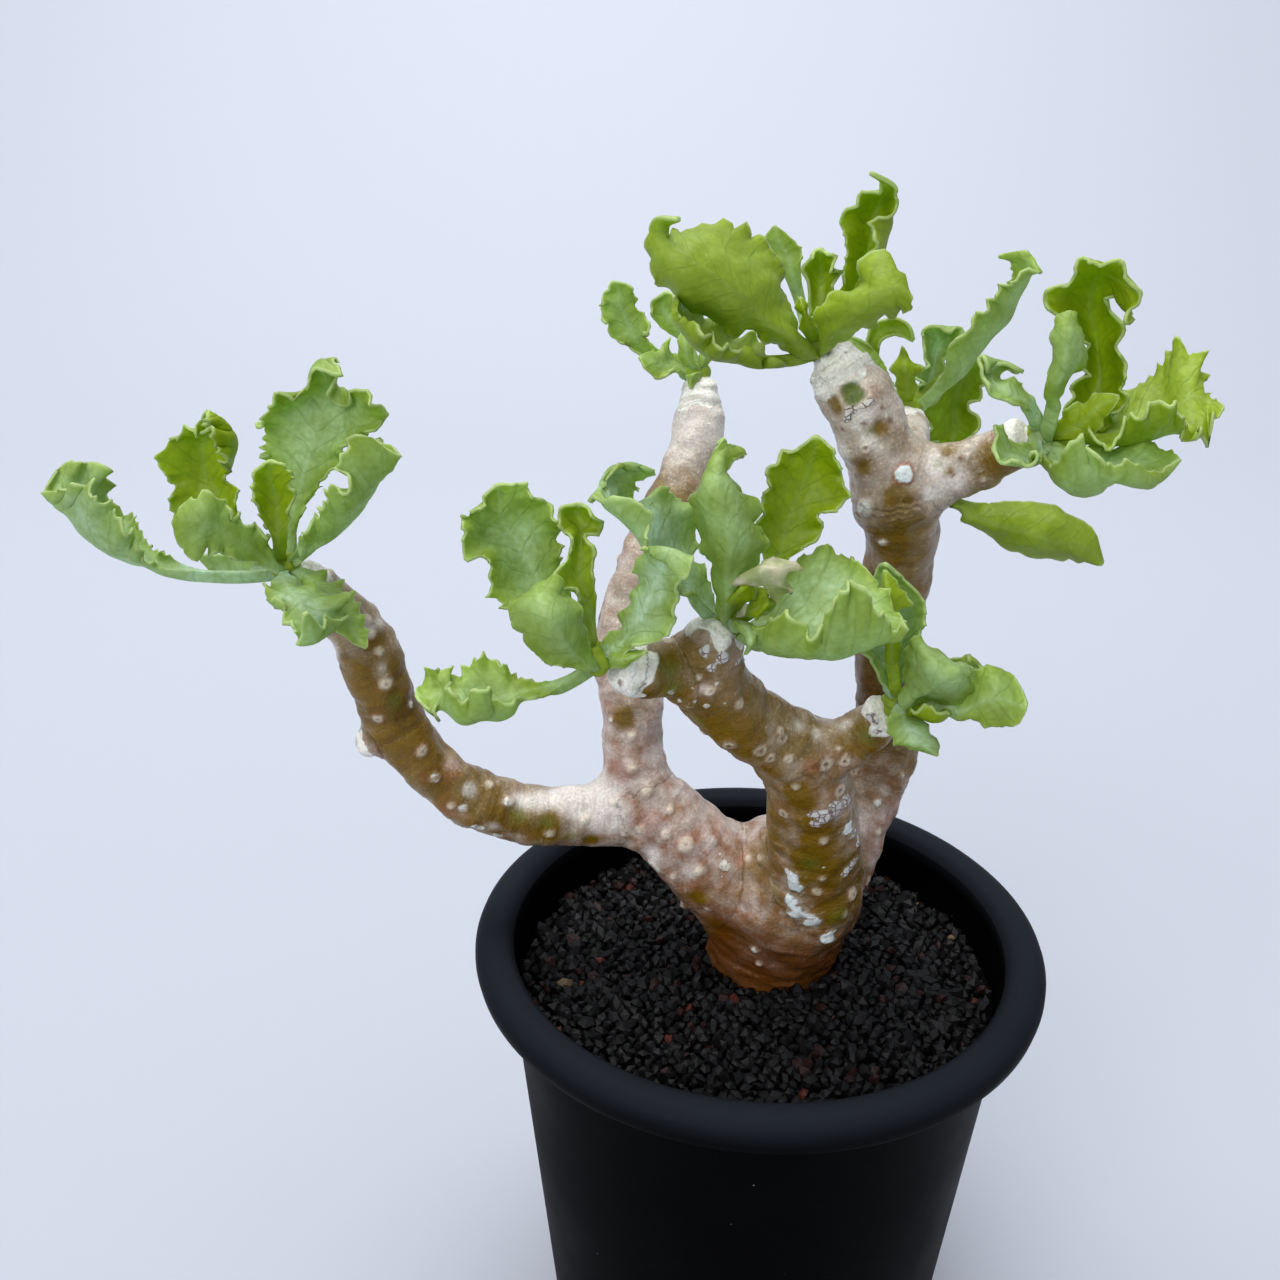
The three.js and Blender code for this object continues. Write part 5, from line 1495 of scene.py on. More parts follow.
# Places and sizes are in millimetres. Each mark is its place and its radius.
MARKS = {
    MarkKind.HAZE: (
        (-67, -5, 156, 1.7), (-55, -2, 129.5, 1.6), (-53, -3.5, 125, 1.4), (-48, -3, 117.5, 1.4),
        (-65, -5.5, 149.5, 1.3), (13, -3, 188.5, 1.4), (11.5, -2.5, 191.5, 2.2), (9.5, 1.5, 186, 1.6),
        (23, -3, 180, 1.1), (27, -4, 182, 2.4), (24, -2, 185.5, 1.6), (7.5, -0.5, 199.5, 1.4),
        (-13, -23, 155, 0.9), (6.5, -14, 142.5, 1), (11, -13.5, 144.5, 1.1), (3.5, -15, 144.5, 1.1),
        (-22.5, 14.5, 146.5, 1.5), (-29.5, 3, 120, 4.4), (-35, 3, 120.5, 3.6), (-20, -0.5, 110.5, 1.8),
        (-13, -3, 108, 1.3), (-36.5, 4, 121, 2.9), (-43.5, -0.5, 121.5, 2.2), (2.5, -8, 92, 1.5),
        (-65, -6, 147, 1.7), (-40, 1, 121, 2.5), (-52, -3, 125, 1.4), (-66, -3, 156.5, 1),
        (-75, -4, 152, 2.3),
    ),
    MarkKind.OLIVE: (
        (-63.5, -5, 143.5, 1.5), (-18, -25.5, 159, 2.1), (-17.5, -25, 155.5, 1.4), (-13, -20.5, 148, 1.3),
        (14.5, -16, 143.5, 1.6), (13, -8, 103, 1.8), (-35, 0, 113.5, 1.1), (-43.5, -2, 119.5, 1.6),
        (-39, -1, 117.5, 1.4), (13.5, -3, 190, 1.1), (24.5, -2.5, 185, 1), (7.5, -12, 116, 1.7),
        (-22.5, -28, 156.5, 1),
    ),
    MarkKind.GOLD: (
        (-63.5, -5, 137, 1.7), (8, -1, 193.5, 1.6), (15, -3, 190.5, 1.3), (12.5, -2, 184.5, 1.4),
        (19, -1, 170.5, 3.9), (21, -3, 174, 2.6), (18.5, -4, 179.5, 2.5), (26, -1.5, 186.5, 1),
        (26, -3.5, 184, 0.8), (32, -5, 186, 2.3), (34, -5, 184, 1.6), (-23.5, -26.5, 161.5, 0.9),
        (-18.5, -25, 160.5, 1.9), (-15, -22.5, 161, 1.5), (-10, -21.5, 148, 3.4), (-13, -18, 144, 1.6),
        (-5, -20, 145.5, 2.2), (-5.5, -18.5, 141.5, 1.6), (-15, -17, 148, 1.9), (13.5, -16, 142, 2.3),
        (15, -15.5, 139.5, 1.3), (-25, 6.5, 135, 2.2), (-21.5, -26.5, 155, 0.8), (-7, -2.5, 96.5, 3.3),
        (-11, -3.5, 103, 1.8), (12.5, -9, 105, 2.5), (8.5, -13.5, 122.5, 2.2), (7, -12, 117.5, 2.4),
        (11, -11.5, 115.5, 1.7), (8, -12, 116, 1.7), (4.5, -15.5, 131, 2), (3.5, -16, 133, 1.6),
        (-68.5, -6.5, 149.5, 1.3), (-72.5, -3, 144.5, 2.2), (-67.5, -6.5, 145, 2.4),
        (-62.5, 0.5, 148.5, 1.7), (-63.5, -4.5, 148.5, 1.7), (-66.5, -5, 154.5, 1.7), (-63.5, -5, 137, 3.8),
        (-61, -4.5, 133.5, 4.1), (-64, -5.5, 141, 2.4), (-57, -4, 125.5, 3.2), (-46, -3, 119.5, 2.5),
        (-38.5, -1, 117, 2.5), (-31, 1, 112.5, 1.6),
    ),
    MarkKind.RUST: (
        (-59.5, -4.5, 128, 1), (12.5, -2.5, 196, 1.4), (32.5, -3, 189.5, 0.6), (-22, -28, 156.5, 0.7),
        (6, -16.5, 138, 1.6), (-27, 5, 126, 1.8), (-25, 3.5, 125, 2.2), (-11.5, -3.5, 105.5, 0.8),
        (-21, 0, 117.5, 2.4), (-4, -1, 110, 1.8), (-56, -3.5, 121.5, 2.1), (-55, -2.5, 129, 2.1),
        (-35.5, 0, 113, 0.9),
    ),
    MarkKind.BUD: (
        (19, -3, 183.5, 1.4),
    ),
    # Pale flecks, partly wax and partly painted highlights.
    MarkKind.WAX: (
        (14, -1, 177.5, 1.6), (17, 0, 170.5, 0.8), (5.5, 0, 198, 0.6), (-13.5, -18, 143, 0.6),
        (-27.5, 7.5, 134, 0.6), (-19.5, 0, 107.5, 1.6), (-1, -7.5, 94.5, 0.8), (22, 7.5, 117.5, 0.8),
        (-61, -3, 142, 0.7), (-58, -4, 128, 1), (-53.5, -4, 122, 0.9), (-45.5, -1.5, 122, 1.1),
    ),
    MarkKind.WOUND: (
        (10, -2.5, 196, 1.9),
    ),
    MarkKind.DARK_SCAR: (
        (13, -3, 187.5, 0.8), (30.5, -5, 184.5, 0.4), (30, -1.5, 188.5, 0.4), (27, -2, 179, 0.6),
        (4, 1.5, 201.5, 0.6), (-17, -18, 161.5, 0.9), (-8, -19.5, 143.5, 1), (-3, -19, 142, 1.1),
        (-1.5, -18, 140, 0.9), (0.5, -18, 143.5, 0.9), (-6.5, -16.5, 139.5, 0.4),
    ),
    MarkKind.SPOT: (
        (16.5, -2.5, 191.5, 0.5), (15, -2.5, 193.5, 0.4), (12, -3, 191, 0.5), (9, -1, 189.5, 0.4),
        (28, -3.5, 186, 0.5), (27, -4, 183.5, 0.3), (6, 0.5, 202.5, 0.4), (9, 0.5, 202, 0.3),
        (-26, -27.5, 160.5, 0.4), (-26, -28, 157.5, 0.5), (-21.5, -28, 157.5, 0.3), (16, -16, 143, 0.5),
        (-31, 20, 149, 0.9), (5, -9.5, 109, 0.5), (-79, -4, 166.5, 0.5), (-77.5, -5, 151.5, 0.4),
        (-78, -5.5, 148, 0.6), (-72, -2, 134, 0.7), (22, 6, 151, 0.7),
    ),
    MarkKind.BUMP: (
        (29, -2.5, 187.5, 0.5), (29, -3.5, 186.5, 0.4), (31.5, -4.5, 183, 0.5), (-22, -27.5, 160, 0.6),
        (-13.5, -23.5, 157, 0.5), (3.5, -16, 134, 0.7), (10, -15.5, 140.5, 0.5), (11, -15.5, 139.5, 0.4),
        (-23.5, 5.5, 132, 0.8), (-23.5, 3.5, 126, 0.8), (-27, 2.5, 119.5, 0.7), (-21, 2.5, 122, 1.1),
        (-22, 0, 115.5, 0.9), (-17.5, -1.5, 115, 0.8), (-11, -3, 109, 1), (-14, 1.5, 98, 0.8),
        (-9.5, -3.5, 100.5, 0.6), (-2.5, -1.5, 110.5, 0.6), (-0.5, -3, 111.5, 0.7), (-16, -2, 107, 0.7),
        (-25, 1, 114, 0.6), (-16.5, 1, 119, 0.7), (14.5, -7.5, 103, 0.7), (16.5, -5, 100, 0.5),
        (0, -7.5, 92, 0.6), (9, -13.5, 122, 0.7), (9.5, -11.5, 113, 0.6), (22.5, 5.5, 112, 0.7),
        (27, 9.5, 122, 0.6), (-77, -3.5, 166.5, 0.4), (-73.5, -2, 165.5, 0.7), (-67.5, -4.5, 158, 0.8),
        (-67, -5, 155.5, 0.8), (-65.5, -5.5, 152.5, 0.8), (-55.5, -4, 122.5, 0.7), (-49, -0.5, 125, 0.9),
        (-38.5, -1, 115.5, 0.9), (-32, 0.5, 117.5, 0.9), (23, 8.5, 140, 0.5),
    ),
    MarkKind.SCAR: (
        (30, -4.5, 185.5, 0.5), (-12, -23, 154.5, 0.8), (-7, -21.5, 151.5, 0.9), (0.5, -17.5, 145, 0.6),
        (2, -17.5, 139.5, 0.7), (-13.5, -2, 113.5, 1.4), (9, -10.5, 109.5, 0.9), (16.5, -6.5, 106.5, 1.3),
        (-65, -6, 147, 1.1), (-67, -5.5, 140, 0.9), (-60, -4, 133.5, 1),
    ),
    MarkKind.FLAKE: (
        (10, -2.5, 193, 1.1), (12.5, -2.5, 194.5, 0.9), (9.5, -2, 191.5, 0.8), (-12.5, -24, 161.5, 0.8),
        (-10, -24, 160.5, 1.1), (-7.5, -22, 159, 0.8), (-11.5, -24, 158.5, 0.8), (14.5, -15.5, 146.5, 0.6),
        (15.5, -16, 145.5, 0.6), (16, -16.5, 144.5, 0.6), (12.5, -12.5, 129, 1), (10.5, -14, 128.5, 1.8),
        (8.5, -14.5, 127.5, 1.7), (7, -14.5, 126, 0.8), (15, -9.5, 121, 0.9), (16, -8, 118.5, 0.7),
        (15.5, -8.5, 114, 1.1), (14, -10, 113.5, 0.9),
    ),
    MarkKind.CHIP: (
        (-17.5, -25, 154.5, 0.6), (-16.5, -22.5, 152, 0.5), (-14.5, -23.5, 155.5, 0.4),
        (-13.5, -22.5, 153, 0.5), (-12, -22.5, 152, 0.5), (-9.5, -22.5, 152.5, 0.5),
        (-10.5, -23.5, 156, 0.5), (-7, -2.5, 109.5, 0.9), (-7.5, -1.5, 111, 0.5), (-7, -3.5, 108, 0.5),
        (9.5, -12, 115.5, 0.3), (16.5, -7.5, 119, 0.7), (-50.5, -3, 117, 1.1), (-47.5, -1.5, 114.5, 0.9),
    ),
    MarkKind.CRACK: (
        (8, -15.5, 138, 1.1), (11, -15.5, 138.5, 1), (17.5, 11.5, 121.5, 0.8), (11, -13.5, 132, 1.1),
        (2, -12.5, 126.5, 0.9),
    ),
    MarkKind.PALE: (
        (4.5, -10, 112.5, 1.2), (5.5, -10, 110.5, 1.4), (5, -9, 107, 1.2), (6, -9, 104.5, 1.4),
        (9, -9, 102.5, 1.3), (11.5, -7.5, 98.5, 1.2), (13.5, -11.5, 123.5, 1.4),
    ),
}

STEM = BranchingStem(
    # Each limb is its points, and then its gold and its haze from root to tip.
    limbs=(
        # The swollen base.
        Limb((
            (3.5, 6, 64.4, 12.3), (3.5, 6, 76, 12.4), (3.5, 6, 87, 12.5), (4, 5.5, 92, 13.4),
            (5, 5, 98, 14.2), (8, 4, 107, 12),
        ), (0.25, 0.4, 0.4), (0.05, 0.05, 0.1)),
        # The left limb.
        Limb((
            (5.5, 5, 96, 10.3), (-7, 5, 103.5, 9.2), (-16, 6, 112, 8), (-23, 8, 118, 7.1),
        ), (0.2, 0.15, 0.2), (0, 0.08, 0.2)),
        # Its low branch, which goes far left.
        Limb((
            (-22, 8, 115.5, 6.6), (-31.5, 6, 115, 5.6), (-40.5, 4, 116, 5.5), (-49.5, 2, 119, 5.5),
            (-57, 1, 125, 5.1), (-64, 0, 135.5, 4.9), (-67.5, -1, 147, 5.5), (-71, -2, 156.5, 4.7),
            (-76, -2, 162.5, 3.8), (-78.5, -2, 164.5, 2.8),
        ), (0.2, 0.5, 0.85, 0.8, 1.2, 0.7, 0.4), (0.65, 0.45, 0.15, 0.25, 0, 0.4, 0.75), paper=6),
        # Its high branch, which goes back.
        Limb((
            (-22.5, 8, 116.5, 6.5), (-23.5, 10, 127.5, 5.9), (-24, 13, 136.5, 5.7), (-26, 18, 145, 5.2),
            (-24, 23, 153, 4.8), (-20.5, 28, 160.5, 4.5), (-16.5, 33, 167.5, 4.7), (-13, 38, 175, 4.8),
            (-11.5, 42, 182, 4.8), (-12, 44, 186.5, 3.6),
        ), (0.05, 0.05, 0.1, 0.3, 0.5, 0.9, 0.2, 0.1), (0.2, 0.3, 0.35, 0.4, 0.3, 0.3, 1, 1.2), paper=7),
        # The front limb.
        Limb((
            (9, 2, 101, 10.3), (9, -4, 118, 8.2), (6.5, -8, 130, 7.2), (3.5, -10, 138, 6.7),
        ), (0.75, 0.8, 0.7), (0.15, 0.15, 0.25)),
        # Its middle branch.
        Limb((
            (4.5, -10, 137, 6.4), (-3.5, -13, 143.5, 6), (-9.5, -16, 150.5, 6.1), (-12, -18, 156.5, 5.5),
            (-11, -20, 162.5, 4.4), (-10.5, -20, 163.5, 3.3),
        ), (0.7, 0.85, 0.9, 0.85, 0.55), (0.4, 0.3, 0.25, 0.3, 0.45), paper=4.5),
        # A short end to the left of that.
        Limb((
            (-11, -17, 153, 4.7), (-17.5, -20, 156.5, 4.5), (-22.5, -24, 158, 4.1), (-25, -25, 159, 3.3),
        ), (0.85, 0.85, 0.85), (0.15, 0.15, 0.3), paper=5.6),
        # Its short right branch.
        Limb((
            (4.5, -10, 137, 5.4), (10.5, -11, 139, 4.7), (15, -12, 142.5, 4.1), (17, -13.5, 146, 3.1),
        ), (0.5, 0.7, 0.8), (0.3, 0.2, 0.3), paper=3.5),
        # The right limb.
        Limb((
            (12, 6, 99, 8), (17.5, 9, 107.5, 6.3), (21.5, 13, 115.5, 5.9), (24.5, 15, 126, 5.9),
            (22.5, 14, 137.5, 5.2), (21.5, 12, 148.5, 5), (22, 9, 159, 5.4), (21.5, 6, 169, 5.9),
            (19.5, 3, 179, 6.9),
        ), (0.1, 0.1, 0.4, 1.25, 1.2, 0.95, 0.75, 0.65), (0.1, 0.2, 0.2, 0.1, 0.05, 0.2, 0.3, 0.45)),
        # Its top branch.
        Limb((
            (20, 3, 177, 6.6), (15.5, 3, 187, 6.1), (11.5, 3, 194.5, 5.7), (7.5, 4, 200, 4.4),
            (7, 4, 200.5, 3.5),
        ), (0.4, 0.5, 0.5, 0.4), (0.6, 0.65, 0.65, 0.6), paper=8),
        # Its right branch.
        Limb((
            (18.5, 3, 180, 5.4), (26.5, 1, 182.5, 4.7), (32.5, -1, 185, 4.1), (37, -3, 188.5, 3.5),
            (38, -3.5, 189, 2.6),
        ), (0.5, 0.5, 0.75, 0.9), (0.45, 0.65, 0.6, 0.2), paper=5),
        # A dry stub on the low left branch.
        Limb((
            (-66, 0, 135, 3.9), (-68.5, -1, 134, 3), (-70.5, -1, 133, 1.9),
        ), (0.3, 0.2), (0.6, 0.7), paper=3),
        # The short end behind it.
        Limb((
            (21.5, 8, 179, 4.2), (24, 18, 182.5, 3.6), (25.5, 28, 185, 3.1), (25.5, 28.5, 185.5, 2.5),
        ), (0.4, 0.3, 0.3), (0.5, 0.55, 0.6), paper=6),
    ),
    marks=tuple(Mark(place[:3], place[3], kind) for kind, places in MARKS.items() for place in places),
)

# Each leaf is the points of its stalk, its rows from there on, and its tip.
FAR_LEFT_LEAVES = (
    Leaf(((-7, -2, 0), (-13.5, -4, 1)), (
        ((-19, -7, 3.5), (-19.5, -4, 1.5), (-19, -1, 2.5)), ((-19.5, -10, 8.5), (-23, -5, 3), (-23, 3, 3)),
        ((-20, -12, 12), (-26, -6, 5), (-25, 5, 7.5)), ((-22, -13, 15.5), (-28.5, -7, 8), (-28.5, 5, 9)),
        ((-22.5, -13, 18.5), (-30.5, -7, 11), (-28, 3, 16)),
        ((-26.5, -11, 16.5), (-32.5, -7, 13), (-31.5, 0, 18)),
    ), (-34.5, -6, 14.5), frill=1.1, tooth=1.0, sort=LeafSort.BLOOMED),
    Leaf(((-5, 4, 0), (-10, 7, 2.5)), (
        ((-14.5, 7, 5), (-12.5, 9, 5), (-9, 8, 7)), ((-21, 8, 7), (-14.5, 11, 8.5), (-9, 9, 10.5)),
        ((-20.5, 10, 11), (-15.5, 12, 11.5), (-11, 10, 12.5)),
        ((-22.5, 10, 14), None, (-15.5, 12, 14.5), (-10, 9, 15.5), (-9.5, 4, 16.5)),
        ((-21, 10, 18), None, (-15, 12, 17.5), (-8.5, 8, 18.5), (-10.5, 3, 20)),
        ((-16, 9, 20.5), None, (-13.5, 11, 20), (-8.5, 7, 21), (-12, 4, 22)),
    ), (-11.5, 5, 24.5), frill=1.1, tooth=1.1, sort=LeafSort.YOUNG),
    Leaf(((-1, -3, 1.5),), (
        ((-0.5, -6, 8), (-2.5, -6, 5), (-3.5, -7, 3.5)), ((-3, -8, 10.5), (-4.5, -9, 8), (-5.5, -9, 4.5)),
        ((-4.5, -10, 14), (-6.5, -11, 10.5), (-8, -11, 6.5)),
        ((-7.5, -11, 15.5), (-8, -13, 12.5), (-11, -12, 6.5)),
        ((-10, -11, 14.5), (-10, -13, 12.5), (-12, -12, 8.5)),
    ), (-12.5, -12, 11.5), frill=0.8, tooth=1.4),
    Leaf(((-5.5, 6, -2.5),), (
        ((-9.5, 10, -1.5), (-10.5, 10, -4), (-11, 10, -5)),
        ((-14, 11, -1.5), (-15, 11, -4), (-14.5, 11, -6.5)),
    ), (-18, 11, -2), tooth=0.5, frill=0.4, sort=LeafSort.BLOOMED),
    Leaf(((0, -2, 2.5),), (
        ((-0.5, -4, 7), (0.5, -4, 6), (2, -3, 6.5)), ((-2.5, -5, 12.5), (0.5, -3, 10.5), (3, -4, 11)),
        ((-2, -6, 15.5), (0.5, -3, 14), (4, -6, 15.5)),
        ((-0.5, -7, 18.5), (0.5, -5, 17.5), (4.5, -7, 18.5)),
    ), (1.5, -6, 19.5), frill=0.7, tooth=1.2, sort=LeafSort.YOUNG),
    Leaf(((0, 2, 1),), (
        ((-2, 5, 6.5), (0.5, 4, 6.5), (2.5, 4, 8)), ((-3.5, 7, 13), (2.5, 6, 13), (7, 5, 13.5)),
        ((-4, 8, 18.5), (4.5, 7, 18.5), (11.5, 4, 19)), ((-3.5, 6, 23), (6, 8, 23), (16.5, 2, 23.5)),
        ((0.5, 4, 27.5), (7, 9, 26), (16.5, 0, 28.5)), ((4, 5, 28), (7.5, 8, 28.5), (11, 4, 27.5)),
        ((5.5, 3, 31), (7.5, 6, 32), (10.5, 4, 32.5)),
    ), (12, 0, 31.5), frill=1.1, tooth=1.2),
    Leaf(((2.5, -2, 3.5),), (
        ((3.5, 0, 5.5), (5, -3, 5), (5, -6, 8)), ((6.5, 2, 7.5), (9, -5, 7.5), (8.5, -9, 12.5)),
        ((8.5, 3, 11), (13, -6, 11), (10.5, -12, 15.5)), ((10.5, 4, 15.5), (16, -7, 15), (14, -13, 19)),
        ((13.5, 3, 21), (18.5, -8, 18.5), (13, -12, 22)), ((17.5, -2, 22), (20, -8, 20), (15.5, -10, 25)),
    ), (21.5, -8, 21.5), frill=1.2, tooth=1.0),
    Leaf(((1.5, -6, 1),), (
        ((4.5, -7, 0.5), (3, -10, 0.5), (0, -10, 1)), ((8, -9, 0), (5.5, -14, 0), (0, -13, 0.5)),
        ((12, -10, -1), (7.5, -16, -2), (4.5, -17, -1)), ((12, -12, -3), (9, -17, -4.5), (6, -20, -2.5)),
        ((11, -17, -2.5), (9, -19, -4.5), (6.5, -20, -4.5)),
    ), (9, -23, 1.5), frill=1.1, tooth=0.9, sort=LeafSort.BLOOMED),
    Leaf(((3.5, -3, 0.5),), (
        ((7.5, -3, 0), (6, -6, 0), (4, -6, -1.5)), ((11.5, -4, -2.5), (10, -8, -2.5), (7.5, -8, -4.5)),
        ((14, -7, -5), (12, -10, -5.5), (9.5, -9, -7)),
        ((15, -9, -7), (13.5, -11, -7.5), (12.5, -11, -8.5)),
    ), (15, -11, -9.5), frill=0.8),
)

FRONT_LEFT_LEAVES = (
    Leaf(((-5.5, -2, -3),), (
        ((-10, -7, -3.5), (-11.5, -4, -4), (-10.5, -2, -2.5)),
        ((-14, -10, -2.5), (-13.5, -10, -4.5), (-14.5, -5, -4.5), None, (-15, 0, -1)),
        ((-16.5, -13, 1.5), (-16.5, -12, -4), (-18, -5, -5), None, (-18, 0, 0)),
        ((-18.5, -13, -0.5), (-19, -12, -4.5), (-20.5, -6, -4), None, (-21.5, -1, -2)),
        ((-20.5, -12, 1), (-21.5, -11, -3), (-23, -6, -3.5), None, (-23.5, -2, -0.5)),
        ((-24, -10, -3.5), (-25, -7, -3.5), (-25.5, -3, -2)),
    ), (-26.5, -6, -3), frill=0.9, tooth=1.0),
    Leaf(((-1.5, 2, 2), (-4, 4, 5)), (
        ((-13, 2, 6.5), (-7.5, 6, 7), (-5, 9, 9)), ((-16.5, 3, 8.5), (-10, 8, 10), (-6, 10, 12)),
        ((-16.5, 3, 14), (-12, 9, 13.5), (-5.5, 10, 16)), ((-20.5, 3, 16.5), (-14, 10, 16.5), (-6, 9, 19)),
        ((-19.5, 4, 20), (-15, 9, 19.5), (-9, 8, 22)), ((-18.5, 6, 21), (-15, 9, 22), (-11, 7, 24)),
    ), (-15, 8, 24), frill=0.9, tooth=1.4),
    Leaf(((-1.5, -2, 0),), (
        ((-1.5, -2, 2.5), (-3, -5, 2.5), (-4.5, -5, 1)), ((-2, -3, 6.5), (-5, -9, 7), (-8.5, -5, 2.5)),
        ((-3.5, -3, 9.5), (-6.5, -10, 10.5), (-10.5, -5, 6)), ((-5, -2, 11), (-8, -8, 12), (-12.5, -3, 7)),
        ((-6, -1, 12.5), (-8.5, -5, 12.5), (-12, -2, 8.5)),
    ), (-8.5, -2, 12), frill=0.6, tooth=1.1, sort=LeafSort.MELLOW),
    Leaf(((-0.5, 0, 2), (-1, 2, 5)), (
        ((-2.5, 0, 8.5), (-1.5, 3, 8), (-0.5, 4, 8)), ((-5.5, 0, 12.5), (-3, 4, 11.5), (-1, 4, 12)),
        ((-4.5, 2, 14.5), (-3, 5, 14), (-1.5, 4, 15.5)), ((-4, 4, 18), (-3, 7, 16.5), (-2.5, 7, 17)),
        ((-5.5, 6, 19), (-3, 9, 18), (-0.5, 7, 18)), ((-5, 7, 21), (-3.5, 9, 20), (-1, 7, 20.5)),
    ), (-3, 8, 21), frill=0.9, tooth=1.5, sort=LeafSort.SUNLIT),
    Leaf(((0.5, -1, 1),), (
        ((0, -1, 2.5), (1.5, -3, 2.5), (2, -5, 2)), ((2, -1, 4.5), (4, -5, 5.5), (6, -8, 5.5)),
        ((4, -1, 9), (6.5, -6, 10), (10, -10, 8)), ((5, -2, 13), (8, -6, 13.5), (11, -10, 12.5)),
        ((5, -4, 16.5), (9, -8, 17), (11.5, -11, 16.5)), ((7, -7, 19.5), (10, -11, 20.5), (13, -13, 19.5)),
    ), (12, -15, 18), frill=0.5, tooth=0.7, sort=LeafSort.BLOOMED),
    Leaf(((1, -1, 0),), (
        ((2, -3, 2.5), (2, -5, 2), (2.5, -5, 0.5)), ((5, -6, 4), (4.5, -8, 3.5), (4.5, -7, 2)),
    ), (7, -8, 4.5), frill=0.4, tooth=0.5),
)

FRONT_LEAVES = (
    Leaf(((-2, -1, 1.5),), (
        ((-4.5, -6, 5.5), (-4, -2, 3.5), (-2.5, 1, 4.5)), ((-8, -10, 9), (-7, -3, 7.5), (-4.5, 3, 8.5)),
        ((-11, -11, 15), (-10.5, -4, 11.5), (-5, 5, 12.5)), ((-12, -11, 19), (-13, -6, 15.5), (-6, 5, 17)),
        ((-13.5, -10, 21.5), (-15.5, -7, 18), (-10.5, 3, 19.5)),
        ((-16.5, -9, 21.5), (-18, -8, 20.5), (-13.5, 0, 19)),
        ((-19.5, -8, 21), (-18, -4, 23), (-14.5, 0, 20)), ((-17, -4, 24.5), (-15, -2, 24), (-14, 0, 21.5)),
    ), (-11.5, 0, 22.5), frill=0.8, tooth=1.0, sort=LeafSort.BLOOMED),
    Leaf(((-0.5, -1, 1.5),), (
        ((1.5, -3, 5), (-0.5, -5, 6), (-2, -3, 6)), ((3, -2, 8), (-1, -7, 10.5), (-3, -3, 10)),
        ((4.5, -1, 12), (-1, -9, 15.5), (-4.5, -2, 13.5)), ((3.5, 0, 16), (-2, -9, 19.5), (-6.5, -1, 18)),
        ((2, 0, 19), (-3, -8, 23), (-5, -2, 21)), ((-1, -2, 22.5), (-3, -6, 25), (-4, -3, 24.5)),
        ((-1.5, -3, 24.5), (-2.5, -4, 26.5), (-3, -3, 26)),
        ((0.5, -1, 25.5), (-2, -3, 27.5), (-3, -4, 28.5)),
    ), (1, 0, 25), frill=0.6, tooth=1.2, sort=LeafSort.MELLOW),
    Leaf(((1, 2, 1.5), (4, 3, 5)), (
        ((5.5, 4, 8.5), (7.5, 5, 8), (9.5, 5, 8)), ((4, 5, 12.5), (8.5, 7, 11), (13.5, 5, 11.5)),
        ((5, 5, 15.5), (9.5, 8, 14.5), (14, 5, 15)), ((5.5, 6, 19), (11, 9, 18), (17.5, 5, 17.5)),
        ((6.5, 6, 22.5), (12, 9, 21.5), (17, 6, 21.5)), ((10, 7, 24.5), (12.5, 8, 24), (15.5, 6, 24.5)),
    ), (12.5, 7, 26.5), frill=0.6, tooth=1.1, sort=LeafSort.YOUNG),
    Leaf(((2, -2, -0.5),), (
        ((6.5, 2, 2), None, (5, -3, -0.5), (4, -7, -1.5), (4, -9, 3)),
        ((9, 6, 5.5), None, (8.5, -4, 0.5), (7, -10, -1), (7.5, -13, 6.5)),
        ((13, 8, 8.5), None, (11.5, -5, 1.5), (10.5, -12, -0.5), (11, -15, 4.5)),
        ((17, 8, 8.5), None, (15, -6, 2), (14, -13, 0), (14, -16, 11.5)),
        ((20, 1, 8.5), None, (17.5, -7, 3), (17.5, -13, 1), (17, -15, 11.5)),
        ((22, -3, 7.5), None, (19.5, -8, 4), (20, -13, 2), (20, -14, 7)),
        ((23.5, -4, 5), None, (21.5, -9, 4.5), (22.5, -12, 2.5), (22.5, -12, 4.5)),
    ), (24.5, -9, 4), frill=0.6, tooth=0.9),
    Leaf(((1.5, -2, 1), (4.5, -4, 2.5)), (
        ((5.5, -5, 5), (6.5, -5, 5), (7, -5, 5)), ((3.5, -6, 8.5), (5, -8, 9.5), (7.5, -5, 7.5)),
        ((3, -6, 10.5), (5, -9, 11.5), (8.5, -5, 9)), ((4, -6, 11.5), (5.5, -7, 12), (7.5, -6, 11.5)),
    ), (5.5, -7, 12.5), frill=2.0, tooth=2.2, sort=LeafSort.DRY),
    Leaf(((1, -4, 1.5),), (
        ((4, -7, 1.5), (2, -8, 2), (1, -6, 1.5)), ((4, -9, 0.5), (2.5, -11, 1), (1.5, -8, -0.5)),
    ), (2, -9, -2), sort=LeafSort.BLOOMED),
    Leaf(((0.5, -2, 2),), (
        ((-1.5, -4, 4.5), (0, -7, 6), (2.5, -5, 5.5)), ((-0.5, -4, 6), (1, -8, 8), (3, -5, 7.5)),
    ), (1.5, -6, 8), sort=LeafSort.YOUNG),
    Leaf(((2, -2, 2),), (
        ((3, -2, 4), (3, -6, 4), (3, -6, 2.5)), ((5.5, -3, 6), (5, -8, 6), (4.5, -7, 3.5)),
    ), (6.5, -5, 4.5), sort=LeafSort.YOUNG),
)

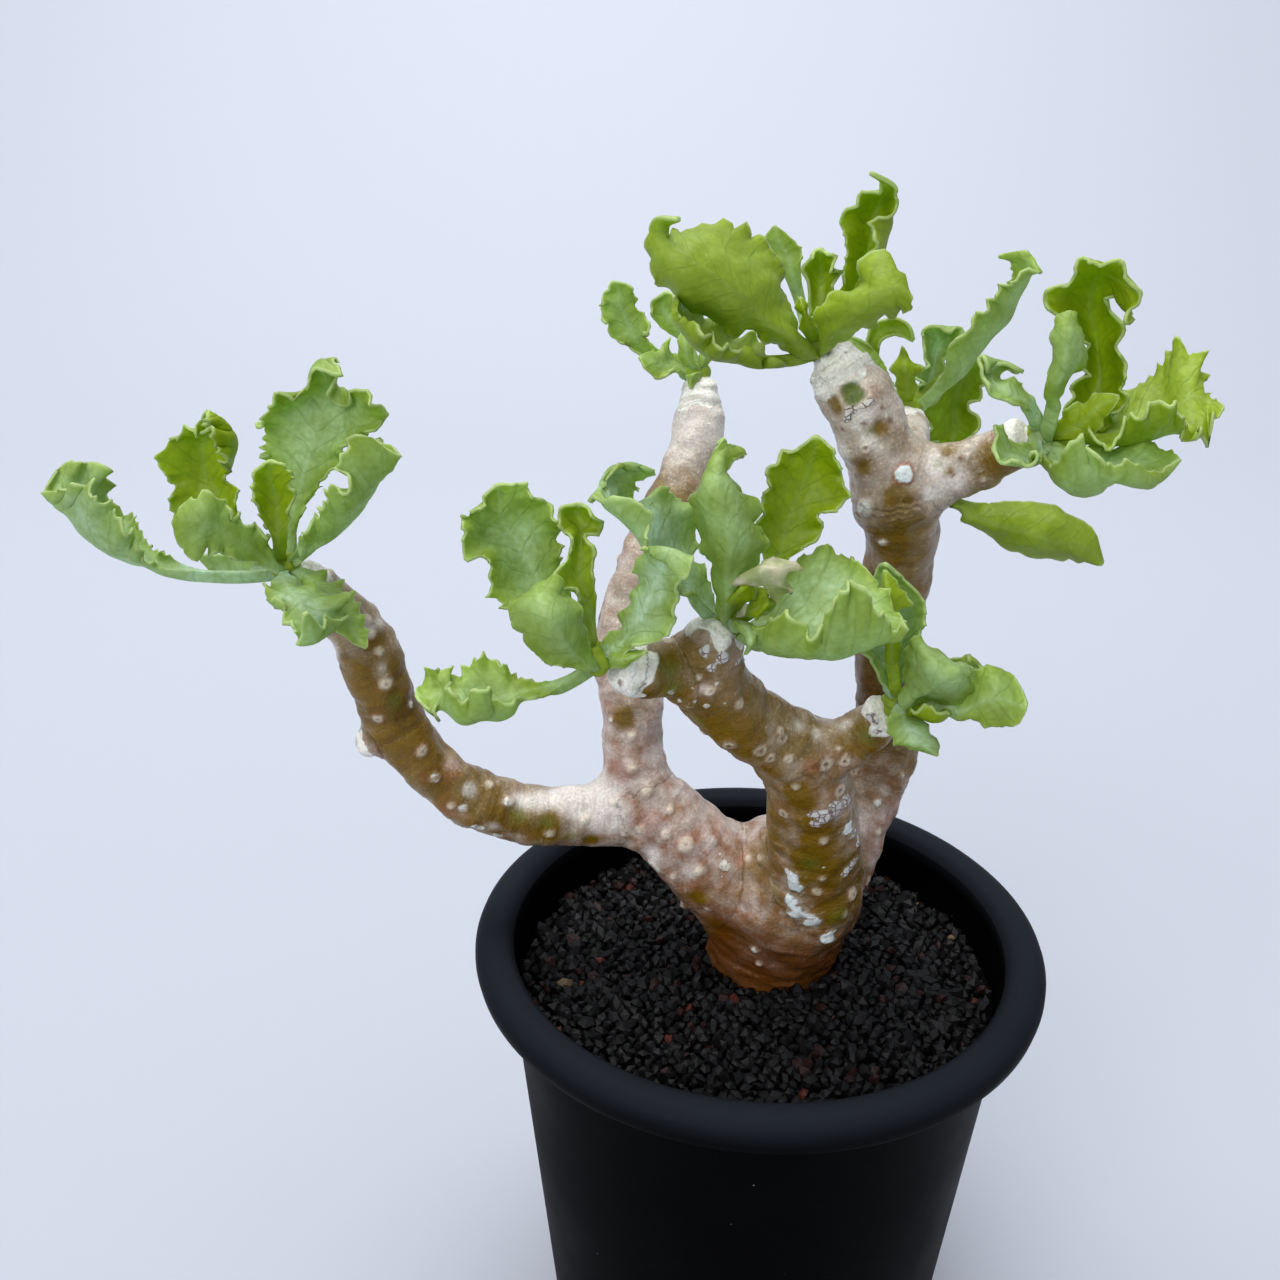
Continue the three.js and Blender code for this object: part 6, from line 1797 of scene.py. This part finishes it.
FRONT_RIGHT_LEAVES = (
    Leaf(((-0.5, -1, 1.5),), (
        ((-2, -2, 3.5), (-1, -1, 3), (0, -1, 3.5)), ((-5, -3, 8), (-1, 1, 6.5), (1, 0, 7)),
        ((-7.5, -4, 13), (-1.5, 2, 10.5), (2.5, 0, 11.5)), ((-7, 0, 15.5), (-1.5, 3, 14.5), (3, 0, 15)),
        ((-6, 2, 19), (-2, 3, 19), (1.5, 1, 18.5)), ((-4.5, 3, 21.5), (-3, 3, 21.5), (-1, 1, 21)),
    ), (-4, 0, 23.5), frill=0.4, tooth=0.6, sort=LeafSort.BLOOMED),
    Leaf(((0.5, -2, 1.5),), (
        ((4, -2, 2), (1.5, -4, 4), (0.5, -2, 3.5)), ((7.5, -3, 1.5), (3, -8, 7), (0.5, -3, 9)),
        ((9, -4, 3), (4, -10, 9.5), (1, -3, 13)), ((10, -4, 4.5), (5.5, -10, 10), (4, -3, 11)),
        ((9.5, -5, 7), (7.5, -8, 9.5), (7, -3, 9)),
    ), (9.5, -5, 8.5), frill=0.4, tooth=0.6),
    Leaf(((4.5, -3, 1), (7, -5, 1.5)), (
        ((9, -4, 3), (9, -6, 2), (8.5, -6, 0)), ((10.5, -3, 6), (11.5, -7, 4), (11.5, -7, 0.5)),
        ((12.5, -3, 8), (14, -8, 5), (14, -8, 0)), ((16, -4, 8), (16, -8, 4.5), (16.5, -9, 1)),
        ((17, -6, 6.5), (17.5, -8, 4), (17.5, -9, 2.5)),
    ), (18, -8, 4.5), frill=0.4, tooth=0.5),
    Leaf(((0, -3, 1.5),), (
        ((2, -3, 0), (0, -5, 0.5), (-2, -4, 0.5)), ((3.5, -5, -0.5), (0, -8, 0), (-3, -7, -1)),
        ((4.5, -6, -1.5), (1, -10, -1), (-2, -9, -2.5)), ((5.5, -7, -3.5), (3, -10, -2.5), (1.5, -9, -3.5)),
    ), (5, -9, -4.5), frill=0.2, tooth=0.4, sort=LeafSort.BLOOMED),
    Leaf(((3, 2, 0), (5.5, 3, 2)), (
        ((7.5, 2, 6.5), (8.5, 2, 5), (9, 1, 4)), ((9, 2, 7.5), (10.5, 1, 6), (11, -1, 3)),
        ((11, 1, 8), (12.5, 0, 6), (12.5, -2, 3.5)),
    ), (13.5, -2, 4.5), frill=0.8),
    Leaf(((1, -3, 1),), (
        ((3, -2, 1.5), (2.5, -6, 1.5), (1.5, -8, 3.5)), ((5, -2, 1.5), (4.5, -7, 1), (4, -9, 4)),
    ), (7, -6, 2), sort=LeafSort.YOUNG),
    Leaf(((-1, -2, 3.5), (-2, -3, 8)), (
        ((-4, -3, 11.5), (-3, -5, 12.5), (-1, -4, 13)), ((-5.5, -3, 16.5), (-4, -6, 18), (-1, -4, 17.5)),
        ((-5.5, -3, 20.5), (-4.5, -6, 21.5), (-1.5, -4, 20.5)),
    ), (-4.5, -3, 24), sort=LeafSort.YOUNG),
)

TOP_LEAVES = (
    Leaf(((-2, -2, -0.5),), (
        ((-4, -3, 2.5), (-5.5, -7, 2.5), (-7, -5, 1)), ((-5.5, -2, 6.5), (-10, -10, 5.5), (-11.5, -6, 3)),
        ((-6.5, -1, 11.5), (-13.5, -13, 9), (-16, -7, 4)),
        ((-9.5, -1, 15.5), (-17, -15, 11.5), (-19.5, -8, 6)),
        ((-14.5, -2, 18), (-20, -16, 13.5), (-22, -10, 8)),
        ((-19.5, -4, 18), (-22.5, -16, 15), (-25, -11, 10.5)),
        ((-22.5, -7, 17), (-24, -15, 16), (-26.5, -12, 12.5)),
        ((-24.5, -10, 17), (-25.5, -14, 17), (-27, -12, 16.5)),
        ((-24.5, -12, 19), (-25.5, -14, 19.5), (-26.5, -14, 20)),
    ), (-23, -16, 20.5), frill=0.6, tooth=1.3, sort=LeafSort.SUNLIT),
    Leaf(((-4.5, -4, -0.5), (-9.5, -9, 0)), (
        ((-12, -13, 1.5), (-13.5, -11, 0), (-9, -2, 1.5)),
        ((-16.5, -17, 3.5), (-17.5, -13, 1), (-13, -2, 2.5)),
        ((-19.5, -18, 5.5), (-20.5, -14, 3), (-17, -3, 4.5)),
        ((-21, -18, 6.5), (-22, -15, 5), (-19.5, -5, 6.5)),
        ((-23, -17, 7), (-23, -15, 7.5), (-21.5, -8, 8.5)),
    ), (-23, -13, 9), frill=1.0, tooth=0.9, sort=LeafSort.SUNLIT),
    Leaf(((-1.5, 6, 2), (-3, 10, 7)), (
        ((-5.5, 11, 10), (-4, 10, 10), (-2.5, 10, 11.5)), ((-7.5, 12, 13), (-5, 11, 13), (-2.5, 11, 13.5)),
        ((-8.5, 12, 15), (-6.5, 11, 15), (-4.5, 11, 15.5)),
    ), (-7, 11, 17), tooth=0.7),
    Leaf(((-0.5, -1, 3),), (
        ((-2, -1, 6.5), (-0.5, 0, 6.5), (1, -1, 7)), ((-2.5, -1, 10), (-0.5, 1, 9.5), (1.5, -1, 10)),
        ((-3, -2, 12.5), (-0.5, 1, 12), (1.5, -2, 12)), ((-2.5, -2, 14), (-1, 0, 13.5), (0.5, -2, 13.5)),
    ), (-1, -1, 14.5), sort=LeafSort.YOUNG),
    Leaf(((2, 1, 1.5), (3.5, 3, 5)), (
        ((2.5, 2, 8), (5, 4, 7.5), (6, 1, 8.5)),
        ((3.5, 2, 12.5), None, (7, 5, 12), (8, 2, 12.5), (5.5, -2, 13)),
        ((3, 2, 16), None, (7.5, 5, 16), (9, 2, 16), (6, -3, 16)),
        ((2.5, 2, 19), None, (8, 5, 19.5), (9.5, 2, 18.5), (6.5, -3, 18.5)),
        ((4, 1, 22), (8.5, 4, 21.5), (9.5, -1, 21)), ((7.5, 0, 22.5), (9, 1, 23), (9.5, -1, 22.5)),
        ((7.5, -1, 24), (8.5, -1, 24), (9.5, -2, 23.5)),
    ), (5.5, -3, 25.5), frill=0.8, tooth=1.0, sort=LeafSort.YOUNG),
    Leaf(((0.5, -3, 1),), (
        ((3, -4, 1.5), (0.5, -7, 3.5), (-1, -6, 4)), ((5.5, -5, 3), (2.5, -10, 6), (-2.5, -7, 6.5)),
        ((7, -6, 5), (4.5, -12, 8), (1, -8, 9)), ((9, -8, 6), (6.5, -13, 9.5), (5, -8, 11)),
        ((10, -10, 7), (8.5, -13, 10.5), (7, -7, 15)), ((11, -12, 7.5), (9.5, -13, 10), (9, -9, 12.5)),
    ), (11, -13, 9), frill=0.7, tooth=1.2, sort=LeafSort.SUNLIT),
    Leaf(((-1.5, -3, 1.5),), (
        ((-4, -5, 4), (-3, -7, 4.5), (-1.5, -5, 4)), ((-4.5, -6, 6.5), (-4, -9, 7), (-2.5, -6, 6.5)),
    ), (-4.5, -7, 8.5), sort=LeafSort.YOUNG),
)

BEHIND_RIGHT_LEAVES = (
    Leaf(((2.5, -1, 3), (5, -2, 6)), (
        ((7, 2, 8.5), (8.5, -1, 8), (4.5, -5, 11.5)), ((10, 3, 13), (12, -1, 13), (7, -6, 15.5)),
        ((12.5, 3, 16.5), (14.5, -2, 16.5), (9.5, -7, 19.5)),
        ((14.5, 2, 20), (16, -3, 20.5), (11, -8, 22.5)), ((16, 0, 23), (17, -4, 23.5), (13.5, -8, 25)),
        ((15, -1, 26), (17, -5, 26), (18, -8, 25.5)), ((13.5, -1, 27.5), (16, -4, 28), (18.5, -6, 26.5)),
    ), (16.5, -4, 28.5), frill=0.6, tooth=0.6),
    Leaf(((-1, 1, 0.5),), (
        ((-4.5, 1, 2), (-3, 2, 2.5), (-1.5, 3, 2)), ((-7, 2, 5.5), (-5.5, 3, 5.5), (-3, 4, 5)),
        ((-9, 3, 8.5), (-7, 4, 8.5), (-5, 5, 8.5)), ((-11, 4, 11), (-9.5, 5, 11), (-7.5, 5, 10.5)),
    ), (-12, 5, 12.5), frill=0.4, tooth=0.6),
    Leaf(((-2.5, 4, 2), (-6, 6, 7)), (
        ((-7.5, 6, 10.5), (-6.5, 7, 10.5), (-5.5, 6, 10)), ((-7, 6, 13.5), (-5.5, 7, 12.5), (-5, 6, 11.5)),
        ((-3.5, 6, 15.5), (-3, 7, 13.5), (-3, 6, 12.5)), ((-1, 5, 14.5), (-1, 6, 13.5), (-1.5, 6, 12)),
    ), (0.5, 5, 11.5), sort=LeafSort.SUNLIT),
    Leaf(((-1, -2, 2),), (
        ((-3.5, -3, 4), (-1.5, -4, 4.5), (0.5, -3, 4)), ((-4.5, -3, 7.5), (-2.5, -5, 8.5), (0, -3, 8)),
        ((-3.5, -3, 10), (-2.5, -4, 10.5), (-1, -3, 9.5)),
    ), (-3, -4, 12), sort=LeafSort.YOUNG),
    Leaf(((1.5, 3, 1),), (
        ((2, 4, 3.5), (4.5, 7, 3.5), (6.5, 6, 5)), ((3, 6, 8), (6, 10, 7.5), (8, 8, 9)),
        ((2.5, 7, 11), (6.5, 11, 10.5), (9, 7, 11)), ((2, 7, 12.5), (5.5, 10, 12.5), (9, 6, 13)),
    ), (4, 7, 13.5), sort=LeafSort.BLOOMED),
    Leaf(((4.5, 5, 1.5), (8.5, 8, 4)), (
        ((15, 8, 7.5), (12, 10, 5.5), (8.5, 6, 3.5)), ((14.5, 8, 3), (11, 11, 1), (6.5, 6, 1)),
        ((13, 8, -1.5), (10.5, 11, -3), (5, 6, -2.5)), ((14.5, 6, -5), (11, 10, -6.5), (5.5, 5, -6)),
    ), (10, 7, -8.5), tooth=0.6, sort=LeafSort.SUNLIT),
)

LOW_RIGHT_LEAF = (
    Leaf(((1.5, 0, -0.5),), (
        ((3.5, 1, -3), (2.5, 0, -1.5), (4, 1, -0.5)), ((8, 2, -6.5), (6.5, -1, -3), (7.5, 2, -1)),
        ((12.5, 3, -9.5), (11, -2, -4), (12, 3, -1)), ((17.5, 3, -10.5), (15, -3, -5), (17, 3, -1.5)),
        ((21.5, 2, -10.5), (19, -3, -6), (20.5, 2, -3)), ((24, 0, -10), (23, -2, -7.5), (24, 1, -4.5)),
    ), (26, -1, -10), frill=0.2, tooth=0.35, sort=LeafSort.SUNLIT),
)

RIGHT_LEAVES = (
    Leaf(((-1.5, -3, 3), (-3, -4, 5)), (
        ((-4.5, -6, 5.5), (-5, -6, 6.5), (-3.5, -4, 7.5)), ((-8, -8, 7), (-8, -7, 8), (-6, -5, 9.5)),
        ((-11.5, -9, 8.5), (-10, -7, 9), (-8, -5, 9.5)), ((-13, -8, 11), (-10.5, -5, 10.5), (-8.5, -4, 10)),
        ((-13, -7, 13), (-9.5, -4, 11.5), (-8, -4, 11)),
    ), (-6, -5, 10.5), tooth=0.5, sort=LeafSort.BLOOMED),
    Leaf(((-1, -4, 2.5), (-1, -5, 6)), (
        ((0, -6, 8.5), (-2, -8, 9), (-2.5, -7, 8)), ((2.5, -5, 11), (-1.5, -10, 12.5), (-2.5, -7, 11.5)),
        ((3.5, -4, 14), (-1.5, -10, 15.5), (-2.5, -7, 15)), ((1.5, -5, 17), (-1.5, -9, 18), (-2.5, -7, 18)),
        ((0.5, -6, 19.5), (-1.5, -8, 19), (-2.5, -7, 19)),
    ), (-1, -7, 19.5), frill=0.8),
    Leaf(((2, 1, 0),), (
        ((3.5, 1, 1.5), (6.5, 1, 1), (9.5, 0, 1)), ((4, 2, 5), (8.5, 5, 4), (12, 1, 5.5)),
        ((5, 3, 8.5), (10, 7, 7.5), (12, 1, 9)), ((5.5, 3, 12.5), (9.5, 8, 11.5), (10.5, 2, 13)),
        ((3, 2, 16.5), (8, 8, 15.5), (9.5, 3, 17)), ((-1, 1, 20), (6.5, 7, 19.5), (9, 3, 19)),
        ((1, 1, 23), (6.5, 5, 23), (9.5, 1, 21)), ((4, -2, 26), (8, 0, 23.5), (9.5, -4, 17.5)),
    ), (10, -4, 22), frill=0.9, tooth=1.1, sort=LeafSort.YOUNG),
    Leaf(((2.5, -1, 0),), (
        ((10, 5, 2), None, (7.5, 0, 0), (6.5, -4, 0), (5.5, -7, 2.5)),
        ((15, 7, 4.5), None, (12, 0, 1), (10.5, -5, 0), (9, -9, 4)),
        ((16.5, 8, 7.5), None, (15.5, 0, 2), (14, -6, 1), (11, -11, 7.5)),
        ((19.5, 8, 10), None, (18.5, 0, 3), (16.5, -7, 2.5), (14.5, -11, 8)),
        ((21, 8, 13), None, (20, -1, 5), (19, -7, 3), (17.5, -10, 5)),
        ((24.5, 5, 12), None, (21.5, -1, 6.5), (21, -6, 3.5), (19, -10, 2.5)),
        ((25, 3, 6.5), (24.5, -1, 5.5), (22.5, -7, 3.5)),
    ), (26, -3, 5.5), frill=1.2, tooth=1.1, sort=LeafSort.SUNLIT),
    Leaf(((-1.5, -4, 0),), (
        ((-3.5, -11, -2), (-2.5, -6, -2), (-3, -4, 0)), ((-6.5, -12, -1.5), (-6, -8, -1.5), (-6.5, -6, 1)),
        ((-9, -12, -1), (-8.5, -9, -0.5), (-8.5, -7, 3.5)),
    ), (-10, -10, 0.5), sort=LeafSort.BLOOMED),
    Leaf(((-1, -4, -0.5),), (
        ((2, -2, -0.5), None, (1.5, -6, -1), (-0.5, -10, -3.5), (-2, -12, -1.5)),
        ((6, -2, -1), None, (4.5, -7, -2), (1.5, -13, -5), (-1, -15, 1.5)),
        ((9, -3, -1), None, (7.5, -8, -2), (4.5, -14, -4.5), (0, -17, 4)),
        ((12, -4, -0.5), None, (10, -9, -2), (7, -14, -3), (4.5, -16, 0)),
        ((15, -5, 0.5), None, (13, -9, -2), (11, -14, -3.5), (7.5, -16, 0.5)),
        ((17, -7, 0), None, (15, -10, -2), (14, -13, -3), (11.5, -14, -2)),
    ), (17, -11, -0.5), frill=0.7, tooth=0.7),
    Leaf(((1, -2, 0.5),), (
        ((2.5, -2, 4.5), (4, -4, 2.5), (5.5, -5, 1)), ((6, -3, 7.5), (6, -5, 5.5), (7, -6, 3)),
    ), (9.5, -4, 7), frill=0.8, sort=LeafSort.YOUNG),
)

BEHIND_LEFT_LEAVES = (
    Leaf(((-1.5, 0, 1), (-5.5, -1, 2.5)), (
        ((-11, -2, 4.5), (-10, -1, 4.5), (-9.5, -2, 6.5)), ((-15, -3, 6.5), (-12, -2, 7), (-9, -2, 9)),
        ((-17.5, -3, 10), (-13.5, -2, 10.5), (-10, -2, 11.5)),
        ((-18.5, -4, 13), (-15, -3, 13.5), (-11.5, -2, 13.5)),
        ((-17, -4, 16), (-15, -3, 16), (-12.5, -3, 16.5)),
    ), (-16, -4, 17.5), frill=0.9, tooth=0.9),
    Leaf(((-1.5, -1, 0.5),), (
        ((-4.5, -4, 2), (-4, -2, 2), (-4, 0, 4.5)), ((-7, -6, 1), (-6.5, -4, 2.5), (-5.5, -1, 7)),
        ((-9.5, -7, 2), (-8.5, -5, 3.5), (-8, -2, 5.5)),
    ), (-11, -6, 4.5), frill=0.6),
    Leaf(((-1, 3, 3), (-2.5, 4, 6)), (
        ((-7, 4, 8), (-5, 4, 9), (-3.5, 3, 10)), ((-9, 4, 11), (-6.5, 5, 11.5), (-4, 3, 12.5)),
        ((-8, 4, 13), (-6.5, 5, 13.5), (-4.5, 3, 14)),
    ), (-6, 4, 14.5)),
    Leaf(((-0.5, -3, 1),), (
        ((0, -4, 1), (-1, -5, 1), (-2.5, -4, 0.5)), ((-0.5, -4, -1), (-1.5, -5, -0.5), (-2, -4, -0.5)),
    ), (-1.5, -5, -1.5)),
    Leaf(((0.5, -1, 1),), (
        ((0, 0, 2.5), (1, -2, 3), (2.5, 0, 3)), ((0.5, 0, 4.5), (1.5, -1, 5), (2.5, 0, 4.5)),
    ), (2.5, 0, 6)),
    Leaf(((-0.5, -2, 1.5),), (
        ((-3.5, -2, 3), (-2, -3, 3.5), (-0.5, -2, 3)), ((-4, -2, 6.5), (-2.5, -3, 6.5), (-1, -2, 6)),
    ), (-3, -2, 8.5)),
)

HEADS = (
    LeafyHead("head_far_left", (-81, -2, 166), FAR_LEFT_LEAVES),
    LeafyHead("head_front_left", (-28.5, -26, 161), FRONT_LEFT_LEAVES),
    LeafyHead("head_front", (-9, -20, 165), FRONT_LEAVES),
    LeafyHead("head_front_right", (19, -15, 148.5), FRONT_RIGHT_LEAVES),
    LeafyHead("head_top", (5.5, 4, 202), TOP_LEAVES),
    LeafyHead("head_behind_right", (26, 30, 186), BEHIND_RIGHT_LEAVES),
    LeafyHead("leaf_low_right", (28.5, 3, 177), LOW_RIGHT_LEAF, bud_radius=0),
    LeafyHead("head_right", (40, -4, 190), RIGHT_LEAVES),
    LeafyHead("head_behind_left", (-12, 45, 189), BEHIND_LEFT_LEAVES),
)


# Studio


@dataclass(frozen=True)
class Studio:
    """A plain pale floor that sweeps up behind, large soft lamps, and the camera, in metres."""

    camera_at: Point = (-0.02242, -0.2005, 0.23827)
    camera_right: Point = (0.99995, 0.00404, 0.00947)
    camera_up: Point = (-0.0103, 0.39183, 0.91998)
    lens: float = 36.06
    floor: str = "#abafb8"
    sky: str = "#e2e9f3"
    sky_strength: float = 0.72
    backdrop_y: float = 1.6
    backdrop_height: float = 2.5
    backdrop_bend: float = 0.9

    def build(self) -> None:
        """Sets up the floor, the lamps, the sky and the camera."""
        self.add_floor()
        self.add_lamp("overhead_lamp", (-0.35, 0.3, 2.2), 1.8, 27.0)
        self.add_lamp("backdrop_lamp", (0, 0.5, 1.6), 1.2, 18.0, (0, 1.6, 0.5))
        self.add_lamp("window_lamp", (-1.1, -1.9, 1.6), 1.5, 36.0)
        world = bpy.data.worlds.new("pale_sky")
        bpy.context.scene.world = world
        world.use_nodes = True
        world.node_tree.nodes.clear()
        values = {"Color": linear(self.sky), "Strength": self.sky_strength}
        light = add_node(world.node_tree, "Background", values)
        add_node(world.node_tree, "OutputWorld", {"Surface": light.outputs[0]})
        bpy.context.scene.view_settings.view_transform = "Standard"
        right, up = Vector(self.camera_right), Vector(self.camera_up)
        back = right.cross(up)
        turn = Matrix((right, up, back)).transposed().to_4x4()
        bpy.ops.object.camera_add()
        camera = bpy.context.object
        camera.matrix_world = Matrix.Translation(self.camera_at) @ turn
        camera.data.lens = self.lens
        camera.data.sensor_width = 36
        camera.data.clip_start = 0.005
        bpy.context.scene.camera = camera

    def add_floor(self) -> None:
        """Lays the floor, whose far edge is drawn up into a backdrop with a wide bend."""
        deselect_all()
        far = self.backdrop_y - 0.1
        bpy.ops.mesh.primitive_plane_add(size=4)
        floor = bpy.context.object
        bpy.ops.object.mode_set(mode="EDIT")
        shape = bmesh.from_edit_mesh(floor.data)
        for vertex in shape.verts:
            vertex.co.y = self.backdrop_y if vertex.co.y > 0 else -2
        for edge in shape.edges:
            edge.select = all(v.co.y > far for v in edge.verts)
        bmesh.update_edit_mesh(floor.data)
        rise = {"value": (0, 0, self.backdrop_height)}
        bpy.ops.mesh.extrude_edges_move(TRANSFORM_OT_translate=rise)
        bpy.ops.mesh.select_all(action="DESELECT")
        shape = bmesh.from_edit_mesh(floor.data)
        for edge in shape.edges:
            if all(v.co.y > far and v.co.z < 0.1 for v in edge.verts):
                edge.select_set(True)
        bmesh.update_edit_mesh(floor.data)
        bpy.ops.mesh.bevel(offset=self.backdrop_bend, segments=24, affect="EDGES")
        bpy.ops.object.mode_set(mode="OBJECT")
        bpy.ops.object.shade_smooth()
        made = bpy.data.materials.new("pale_floor")
        made.use_nodes = True
        skin = made.node_tree.nodes["Principled BSDF"]
        skin.inputs["Base Color"].default_value = linear(self.floor)
        skin.inputs["Roughness"].default_value = 0.7
        floor.data.materials.append(made)
        floor.name = "floor"

    def add_lamp(self, name: str, place: Point, size: float, power: float, aim: Point = (0, 0, 0.12)) -> None:
        """Adds one large soft lamp.

        Args:
            name: Its name.
            place: Where it stands, in metres.
            size: The length of its side, in metres.
            power: Its power in watts.
            aim: The point that it faces.
        """
        bpy.ops.object.light_add(type="AREA", location=place)
        lamp = bpy.context.object
        lamp.name = name
        lamp.data.size = size
        lamp.data.energy = power
        lamp.rotation_euler = (Vector(aim) - Vector(place)).to_track_quat("-Z", "Y").to_euler()


def main() -> None:
    """Loads the solids, builds each piece in their place and sets up the studio."""
    logging.basicConfig(level=logging.INFO, format="%(message)s")
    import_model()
    Studio().build()
    hand_in(POT.build(MouldedPolypropylene()), "pot")
    hand_in(LavaFilling(POT).build(CrushedLava()), "gravel")
    hand_in(STEM.build(CaudexBark()), "stem")
    finish = LeafFinish()
    sides = [
        finish.material("leaf_upper", True),
        finish.material("leaf_under", False),
        finish.material("leaf_edge", False),
    ]
    for number, head in enumerate(HEADS):
        hand_in(head.build(number, sides), head.node)


if __name__ == "__main__":
    main()
